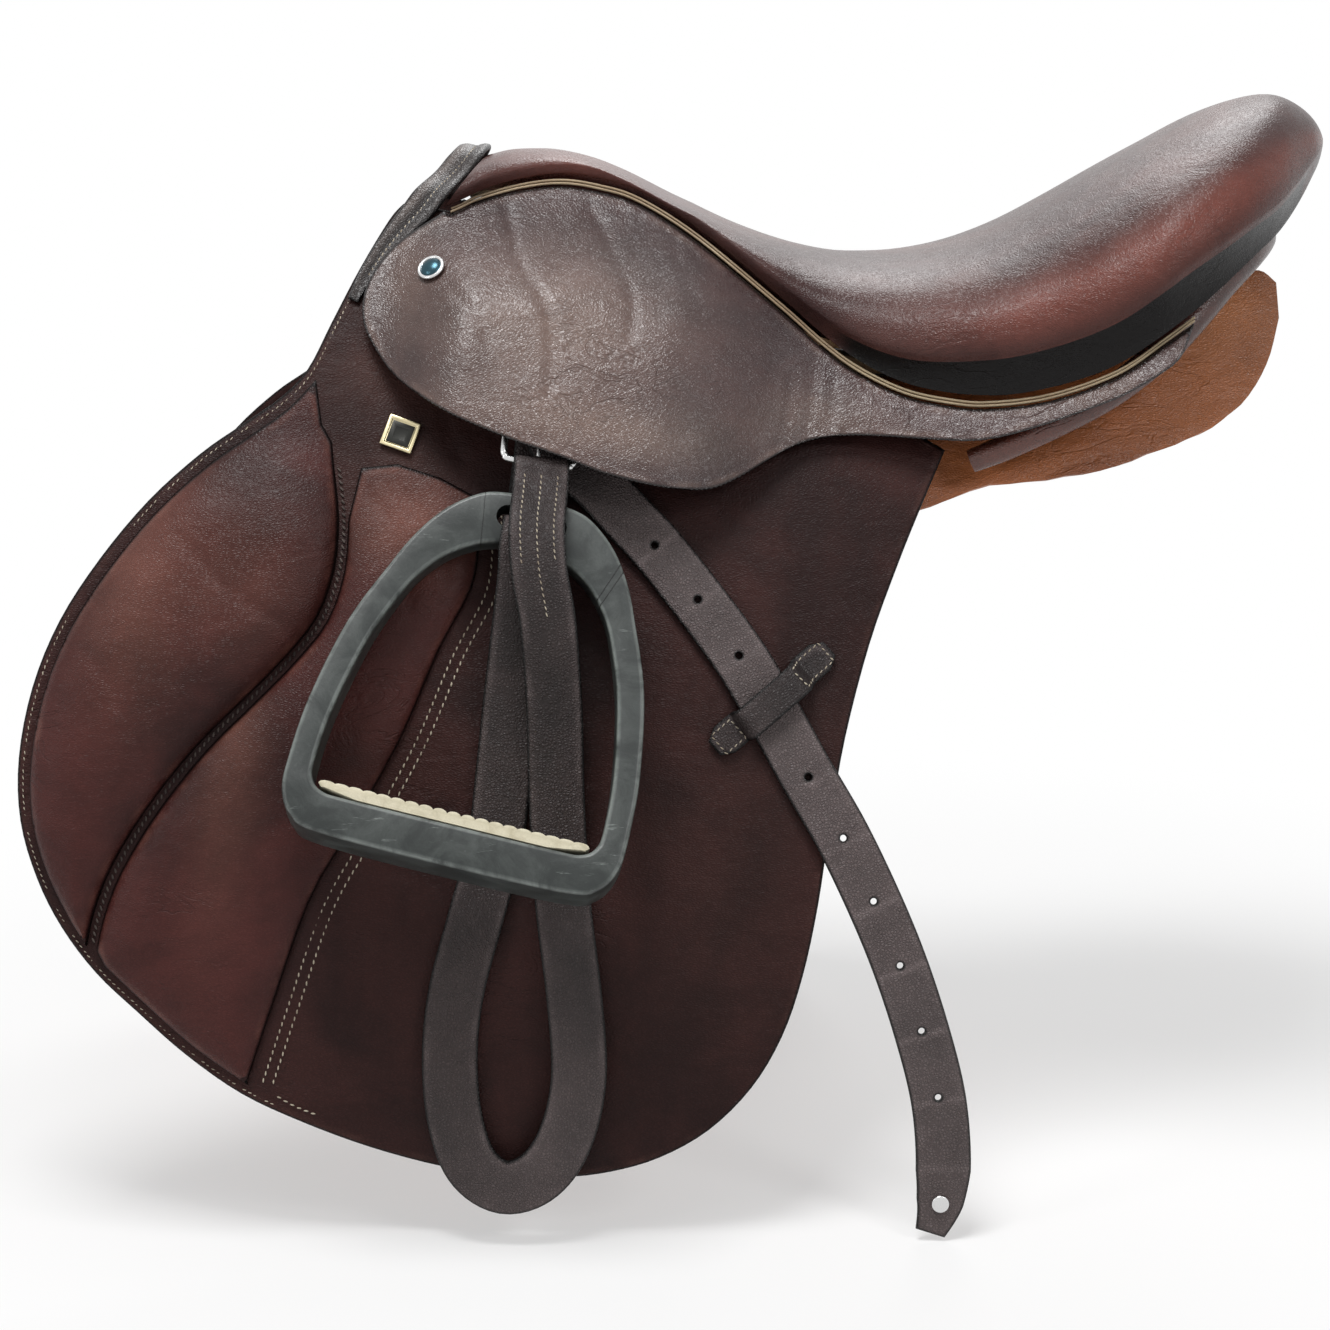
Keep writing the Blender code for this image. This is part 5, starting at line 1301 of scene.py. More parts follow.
@dataclass
class Seat:
    """Padded seat with its rolled edge, and the piping under it."""

    top: Table = curve(
        (-176, 164), (-165, 166.5), (-150, 167), (-131, 164), (-112, 157), (-83, 142.5),
        (-53, 129.5), (-24, 120.5), (1, 117), (25, 118), (50, 123), (74, 132), (98, 144.5),
        (122, 158), (146, 171), (170, 184), (189, 191), (201, 193), (213, 189), (223, 180),
        (229, 170))
    base: Table = curve(
        (-190, 150), (-172, 148), (-150, 145), (-136, 132), (-120, 116), (-60, 92), (0, 78.5),
        (60, 80), (100, 95.5), (134, 112), (150, 119.5), (175, 126), (190, 132), (206, 140),
        (215, 149), (224, 160), (229, 167))
    roll_rise: Table = curve(
        (-176, 4), (-120, 4), (-63, 5), (-14, 9), (20, 14.5), (52, 20.5), (88, 24), (143, 26),
        (170, 21), (185, 17.5), (200, 16), (218, 12), (229, 3))
    roll_out: Table = curve(
        (-176, 1), (-100, 1.5), (-40, 4), (20, 8), (80, 10), (140, 9), (200, 11), (216, 12),
        (229, 1))
    lean: Table = curve(
        (-176, 0.75), (-150, 0.5), (-120, 0.2), (-90, 0.0), (229, 0.0))
    rear_width: Table = curve(
        (136, 117.5), (150, 112.5), (165, 104), (180, 91), (195, 72), (208, 50), (218, 32),
        (225, 17), (229, 3))
    rear_z: Table = curve(
        (136, 84), (150, 94), (165, 105.5), (180, 117), (195, 127), (208, 138.5), (218, 150),
        (225, 159), (229, 167))
    stations: tuple = (
        -176, -167, -155, -141, -125, -107, -87, -65, -43, -21, 0, 22, 44, 66, 88, 108, 128, 146,
        162, 177, 190, 202, 212, 220, 226, 229)
    first_rear: float = 136.0
    edge_gap: float = 3.9
    dome_points: int = 26
    side_points: int = 9
    dome_power: tuple = (0.92, 0.8)
    # shares of the half width at which the hidden underside has points
    under: tuple = (0.93, 0.86, 0.7, 0.45, 0.0)
    # middle and width of the red rubbed ridge, round the section, and of the pommel's patch, in x
    worn_ridge: tuple = (0.84, 0.15)
    worn_pommel: tuple = (-130.0, 34.0)
    lean_passes: int = 12
    pinch: float = 1.8
    ridge_from: tuple = (-75.0, 5.0)
    piping_radius: float = 0.62
    piping_apart: float = 0.72

    def edge(self, x: float) -> tuple[float, float]:
        """Half width and height of the sewn edge at x."""
        if x >= self.first_rear:
            return float(self.rear_width(x)), float(self.rear_z(x))
        z = float(Table(WELT_LINE)(x))
        s, d = FLANK.to_sd(x, z)
        share = float(ramp(self.first_rear - 45, self.first_rear, x))
        width = float(FLANK.skirt_width(s, d))
        return width + (float(self.rear_width(self.first_rear)) - width) * share, z

    def ring(self, x: float) -> tuple[Array, Array, Array]:
        """One cross section and its marks.

        Args:
            x: The section's station.

        Returns:
            The ring's points, how far each is worn, and 0 in the band under the ridge, where painted
            shade darkens the leather near black.
        """
        top, lean = float(self.top(x)), float(self.lean(x))
        edge_x = base_x = x
        for _ in range(self.lean_passes):
            half, edge_z = self.edge(edge_x)
            edge_x = x - lean * (top - edge_z)
            base = float(self.base(base_x))
            base_x = x - lean * (top - base)
        edge_z += self.edge_gap
        roll_z = min(edge_z + float(self.roll_rise(x)), top - 2.0)
        roll_y = half + float(self.roll_out(x))
        angle = 0.5 * np.pi * np.arange(self.dome_points + 1) / self.dome_points
        y = roll_y * np.sin(angle) ** self.dome_power[0]
        z = roll_z + (top - roll_z) * np.clip(np.cos(angle), 0.0, None) ** self.dome_power[1]
        share = np.arange(1, self.side_points + 1) / self.side_points
        angle = 0.5 * np.pi * share
        sharp = float(ramp(*self.ridge_from, x)) * (1.0 - 0.6 * float(ramp(205, 229, x)))
        drawn = (1.0 - share) ** self.pinch
        out = drawn * sharp + np.cos(angle) * (1.0 - sharp)
        y = np.concatenate([y, half + (roll_y - half) * out])
        fall = share * sharp + np.sin(angle) * (1.0 - sharp)
        z = np.concatenate([z, roll_z - (roll_z - edge_z) * fall])
        share = np.array(self.under)
        y = np.concatenate([y, half * share])
        z = np.concatenate([z, np.minimum(base + (edge_z - base) * ramp(0.55, 1.0, share), top - 4.0)])
        around = np.arange(len(y)) / self.dome_points
        red = bell(around, *self.worn_ridge) * ramp(0, 90, x) + 0.5 * bell(x, *self.worn_pommel)
        # painted shade: 0 in the band under the ridge and on the underside, which the rim mark turns
        # near black
        band = 1.0 - ramp(1.02, 1.07, around) * sharp
        y, z, red, band = (np.concatenate([row, sign * row[-2:0:-1]])
                           for row, sign in ((y, -1), (z, 1), (red, 1), (band, 1)))
        return np.column_stack([x - lean * (top - z), -y, z]), np.clip(red, 0.0, 0.9), band

    def build(self) -> None:
        """Loft the seat and lay its piping."""
        marks = np.array(self.stations, float)
        fine = np.interp(np.arange(0, len(marks) - 1 + 1e-9, 0.25), np.arange(len(marks)), marks)
        rings = [self.ring(float(x)) for x in fine]
        form = loft([r[0] for r in rings])
        wear = np.concatenate([r[1] for r in rings])
        # the seat's rim mark carries its painted shade: the band under the ridge is painted near black
        form.marks = {"wear": wear, "rim": np.concatenate([r[2] for r in rings])}
        Piece.single("seat_cover", form, Finish.SEAT, 60.0).ride(
            "saddle", Slot.SEAT, "seat").padded(0.9)
        line = np.array([FLANK.to_sd(x, z) for x, z in spline(WELT_LINE, 6)])
        line = line[line[:, 0] > -56]
        forms = []
        for shift in (-self.piping_apart, self.piping_apart):
            points = FLANK.skirt_point(line[:, 0], line[:, 1] + shift, np.full(len(line), 0.6))
            forms.append(tube(points, self.piping_radius, 8))
        form = Form.joined(forms)
        form.marks = {"rim": np.full(len(form.points), 0.6)}
        Piece.pair("piping", form, Finish.WELT).ride("saddle", Slot.WELT, "seat_welt")


FLAP_FRONT = [
    (-79, -60), (-84, -52), (-93, -29), (-101, -4), (-108, 18), (-118, 32),
    (-133, 46), (-149, 61), (-168, 84), (-185, 112), (-198, 141), (-205, 171),
    (-206, 202), (-201, 229), (-190, 253), (-176, 273), (-158, 291), (-137, 306),
    (-113, 322), (-86, 336), (-57, 345), (-25, 352), (8, 356), (35, 356), (62, 353),
    (84, 347), (105, 337), (125, 321), (141, 299), (151, 274), (156, 246), (158, 214),
    (158, 178), (159, 140), (164, 98), (172, 62), (180, 33), (187, 10),
]
FLAP_TOP = [(150, -4), (110, -20), (60, -38), (15, -50), (-25, -57), (-58, -60)]
SEAM_FRONT_PAD = [
    (-86, 57), (-80, 78), (-78, 100), (-82, 122), (-93, 141), (-107, 160),
    (-126, 185), (-143, 214), (-155, 242), (-160, 264), (-161, 279),
]
SEAM_REAR_PAD = [
    (-22, 61), (-18, 80), (-18, 100), (-28, 128), (-39, 169), (-55, 211), (-68, 244),
    (-77, 290), (-82, 318), (-84, 329),
]
FLAP_THICK = 4.0
# points of the flap's front edge that the pads follow, and how many of them the front pad has
PAD_EDGE, PAD_SPLIT = slice(4, 20), 12


@dataclass
class FlapSide:
    """Flap, its knee pads, their seams and the small things sewn on it."""

    thick: float = FLAP_THICK
    grid: float = 3.4
    pad_grid: float = 2.6
    bend_over: float = 12.0
    pad_gap: float = 0.3
    pad_inset: float = 6.0
    front_pad_height: float = 13.0
    rear_pad_height: float = 9.0
    pad_rounding: float = 24.0
    pad_rim: float = 1.2
    seam_gap: float = 2.2
    keeper_from: tuple = (101.0, 152.0)
    keeper_to: tuple = (146.0, 102.0)
    keeper_width: float = 15.0
    keeper_thick: float = 2.6
    keeper_rise: float = 7.0
    # half length of the part that stands over the stirrup leather
    keeper_reach: float = 15.9
    flap_creases: tuple = (
        ((-78, 30), (-72, 44), (-70, 60)), ((-44, 22), (-40, 36), (-30, 48)),
        ((10, 70), (14, 110), (8, 150)), ((120, 60), (128, 100), (126, 150)))
    front_fade: tuple = (36.0, 92.0)
    rear_fade: tuple = (48.0, 112.0)
    stud_place: tuple = (-61.0, 39.5)
    stud_half: float = 7.5
    stud_thick: float = 1.6

    def flap(self) -> None:
        """Cut and shape the flap itself."""
        outline = np.vstack([spline(FLAP_FRONT, 4), spline(FLAP_TOP, 3)])
        rear = np.array(SEAM_REAR_PAD, float)

        def high(s: Array, d: Array, reach: Array) -> Array:
            """Outer face: an edge groove, a welt behind the pad, creases and soft waves."""
            crease = -0.7 * bell(reach, 3.6, 1.1)
            channel = furrow(s, d, rear + [3.4, 0.0], 1.7, 0.9, 1.0)
            waves = 0.45 * np.sin(0.05 * s + 0.9) * np.sin(0.043 * d) * np.clip(reach / 25, 0, 1)
            for path in self.flap_creases:
                waves = waves + furrow(s, d, path, 2.2, 0.7)
            return self.thick + crease + channel + waves

        wear = blobs([(-50, 15, 40, 14, 0.6), (120, 200, 60, 80, 0.12), (-60, -30, 25, 30, 0.6),
                      (-62, 62, 26, 26, 0.35)])
        form = Pattern(outline, self.grid, 1.4).form(FLANK.point, flat(0.0), high, wear)
        piece = Piece.pair("flap_leather", form, Finish.FLAP)
        piece.bend("saddle", "flap_part", 0.0, self.bend_over, Slot.FLAP, "flap_head", "flap")

    def pad(self, name: str, node: str, outline: Array, height: float, fade: tuple,
            creases: Sequence[Rows], wear: Rows) -> None:
        """Stuff one knee pad.

        Args:
            name: The piece's name.
            node: The CAD node that it stands for.
            outline: Its sewn edge.
            height: How far it stands up.
            fade: Levels of d between which it swells from its flat top end.
            creases: Paths of the soft creases in its cover.
            wear: Rubbed patches.
        """
        base = self.thick + self.pad_gap
        pattern = Pattern(outline, self.pad_grid, 0.8)

        def high(s: Array, d: Array, reach: Array) -> Array:
            """Outer face: full in the middle, pulled in at the seam."""
            share = np.clip(reach / self.pad_rounding, 0.0, 1.0)
            rise = np.sqrt(1.0 - (1.0 - share) ** 2) * (0.12 + 0.88 * ramp(*fade, d))
            crown = 0.06 * ramp(0, 45, reach)
            puckers = 0.28 * np.sin(0.75 * s + 0.6 * d) * bell(reach, 5, 4)
            body = base + self.pad_rim + (height - self.pad_rim) * rise * (0.94 + crown)
            for path in creases:
                body = body + furrow(s, d, path, 2.4, 0.9)
            return body + puckers * share

        form = pattern.form(FLANK.point, flat(base), high, blobs(wear))
        Piece.pair(name, form, Finish.PAD, 60.0).ride("flap_part", Slot.PAD, node).padded(0.8)

    def pads(self) -> None:
        """Both knee pads of a flap."""
        front_edge = inset_path(np.array(FLAP_FRONT[PAD_EDGE], float), self.pad_inset)
        seam = np.array(SEAM_FRONT_PAD, float)
        front = np.vstack([spline(front_edge[:PAD_SPLIT], 3),
                           spline(seam[::-1] - [self.seam_gap, 0.0], 3), [(-91, 47), (-97, 40)]])
        self.pad("knee_pad_cover_front", "knee_pad_front", front, self.front_pad_height,
                 self.front_fade, [[(-150, 95), (-128, 112), (-108, 121), (-90, 132)],
                  [(-182, 150), (-166, 165), (-150, 190), (-138, 206)]],
                 [(-165, 110, 22, 55, 0.5), (-120, 110, 30, 30, 0.25)])
        rear = np.vstack([spline(seam[1:] + [self.seam_gap, 1.0], 3),
                          spline(front_edge[PAD_SPLIT:], 3),
                          spline(np.array(SEAM_REAR_PAD, float)[::-1], 3),
                          [(-40, 55), (-60, 52), (-76, 56)]])
        self.pad("knee_pad_cover_rear", "knee_pad_rear", rear, self.rear_pad_height, self.rear_fade,
                 [[(-70, 66), (-52, 84), (-44, 110)], [(-60, 62), (-40, 76), (-30, 96)]],
                 [(-50, 75, 26, 22, 0.7), (-110, 190, 14, 60, 0.35)])

    def seams(self) -> None:
        """Thread round the flap's edge and along the pads."""
        edge = inset_path(spline(FLAP_FRONT, 6), 2.6)
        edge = edge[: int(len(edge) * 0.53)]
        at = FLANK.point
        rows = STITCHING.sewn(at, edge, self.thick - 0.35, pitch=2.8, length=1.8, radius=0.27)
        Piece.pair("flap_edge_stitches", rows, Finish.THREAD).bend(
            "saddle", "flap_part", 0.0, self.bend_over, Slot.FLAP)
        channel = spline(np.array(SEAM_FRONT_PAD, float), 6)
        rear = spline(np.array(SEAM_REAR_PAD, float), 6)
        tail = spline([(-70.5, 334), (-62, 337.5), (-52, 340)], 4)
        braid = STITCHING.sewn(at, channel, self.thick + 0.5, pitch=3.0, length=2.6, radius=0.5,
                               slant=38.0)
        Piece.pair("pad_channel_stitches", braid, Finish.DARK_THREAD).ride("flap_part", Slot.FLAP)
        forms = [STITCHING.sewn(at, path, height, pitch=3.4, length=2.2, radius=0.4)
                 for path, height in ((rear + [6.4, 2.0], self.thick + 0.1),
                                      (rear + [11.0, 2.0], self.thick + 0.1), (tail, self.thick))]
        Piece.pair("pad_stitches", Form.joined(forms), Finish.THREAD).ride("flap_part", Slot.FLAP)

    def keeper(self) -> None:
        """Strap on the flap that holds the stirrup leather's tail."""
        a, b = np.array(self.keeper_from), np.array(self.keeper_to)
        length = float(np.hypot(*(b - a)))
        way = (b - a) / length
        turn = math.degrees(math.atan2(way[0], -way[1]))
        base = self.thick + 0.9 + 0.5 * self.keeper_thick
        reach, middle = self.keeper_reach, 0.5 * length
        rise = Table([(0, 0), (8, 0), (middle - reach - 2.5, 0), (middle - reach, 0.8),
                      (middle - reach + 3, 1), (middle + reach - 3, 1), (middle + reach, 0.8),
                      (middle + reach + 2.5, 0), (length - 8, 0), (length, 0)])
        stops = np.linspace(0, length, 70)
        place = a + stops[:, None] * way
        points = FLANK.point(place[:, 0], place[:, 1], base + self.keeper_rise * rise(stops))
        route = Route(points, np.array([FLANK.in_flank(float(d), turn) for d in place[:, 1]]))
        half, full = 0.5 * self.keeper_width, route.length
        outline = [(-0.55 * half, 0), (-half, 6), (-half, full - 6), (-0.55 * half, full),
                   (0.55 * half, full), (half, full - 6), (half, 6), (0.55 * half, 0)]
        thick = 0.5 * self.keeper_thick
        form = Pattern(np.array(outline), 2.2, 0.9).form(
            route.point, flat(-thick), flat(thick), blobs([(0, middle, 9, 14, 0.5)]))
        Piece.pair("keeper_leather", form, Finish.STRAP).ride("flap_part", Slot.FLAP, "flap_keeper")
        forms = []
        for low, high in ((2.5, middle - reach - 4), (middle + reach + 4, full - 2.5)):
            ring = [(-half + 2.2, low), (-half + 2.2, high), (half - 2.2, high), (half - 2.2, low)]
            path = np.array([np.add(p, np.subtract(q, p) * t) for p,
                             q in zip(ring, ring[1:] + ring[:1])
                             for t in np.linspace(0, 0.98, 12)])
            forms.append(STITCHING.on_strap(route, path, thick))
        Piece.pair("keeper_stitches", Form.joined(forms), Finish.THREAD).ride("flap_part", Slot.FLAP)

    def stud(self) -> None:
        """Plain square stud with a raised border."""
        s, d = (np.array([v]) for v in self.stud_place)
        normal = FLANK.normal(FLANK.point, s, d, np.array([self.thick]))[0]
        base = FLANK.point(s, d, self.thick)[0] + normal * 0.7
        u = FLANK.in_flank(float(d[0]), 10.0)
        u = u - normal * (u @ normal)
        u /= np.linalg.norm(u)
        plates, inlays = [], []
        for side in SIDES:
            here, axis, way = base * side, normal * side, u * side
            plates.append(Bench.plate("plate", here, axis, way, self.stud_half, self.stud_thick,
                                      1.5, 0.7, Finish.BRASS))
            inlays.append(Bench.plate("inlay", here + axis * 0.8, axis, way, self.stud_half - 2.3,
                                      0.45, 2.4, 0.15, Finish.ENAMEL))
        Piece(Bench.named("flap_stud_plate", plates), True).ride("flap_part", Slot.STEEL, "flap_stud")
        Piece(Bench.named("flap_stud_inlay", inlays), True).ride("flap_part", Slot.STEEL)

    def build(self) -> None:
        """Make everything on the flap."""
        self.flap()
        self.pads()
        self.seams()
        self.keeper()
        self.stud()


@dataclass
class SkirtSide:
    """Skirt over the stirrup bar, cut in three parts, and its nail."""

    thick: float = 4.2
    grid: float = 2.4
    lower: tuple = (
        (-59, -60), (-75, -46), (-84, -33), (-88, -20), (-86, -7), (-78, 4), (-66, 14),
        (-44, 22), (-25, 27), (-6, 31), (12, 34), (31, 38), (50, 40), (68, 40.5), (82, 39),
        (94, 33), (106, 24.5), (119, 16), (132, 11), (150, 7.5), (177, 4.5), (200, 1),
        (222, -8), (244, -20), (262, -31.5), (279, -46), (284, -54))
    creases: tuple = (
        (((-30, -66), (-20, -45), (-4, -28), (2, -8), (3, 8)), 2.2, 1.3),
        (((8, -72), (24, -52), (34, -36), (36, -20)), 2.0, 1.0),
        (((-52, -30), (-38, -22), (-26, -8)), 2.4, 0.7),
        (((50, -60), (58, -44), (66, -34)), 2.4, 0.6),
        (((112, -14), (112, 4), (110, 20)), 1.9, 0.9),
        (((121, -20), (122, -4), (121, 12)), 1.9, 0.8),
        (((131, -16), (132, -6), (131, 6)), 1.9, 0.5),
        (((160, -30), (172, -18), (176, -6)), 2.0, 0.5))
    worn: tuple = (
        (0, -20, 50, 30, 0.65), (20, 20, 60, 12, 0.6), (130, 5, 30, 12, 0.4),
        (-70, -30, 12, 25, 0.3), (220, -30, 50, 12, 0.35))
    seam: float = -16.5
    rear_cut: float = 150.0
    welt_gap: float = 2.2
    nail_place: tuple = (-58.0, -34.0)
    nail_radius: float = 6.6

    def high(self, s: Array, d: Array, reach: Array) -> Array:
        """Outer face: an edge crease, folds and the long creases by the bar."""
        level = 0.5 * self.thick - 0.55 * bell(reach, 3.8, 1.0)
        for path, width, depth in self.creases:
            level = level + furrow(s, d, path, width, depth)
        swell = 0.5 * np.sin(0.09 * s + 0.05 * d) * np.sin(0.07 * d + 1.0)
        return level + swell * np.clip(reach / 12, 0, 1)

    def part(self, name: str, outline: Array, cuts: Sequence[tuple]) -> Piece:
        """Cut one part of the skirt on both sides."""
        form = Pattern(outline, self.grid, 1.5, cuts).form(
            FLANK.skirt_point, flat(-0.5 * self.thick), self.high, blobs(self.worn))
        return Piece.pair(name, form, Finish.SKIRT)

    def build(self) -> None:
        """Make the skirt's parts and the nail."""
        upper = np.array([FLANK.to_sd(x, z) for x, z in spline(WELT_LINE, 3)]) + [0.0, self.welt_gap]
        upper = upper[upper[:, 0] > -58]
        outline = np.vstack([spline(self.lower, 3), upper[::-1]])
        front, rear = (0, self.rear_cut - 0.05, -1), (0, self.rear_cut + 0.05, 1)
        self.part("skirt_top", outline, [(1, self.seam, -1), front]).bend(
            "saddle", "skirt_band", -27.0, self.seam - 0.3, Slot.SEAT, "skirt")
        self.part("skirt_drop", outline, [(1, self.seam, 1), front]).bend(
            "skirt_band", "skirt_lower", self.seam + 0.3, -6.0, Slot.SEAT, "skirt_fold",
            "skirt_edge")
        self.part("skirt_tail", outline, [rear]).ride("saddle", Slot.SEAT, "skirt_rear")
        self.nail()

    def nail(self) -> None:
        """Blued dome in a bright ring."""
        s, d = (np.array([v]) for v in self.nail_place)
        normal = FLANK.normal(FLANK.skirt_point, s, d, np.zeros(1))[0]
        base = FLANK.skirt_point(s, d, 0.0)[0] + normal * (0.5 * self.thick + 0.2)
        rings, domes = [], []
        for side in SIDES:
            here, axis = base * side, normal * side
            rings.append(Bench.ring("ring", here, axis, self.nail_radius - 0.9, 0.9, Finish.STEEL))
            domes.append(Bench.dome("dome", here + axis * 0.3, axis, self.nail_radius - 1.3, 2.7,
                                    Finish.BLUED))
        Piece(Bench.named("nail_ring", rings), True).ride("saddle", Slot.STEEL, "skirt_nail")
        Piece(Bench.named("nail_dome", domes), True).ride("saddle", Slot.STEEL)


@dataclass
class Stirrup:
    """Stirrup leather with its buckle, the iron and its tread."""

    width: float = 25.0
    thick: float = 3.2
    clearance: float = 0.9
    bar_radius: float = 3.5
    hole_first: float = 884.5
    hole_pitch: float = 31.5
    hole_count: int = 10
    hole_radius: float = 1.5
    tip_inset: float = 15.0
    buckle_s: float = 3.0
    buckle_top: float = 16.0
    buckle_heel: float = 39.5
    buckle_n: float = 25.5
    buckle_inner: float = 28.5
    wire: float = 3.4
    pin_radius: float = 1.3
    eye_s: float = 4.5
    eye_d: float = 67.0
    eye_n: float = 21.0
    swing: float = math.radians(5.3)
    tilt: float = math.radians(27.0)
    eye_width: float = 32.0
    eye_height: float = 10.4
    rounding: float = 2.2
    half: tuple = (
        (0.0, -12.0, 0.0, 11.0, 13.0), (13.0, -11.2, 10.0, 12.3, 13.0),
        (25.0, -8.0, 21.0, 16.0, 13.0), (38.0, 2.5, 32.0, 23.5, 14.0),
        (48.0, 17.0, 41.0, 34.0, 15.5), (56.0, 35.0, 47.5, 46.5, 17.5),
        (67.0, 65.0, 56.0, 71.0, 21.5), (74.0, 103.0, 62.5, 105.0, 26.5),
        (75.5, 132.0, 64.0, 130.0, 30.0), (74.3, 146.0, 62.5, 138.5, 32.0),
        (68.0, 156.0, 57.0, 142.7, 32.0), (55.0, 160.5, 45.0, 143.5, 32.0),
        (0.0, 161.5, 0.0, 143.5, 32.0))
    tread_half: float = 60.0
    tread_top: float = 137.5
    tread_base: float = 143.5
    tread_depth: float = 29.0
    ridges: int = 19
    ridge_height: float = 1.6
    scallop: tuple = (0.0, 0.09, 0.2, 0.34, 0.5, 0.66, 0.8, 0.91)
    scallop_power: float = 0.55
    # places along the bow's loop where its release joints lie, and their width
    joints: tuple = (24.4, 25.9, 25.9 + 129.0)
    joint_width: float = 0.16
    # rows of s, d, distance from the flank and turn of the strap's width
    down_to_eye: tuple = (
        (6, 48, 30.6, 0), (6.5, 54, 34, 0), (7, 61, 38.5, 0), (8.5, 70, 40.5, 0), (12, 84, 39.5, 0),
        (19, 105, 34, 0), (27, 141, 22, 0), (33, 175, 15.5, 2), (38, 200, 14, 5),
        (45, 230, 13.5, 9), (56, 269, 13, 10), (63, 303, 13, 0), (61, 331, 13, 22),
        (52, 350, 12.5, 58), (37, 358, 11.5, 90), (21, 350, 10.5, 126), (10, 328, 9.5, 158),
        (4, 300, 8.5, 176), (3, 272, 8, 182), (6.5, 240, 7.8, 187), (10, 208, 7.8, 184),
        (9, 176, 8.5, 178), (7.5, 145, 12, 177), (6.5, 112, 22, 178), (6, 95, 28.5, 179),
        (5.5, 84, 32.5, 180))
    up_to_bar: tuple = ((4, 50, 7.4, 180), (3.5, 34, 7.3, 180), (3, 18, 7.3, 180))
    down_to_tail: tuple = (
        (3, 8, 21.8, 180), (3.5, 16, 21.0, 178), (5.5, 24.5, 19.2, 160), (11, 32.5, 17, 140),
        (20, 39.5, 15, 128), (33, 48, 12.5, 127), (47, 59, 10, 129), (61, 69.5, 8.2, 132),
        (83, 89, 7.2, 136), (106, 111, 7.2, 139), (124, 132, 7.2, 142), (143, 156, 7.2, 143))
    near_tail: tuple = (
        (163, 180, 8.5, 147), (182, 207, 8.0, 151), (198, 233, 6.5, 155), (213, 262, 5.0, 159),
        (225, 290, 4.5, 164), (232, 317, 4.0, 172), (234, 338, 4.0, 181), (232, 353, 4.0, 186))
    off_tail: tuple = (
        (157, 180, 7.2, 155), (165, 207, 7.2, 166), (169, 233, 7.2, 174), (170, 262, 7.2, 178),
        (170, 290, 7.2, 180), (170, 317, 7.2, 180), (170, 338, 7.2, 180), (170, 353, 7.2, 180))
    # shift across and end of each row of thread below the buckle
    thread_rows: tuple = ((-7.4, 54.0), (0.0, 79.0), (7.4, 54.0))

    def keys(self, off: bool) -> list:
        """Route of the stirrup leather.

        Args:
            off: Whether it is the off side's, whose tail hangs behind the flap's rear edge.

        Returns:
            Rows of place, distance out and the turn of the strap's width.
        """
        heel, s0, d0 = self.buckle_heel, self.eye_s, self.eye_d
        buckle = ((4.6, heel - 2.6, 27.6, 0), (5.0, heel, 29.4, 0), (5.5, heel + 3.0, 29.2, 0))
        eye = ((s0, d0 + 8, 35.2, 180), (s0, d0 + 2, 35.6, 180), (s0, d0 - 2.0, 33.8, 180),
               (s0, d0 - 3.0, 30.0, 180), (s0, d0 - 1.7, 25.5, 180), (s0, d0, self.eye_n, 180),
               (s0, d0 + 1.6, 16.0, 180), (s0, d0 + 2.2, 12.4, 180), (s0, d0 - 0.5, 9.2, 180),
               (s0, d0 - 6.0, 7.7, 180))

        def keyed(*parts: Rows) -> list:
            """Rows with their distance out measured from the centreline."""
            return [(s, d, float(FLANK.half_width(d)) + n, turn)
                    for rows in parts for s, d, n, turn in rows]

        tail = self.off_tail if off else self.near_tail
        return (keyed(buckle, self.down_to_eye, eye, self.up_to_bar) + self.round_bar()
                + keyed(self.down_to_tail, tail))

    def round_bar(self) -> list:
        """Keys of the half turn round the stirrup bar."""
        slope = float(FLANK.slope(0.0))
        run = math.hypot(1.0, slope)
        down, outward = (1.0 / run, slope / run), (-slope / run, 1.0 / run)
        radius = self.bar_radius + self.clearance + 0.5 * self.thick
        keys = []
        for k in range(7):
            angle = math.pi * k / 6
            back, up = -radius * math.cos(angle), -radius * math.sin(angle)
            keys.append((3.0, outward[0] * back + down[0] * up,
                         float(FLANK.half_width(0)) + BAR_N + outward[1] * back + down[1] * up,
                         180))
        return keys

    def route(self, off: bool) -> Route:
        """The stirrup leather's way on one side, drawn on the near side."""
        line = spline(self.keys(off), 8)
        points = FLANK.straight(line[:, 0], line[:, 1], line[:, 2])
        across = np.array([FLANK.in_flank(float(d), float(t)) for d, t in line[:, [1, 3]]])
        return Route(points, across)

    def cut(self, route: Route) -> Form:
        """Cut the stirrup leather along its way, with its punched holes."""
        half, full, thick = 0.5 * self.width, route.length, 0.5 * self.thick
        outline = [(-half, 0), (-half, full - 30), (-0.86 * half, full - 15), (-0.55 * half, full),
                   (0.55 * half, full), (0.86 * half, full - 15), (half, full - 30), (half, 0)]
        stops = self.hole_first + self.hole_pitch * np.arange(self.hole_count)
        holes = [(0.0, float(v), self.hole_radius) for v in stops if v < full - 2.0 * self.tip_inset]

        def wear(u: Array, v: Array) -> Array:
            """Rubbed along its edges, at the bends, on the tail and across each hole."""
            tail = 0.5 * ramp(820, 900, v)
            bend = 0.4 * bell(v, 320, 60)
            past_hole = np.mod(v - self.hole_first + 12.0, self.hole_pitch)
            lines = 0.5 * bell(past_hole, 14.5, 0.9) * (v > 860)
            return np.clip(tail + bend + lines + 0.25 * np.abs(u / half) ** 6, 0, 1)

        form = Pattern(np.array(outline), 2.6, 0.9, holes=holes).form(
            route.point, flat(-thick), flat(thick), wear)
        form.marks["wear"][len(form.points) // 2:] = form.marks["wear"][: len(form.points) // 2]
        return form

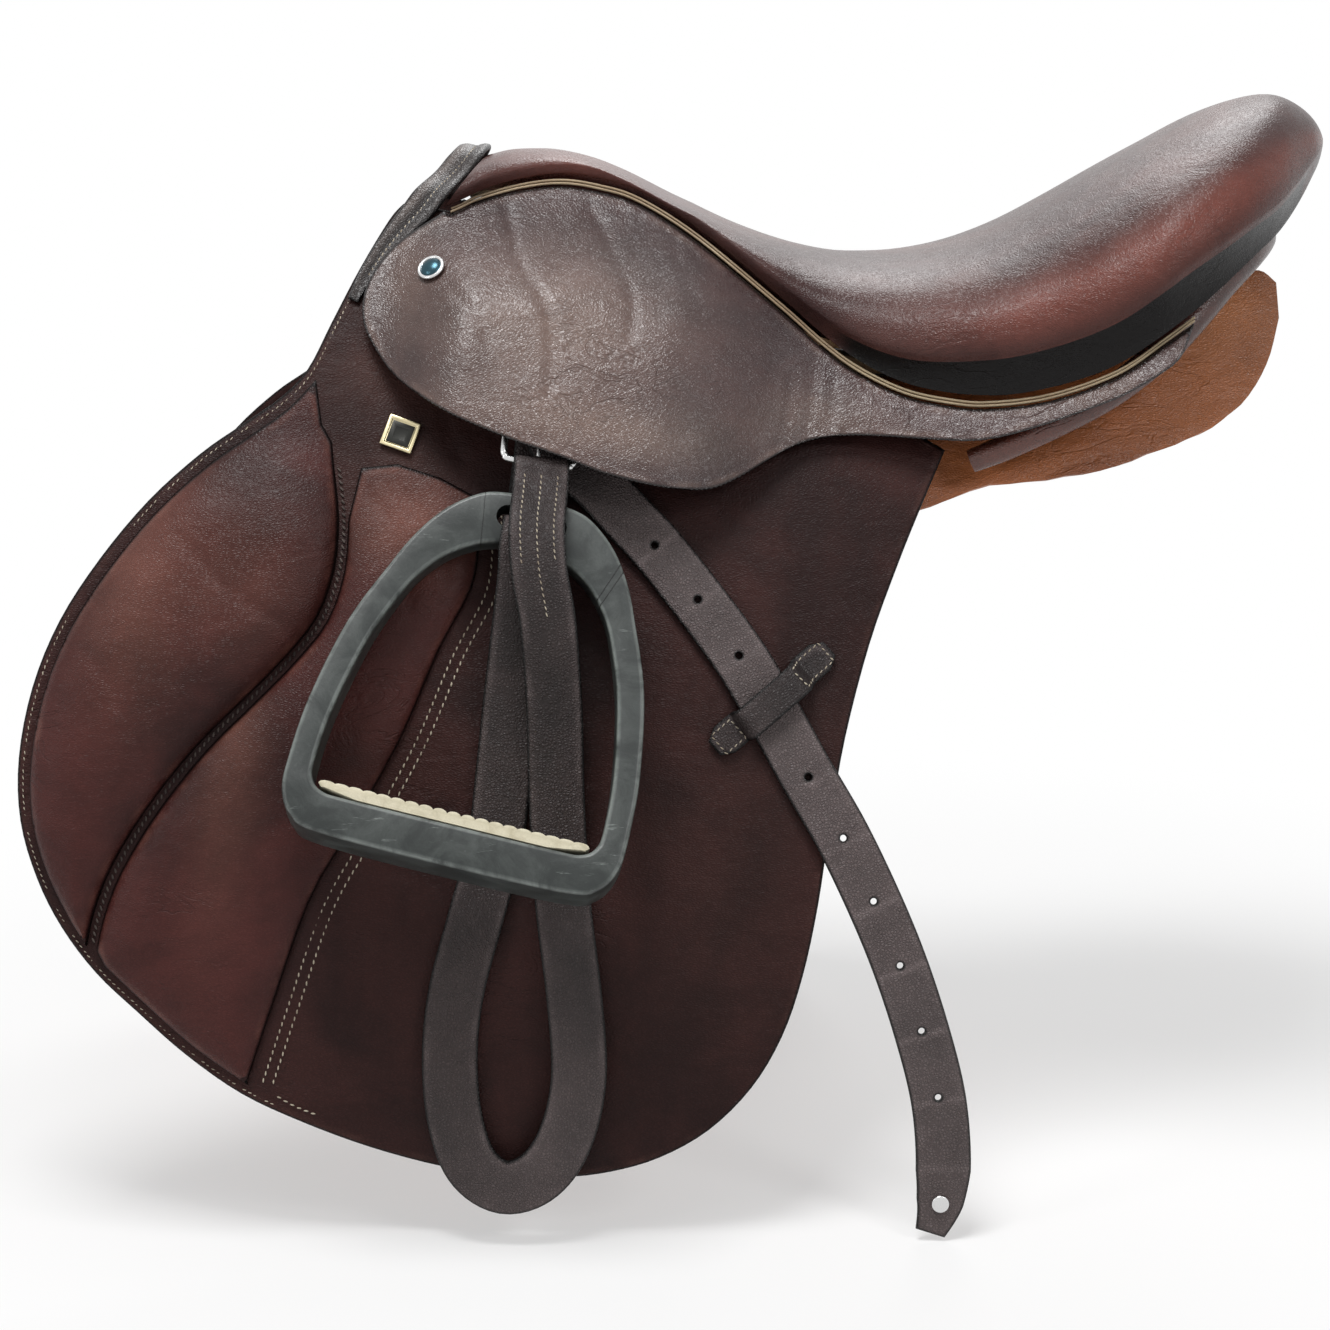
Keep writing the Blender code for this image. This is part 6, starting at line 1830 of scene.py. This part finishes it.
    def strap(self) -> None:
        """The stirrup leathers, with their stitches and tip rivets."""
        near, off = self.route(False), self.route(True)
        Piece.two("stirrup_leather_strap", self.cut(near), self.cut(off), Finish.STRAP).ride(
            "leather", Slot.STRAP, "stirrup_leather")
        thick = 0.5 * self.thick
        forms = []
        for shift, end in self.thread_rows:
            path = np.column_stack([np.full(40, shift), np.linspace(9.0, end, 40)])
            forms.append(STITCHING.on_strap(near, path, thick))
        Piece.pair("strap_stitches", Form.joined(forms), Finish.THREAD).ride("leather", Slot.STRAP)
        rivets = []
        for route in (near, off):
            place = np.array([route.length - self.tip_inset])
            tip, above = (route.point(np.zeros(1), place, np.array([n]))[0] for n in (0.0, 1.0))
            up = above - tip if above[1] < tip[1] else tip - above
            rivets.append((tip + up * (thick + 0.2), up))
        made = [Bench.disc("rivet", here * side, up * side, 4.0, 1.5, 0.55, Finish.STEEL)
                for (here, up), side in zip(rivets, SIDES)]
        Piece(Bench.named("strap_tip_rivet", made), True).ride("leather", Slot.STEEL, "tip_rivet")

    def buckle(self) -> None:
        """Rounded buckle of drawn wire and its tongue."""
        half = 0.5 * (self.buckle_inner + self.wire)
        top, heel = self.buckle_top, self.buckle_heel
        corners = [(-half, top + 4), (-half + 1.2, top + 1.2), (-half + 4, top), (half - 4, top),
                   (half - 1.2, top + 1.2), (half, top + 4), (half, heel - 4),
                   (half - 1.2, heel - 1.2), (half - 4, heel), (-half + 4, heel),
                   (-half + 1.2, heel - 1.2), (-half, heel - 4)]
        loop = spline(corners, 4, closed=True)
        points = FLANK.point(self.buckle_s + loop[:, 0], loop[:, 1], np.full(len(loop), self.buckle_n))
        Piece.pair("buckle_frame", tube(points, 0.5 * self.wire, 14, closed=True), Finish.STEEL).ride(
            "leather", Slot.STEEL, "leather_buckle")
        lift = 0.5 * self.wire + self.pin_radius + 0.3
        line = spline([(heel - 2.6, 0.0), (0.5 * (top + heel), 1.0), (top + 4, lift),
                       (top - 1, lift)], 5)
        points = FLANK.point(np.full(len(line), self.buckle_s), line[:, 0], self.buckle_n + line[:, 1])
        Piece.pair("buckle_pin", tube(points, self.pin_radius, 12), Finish.STEEL).ride(
            "leather", Slot.STEEL, "buckle_tongue")

    def axes(self) -> tuple[Array, Array, Array, Array]:
        """The iron's eye, and its across, down and front directions."""
        eye = FLANK.straight(self.eye_s, self.eye_d, FLANK.half_width(self.eye_d) + self.eye_n)[0]
        back = np.array([math.cos(FLANK.lean), 0.0, -math.sin(FLANK.lean)])
        down = np.array([-math.sin(FLANK.lean), 0.0, -math.cos(FLANK.lean)])
        down = down * math.cos(self.tilt) + np.array([0.0, -1.0, 0.0]) * math.sin(self.tilt)
        u = back * math.cos(self.swing) + down * math.sin(self.swing)
        v = down * math.cos(self.swing) - back * math.sin(self.swing)
        front = np.cross(u, v)
        return eye, u, v, front if front[1] < 0 else -front

    def placed(self, place: Array, forward: Union[float, Array]) -> Array:
        """Points of the iron, from places across and down it and distances to its front."""
        eye, u, v, front = self.axes()
        return eye + place[:, :1] * u + place[:, 1:] * v + front * forward

    def iron(self) -> None:
        """Moulded iron: bow, eye and foot bar, with its release joints."""
        half = list(self.half)
        loop = half + [(-a, b, -c, d, e) for a, b, c, d, e in reversed(half[1:-1])]
        loop = spline(loop, 7, closed=True)
        rings, wear, c = [], [], self.rounding
        turns = np.linspace(0.0, 0.5 * np.pi, 5)

        def section(row: Array, swell: float = 0.0) -> tuple[Array, Array]:
            """Ring of the bow's section at one station, and its rubbed corners."""
            outer, inner, depth = row[:2], row[2:4], row[4]
            length = float(np.hypot(*(inner - outer)))
            step = (inner - outer) / length
            h = 0.5 * depth + swell
            ring, rubbed = [], []
            corners = ((c, h - c, -1, 1), (length - c, h - c, 1, 1),
                       (length - c, c - h, 1, -1), (c, c - h, -1, -1))
            for (a, w, sa, sw), order in zip(corners, (1, -1, 1, -1)):
                for t in turns[::order]:
                    reach = c + swell
                    ring.append((a + sa * reach * math.cos(t), w + sw * reach * math.sin(t)))
                    rubbed.append(math.sin(2 * t) ** 2)
            ring = np.array(ring)
            return self.placed(outer + ring[:, :1] * step, ring[:, 1:]), np.array(rubbed)

        for row in loop:
            for made, kept in zip(section(row), (rings, wear)):
                kept.append(made)
        form = loft(rings, closed=True)
        form.marks = {"wear": np.concatenate(wear)}
        slot = []
        radius = 0.5 * self.eye_height
        reach = 0.5 * self.eye_width - radius
        for side in (1, -1):
            for k in range(13):
                angle = math.pi * (k / 12 - 0.5)
                slot.append((side * (reach + radius * math.cos(angle)),
                             side * radius * math.sin(angle)))
        slot = np.array(slot)
        plug = loft([self.placed(slot, w) for w in (-20.0, 20.0)])
        pieces = Piece.pair("iron_bow", form, Finish.COMPOSITE)
        cutters = Piece.pair("eye_plug", plug, Finish.SEAM_BLACK)
        for made, cutter in zip(pieces.objects, cutters.objects):
            bpy.ops.object.select_all(action="DESELECT")
            bpy.context.view_layer.objects.active = made
            cut = made.modifiers.new("eye", "BOOLEAN")
            cut.operation, cut.solver, cut.object = "DIFFERENCE", "EXACT", cutter
            bpy.ops.object.modifier_apply(modifier=cut.name)
            bpy.data.objects.remove(cutter, do_unlink=True)
            made.data.set_sharp_from_angle(angle=math.radians(50.0))
        pieces.ride("iron", Slot.COMPOSITE, "stirrup_iron")
        bands = []
        for start in self.joints:
            ends = (start, start + self.joint_width)
            bands.append(loft([section(self._between(loop, at), 0.12)[0] for at in ends]))
        Piece.pair("iron_joints", Form.joined(bands), Finish.SEAM_BLACK).ride("iron", Slot.COMPOSITE)

    @staticmethod
    def _between(loop: Array, place: float) -> Array:
        """A station of the loop between its points."""
        low = int(math.floor(place)) % len(loop)
        return loop[low] + (loop[(low + 1) % len(loop)] - loop[low]) * (place - math.floor(place))

    def tread(self) -> None:
        """Scalloped rubber tread."""
        profile, grime = [], []
        pitch = 2.0 * self.tread_half / self.ridges
        for k in range(self.ridges):
            start = -self.tread_half + k * pitch
            for share in self.scallop:
                lift = math.sin(math.pi * share) ** self.scallop_power
                profile.append((start + share * pitch,
                                self.tread_top + self.ridge_height * (1.0 - lift)))
                grime.append(0.55 * (1.0 - lift))
        half, base = self.tread_half, self.tread_base - 0.3
        for a, b in ((half, self.tread_top + self.ridge_height), (half - 1.5, self.tread_top + 3.2),
                     (half - 9.0, base - 1.2), (half - 17.0, base), (17.0 - half, base),
                     (9.0 - half, base - 1.2), (1.5 - half, self.tread_top + 3.2)):
            profile.append((a, b))
            grime.append(0.3)
        profile = np.array(profile)
        middle = np.array([0.0, 0.5 * (self.tread_top + base)])
        rings, depth = [], 0.5 * self.tread_depth
        for w, shrink in ((-depth, 0.94), (-depth + 0.7, 1.0), (-6.0, 1.0),
                          (6.0, 1.0), (depth - 0.7, 1.0), (depth, 0.94)):
            place = middle + (profile - middle) * np.array([0.5 + 0.5 * shrink, shrink])
            rings.append(self.placed(place, w))
        form = loft(rings)
        form.marks = {"wear": np.tile(np.array(grime), len(rings))}
        Piece.pair("iron_tread", form, Finish.TREAD, 35.0).ride("iron", Slot.TREAD, "stirrup_tread")

    def build(self) -> None:
        """Make strap, buckle, iron and tread."""
        self.strap()
        self.buckle()
        self.iron()
        self.tread()


@dataclass
class Underside:
    """Panels, sweat flaps, girth straps, webs and the facing round the front arch."""

    sweat_inner: float = -9.8
    sweat_thick: float = 3.2
    sweat_top: tuple = ((150, 2), (60, -4), (-18, 8), (-54, 8), (-64, -20))
    # a girth web's way from the tree's side to its middle, each web's name, x and drop
    web_side: tuple = ((-64.5, -3), (-62.5, 4.5), (-51, 8.4), (-20, 8.8), (0, 9.0))
    girth_webs: tuple = (("girth_web_front", -109.0, 1.4), ("girth_web_rear", -77.0, -0.2))
    seat_web: tuple = (
        (-144.8, 115.4), (-120, 95), (-90, 83), (-60, 75), (0, 63), (60, 64), (95, 75), (126, 89))
    web_half_thick: float = 0.8
    girth_n: float = -3.2
    girth_thick: float = 3.8
    girth_width: float = 25.0
    girth_pitch: float = 33.0
    girth_front: float = -142.0
    girth_top: float = 66.0
    girth_end: float = -232.0
    # punched holes: height of the first over the strap's end, pitch, count and radius
    girth_holes: tuple = (24.0, 19.0, 12, 1.9)
    panel: tuple = (
        (-196, 62, 84, 34, 9, 58), (-180, 64, 76, 46, 15, 57), (-140, 70, 60, 58, 19, 54),
        (-90, 77, 46, 60, 21, 48), (-40, 79, 37, 54, 23, 41), (10, 77, 34, 44, 25, 33),
        (60, 74, 44, 36, 26, 25), (105, 71, 49, 34, 28, 19), (140, 66, 60, 32, 31, 13),
        (165, 60, 70, 30, 32, 8), (186, 54, 80, 26, 28, 4), (199, 50, 90, 18, 19, 1),
        (205, 47, 96, 7, 8, 0))
    ceiling: tuple = (
        (-196, 100), (-150, 101), (-126, 90), (-90, 79.8), (-60, 74), (0, 62.8), (60, 64.3),
        (100, 76.3), (130, 90), (150, 98), (175, 104), (190, 109), (205, 114))
    fullness: float = 2.7
    side_gap: float = 2.6
    panel_rings: int = 64
    panel_sides: int = 56
    # share of its bulge that the stuffing keeps where tree or sweat flap presses on it
    give: float = 0.04
    roll: tuple = (
        (51, 104, 28), (73, 107, 38), (109, 107.5, 57), (134, 102, 75), (150, 94, 90),
        (168, 80, 107.5), (184, 62, 119.5), (196, 34, 125.8), (200, 5, 127.3))
    roll_radius: float = 7.5
    facing_easing: int = 30
    facing_half: float = 7.5
    facing_half_thick: float = 1.2
    facing_over: tuple = ((34, 155), (27, 162.5), (16, 167), (0, 168))
    # seam across the facing and the humps of its two rolled edges: place and width
    facing_seam: tuple = (0.8, 1.0)
    facing_humps: tuple = ((-4.0, 2.2), (5.0, 1.8))
    facing_stitches: int = 160
    facing_side: tuple = (
        (-66.5, -68, 1.0), (-70, -60, 1.0), (-77, -50, 0.8), (-84, -38, 0.62), (-89.5, -26, 0.48),
        (-93, -15, 0.34))
    rail: tuple = (
        (-160, 137), (-158, 133), (-150, 118), (-126, 101), (-90, 89.5), (-60, 82),
        (0, 68.5), (60, 70), (100, 83), (130, 97), (143, 104), (147, 106))

    def panels(self) -> None:
        """Stuffed panels with their soft creases."""
        columns = [Table(self.panel, c) for c in (1, 2, 3, 4, 5)]
        roof = Table(self.ceiling)
        first, last = self.panel[0][0], self.panel[-1][0]
        rings = []
        turn = 2.0 * np.pi * np.arange(self.panel_sides) / self.panel_sides
        for share in np.linspace(0.0, 1.0, self.panel_rings):
            x = first + (last - first) * (0.5 - 0.5 * math.cos(math.pi * share)) ** 0.9
            yc, zc, a, b, tilt = (float(column(x)) for column in columns)
            tilt = math.radians(tilt)
            cu, cv = np.cos(turn), np.sin(turn)
            scale = np.abs(cu) ** self.fullness + np.abs(cv) ** self.fullness
            scale = scale ** (-1.0 / self.fullness)
            quilt = 1.0 - 0.012 * np.sin(0.16 * x + 2.0 * turn) - 0.008 * np.sin(0.31 * x - 3.0 * turn)
            pu, pv = a * cu * scale * quilt, b * cv * scale * quilt
            y = yc + pu * math.cos(tilt) + pv * math.sin(tilt)
            z = zc - pu * math.sin(tilt) + pv * math.cos(tilt)
            lid = float(roof(x))
            z = np.where(z < lid, z, lid + self.give * (z - lid))
            _, d = FLANK.to_sd(x, z)
            side = FLANK.half_width(d) + self.sweat_inner - self.side_gap
            y = np.where(y < side, y, side + self.give * (y - side))
            rings.append(np.column_stack([np.full(self.panel_sides, x), -y, z]))
        form = loft(rings)
        worn = bell(form.points[:, 0], 165, 40) * ramp(50, 95, form.points[:, 2])
        form.marks = {"rim": np.ones(len(form.points)), "wear": 0.5 * worn}
        Piece.pair("panel_cover", form, Finish.PANEL, 60.0).ride(
            "saddle", Slot.PANEL, "panel").padded(0.75)

    def rolls(self) -> None:
        """Rolled facings between seat and panels at the back."""
        line = spline([(x, -y, z) for x, y, z in self.roll], 6)
        share = np.linspace(0, 1, len(line))
        radii = self.roll_radius * (0.55 + 0.45 * np.sin(np.pi * (0.12 + 0.8 * share)))
        form = tube(line, radii, 20)
        form.marks = {"rim": np.ones(len(form.points)), "wear": 0.3 * ramp(120, 60, form.points[:, 0])}
        Piece.pair("rear_facing", form, Finish.ROLL, 60.0).ride(
            "saddle", Slot.ROLL, "facing_roll").padded(0.8)

    def sweat_flaps(self) -> None:
        """Leather between panel and girth straps."""
        lower = np.array([p for p in FLAP_FRONT if p[1] > -30][::2], float)
        inset = inset_path(lower, 9.0)
        inset[:, 0] -= np.where(inset[:, 1] < 30, 8.0, 0.0)
        outline = np.vstack([inset, self.sweat_top])
        low, high = self.sweat_inner, self.sweat_inner + self.sweat_thick
        form = Pattern(outline, 7.0, 1.2).form(FLANK.point, flat(low), flat(high))
        Piece.pair("sweat_flap_leather", form, Finish.PANEL).ride("saddle", Slot.PANEL, "sweat_flap")

    def girth_straps(self) -> None:
        """Three girth straps with punched holes."""
        half = 0.5 * self.girth_width
        first, pitch, count, radius = self.girth_holes
        low, high = (self.girth_n + 0.5 * sign * self.girth_thick for sign in (-1, 1))
        for number in range(3):
            x = self.girth_front + number * self.girth_pitch
            turn = math.pi * np.arange(13) / 12
            ring = [(x - half * math.cos(t), self.girth_top + half * math.sin(t)) for t in turn]
            ring += [(x + half, self.girth_end + 14), (x + 5, self.girth_end),
                     (x - 5, self.girth_end), (x - half, self.girth_end + 14)]
            outline = np.array([FLANK.to_sd(px, pz) for px, pz in ring])
            holes = [(*FLANK.to_sd(x, self.girth_end + first + pitch * k), radius)
                     for k in range(count)]
            form = Pattern(outline, 5.0, 1.1, holes=holes).form(FLANK.point, flat(low), flat(high), 0.2)
            name = "girth_strap_%d" % (number + 1)
            Piece.pair("girth_leather_%d" % (number + 1), form, Finish.STRAP).ride(
                name, Slot.STRAP, name)

    def webs(self) -> None:
        """Webs stretched on the tree."""
        rail = Table(self.rail)
        for name, x, drop in self.girth_webs:
            near = [(x, y, float(rail(x)) + z - drop) for y, z in self.web_side]
            line = spline(near + [(a, -b, c) for a, b, c in reversed(near[:-1])], 5)
            self._web(name, line, (1.0, 0.0, -0.33), 26.0)
        line = spline([(x, 0.0, z) for x, z in self.seat_web], 5)
        self._web("seat_web", line, (0.0, 1.0, 0.0), 46.0)

    def _web(self, name: str, line: Array, across: tuple, width: float) -> None:
        """One woven band."""
        route = Route(line, np.tile(np.array(across), (len(line), 1)))
        half, full = 0.5 * width, route.length
        outline = np.array([(-half, 0), (-half, full), (half, full), (half, 0)])
        thick = self.web_half_thick
        form = Pattern(outline, 4.0, 0.5).form(route.point, flat(-thick), flat(thick))
        Piece.single(name + "_band", form, Finish.WEB).ride("saddle", Slot.WEB, name)

    def facing(self) -> None:
        """Stitched facing over the front arch and down the front of both flaps."""
        seat = Seat()
        lean = float(seat.lean(-176))
        rows = []
        for s, d, share in reversed(self.facing_side):
            point = FLANK.point(s, d, FLAP_THICK + 0.9 + self.facing_half_thick)[0]
            rows.append((*point, *FLANK.in_flank(d, 0.0), share))
        for y, z in self.facing_over:
            rows.append((-176 - lean * (164 - z) - 9.3, -y, z, 1.0, 0.0, 0.0, 1.0))
        rows += [(a, -b, c, e, -f, g, h) for a, b, c, e, f, g, h in reversed(rows[:-1])]
        line = spline(rows, 8)
        for _ in range(self.facing_easing):
            line[1:-1] = 0.25 * line[:-2] + 0.5 * line[1:-1] + 0.25 * line[2:]
        route = Route(line[:, :3], line[:, 3:6])
        share = line[:, 6]
        left, right = (np.column_stack([side * share, route.arc])
                       for side in (-self.facing_half, self.facing_half))
        outline = np.vstack([left, right[::-1]])

        def high(u: Array, v: Array, reach: Array) -> Array:
            """Outer face: two rolled edges and a sewn groove between them."""
            front, back = (0.5 * bell(u, *hump) for hump in self.facing_humps)
            return self.facing_half_thick - 0.9 * bell(u, *self.facing_seam) + front + back

        def outward(u: Array, v: Array, n: Array) -> Array:
            """Points at a height on the face that shows."""
            return route.point(u, v, -np.asarray(n, float))

        form = Pattern(outline, 1.6, 1.1).form(outward, flat(-self.facing_half_thick), high,
                                               lambda u, v: 0.5 * bell(u, *self.facing_humps[0]))
        Piece.single("front_facing", form, Finish.BINDING).ride("saddle", Slot.SEAT, "pommel_facing")
        stops = np.linspace(14.0, route.length - 14.0, self.facing_stitches)
        here, above = (outward(self.facing_seam[0], stops, n) for n in (0.35, 1.35))
        rows = STITCHING.row(here, above - here, pitch=3.0, length=2.1, radius=0.34)
        Piece.single("facing_stitches", rows, Finish.THREAD).ride("saddle", Slot.SEAT)

    def build(self) -> None:
        """Make everything under the seat and flaps."""
        self.panels()
        self.rolls()
        self.sweat_flaps()
        self.girth_straps()
        self.webs()
        self.facing()


@dataclass(frozen=True)
class RigidParts:
    """CAD solids that stay, with their finishes."""

    finishes: tuple = (
        ("tree", Finish.WOOD, Slot.WOOD), ("head_plate", Finish.DULL_STEEL, Slot.PLATE),
        ("stirrup_bar_near", Finish.DULL_STEEL, Slot.BAR),
        ("stirrup_bar_off", Finish.DULL_STEEL, Slot.BAR),
        ("bar_catch_near", Finish.DULL_STEEL, Slot.BAR),
        ("bar_catch_off", Finish.DULL_STEEL, Slot.BAR))

    def build(self) -> None:
        """Give each solid its material."""
        for name, finish, slot in self.finishes:
            node = frame["nodes"][name]
            for holder in node.material_slots:
                holder.material = finish.material


@dataclass
class Studio:
    """Pale floor, soft lamps and the camera of the photograph."""

    target: tuple = (-0.090, 0.0, -0.090)
    distance: float = 1.41
    look_down: float = math.radians(12.0)
    focal_share: float = 2787.0 / 1330.0
    floor_gap: float = 0.0015
    floor_radius: float = 12.0
    # radii from which and to which the floor fades, and the light it starts and ends with
    floor_fade: tuple = (0.26, 0.75, 0.50, 1.0)
    world_light: float = 0.15
    # place, size and power of each lamp
    lamps: tuple = (
        ((-0.38, -0.66, 1.85), 0.75, 36.0),
        ((1.05, -1.35, 1.05), 0.5, 8.0),
        ((-1.5, -1.2, 0.55), 0.4, 4.0),
        ((0.15, 1.35, 1.35), 0.8, 12.0))

    def camera(self) -> None:
        """Put the camera where the photograph was taken."""
        data = bpy.data.cameras.new("camera")
        data.sensor_fit = "HORIZONTAL"
        data.sensor_width = 36.0
        data.lens = 36.0 * self.focal_share
        data.clip_start, data.clip_end = 0.05, 60.0
        made = bpy.data.objects.new("camera", data)
        back = Vector((0.0, -math.cos(self.look_down), math.sin(self.look_down)))
        made.location = Vector(self.target) + back * self.distance
        made.rotation_euler = (math.radians(90.0) - self.look_down, 0.0, 0.0)
        bpy.context.scene.collection.objects.link(made)
        bpy.context.scene.camera = made

    def floor(self) -> None:
        """Round floor that fades to white far out, and keeps the shadow."""
        low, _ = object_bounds()
        made = Bench.added("floor", bpy.ops.mesh.primitive_circle_add, vertices=96,
                           radius=self.floor_radius, fill_type="NGON",
                           location=(0.0, 0.0, low.z - self.floor_gap))
        g = Graph("studio_floor")
        g.feed("Base Color", (0.90, 0.90, 0.90))
        g.feed("Roughness", 0.9)
        g.feed("Specular IOR Level", 0.1)
        place = g.place()
        radius = g.node("ShaderNodeVectorMath", {"operation": "LENGTH"}, {0: place}, "Value")
        far = g.rise(radius, *self.floor_fade)
        share = g.math("MULTIPLY", g.direct(), far, clamp=True)
        glow = g.node("ShaderNodeEmission", {}, {"Color": (1.0, 1.0, 1.0, 1.0), "Strength": 1.0})
        both = g.node("ShaderNodeMixShader", {}, {0: share, 1: Value(g, g.shader.outputs[0]), 2: glow})
        g.tree.links.new(both.socket, g.tree.nodes["Material Output"].inputs["Surface"])
        made.data.materials.append(g.owner)
        made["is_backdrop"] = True

    def light(self) -> None:
        """Soft boxes and an even white surround."""
        for number, (place, size, power) in enumerate(self.lamps):
            data = bpy.data.lights.new("soft_box_%d" % number, "AREA")
            data.shape, data.size, data.energy = "SQUARE", size, power
            lamp = bpy.data.objects.new(data.name, data)
            lamp.location = place
            aim = Vector(self.target) - Vector(place)
            lamp.rotation_euler = aim.to_track_quat("-Z", "Y").to_euler()
            bpy.context.scene.collection.objects.link(lamp)
        g = Graph("surround", world=True)
        seen = g.math("MULTIPLY", g.direct(), 1.0, clamp=True)
        g.feed("Color", (1.0, 1.0, 1.0))
        g.feed("Strength", g.node("ShaderNodeMapRange", {}, {
            "Value": seen, "To Min": self.world_light, "To Max": 1.0}))
        bpy.context.scene.world = g.owner

    def build(self) -> None:
        """Set up everything round the saddle."""
        self.camera()
        self.floor()
        self.light()
        bpy.context.scene.view_settings.view_transform = "Standard"


def main() -> None:
    """Dress the saddle and set up the studio."""
    logging.basicConfig(level=logging.INFO, format="%(message)s")
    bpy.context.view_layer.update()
    for part in (RigidParts(), Seat(), FlapSide(), SkirtSide(), Stirrup(), Underside(), Studio()):
        part.build()
        LOG.info("made %s", type(part).__name__)
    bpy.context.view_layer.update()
    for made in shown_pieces():
        LOG.info("piece %s", made.name)


if __name__ == "__main__":
    main()
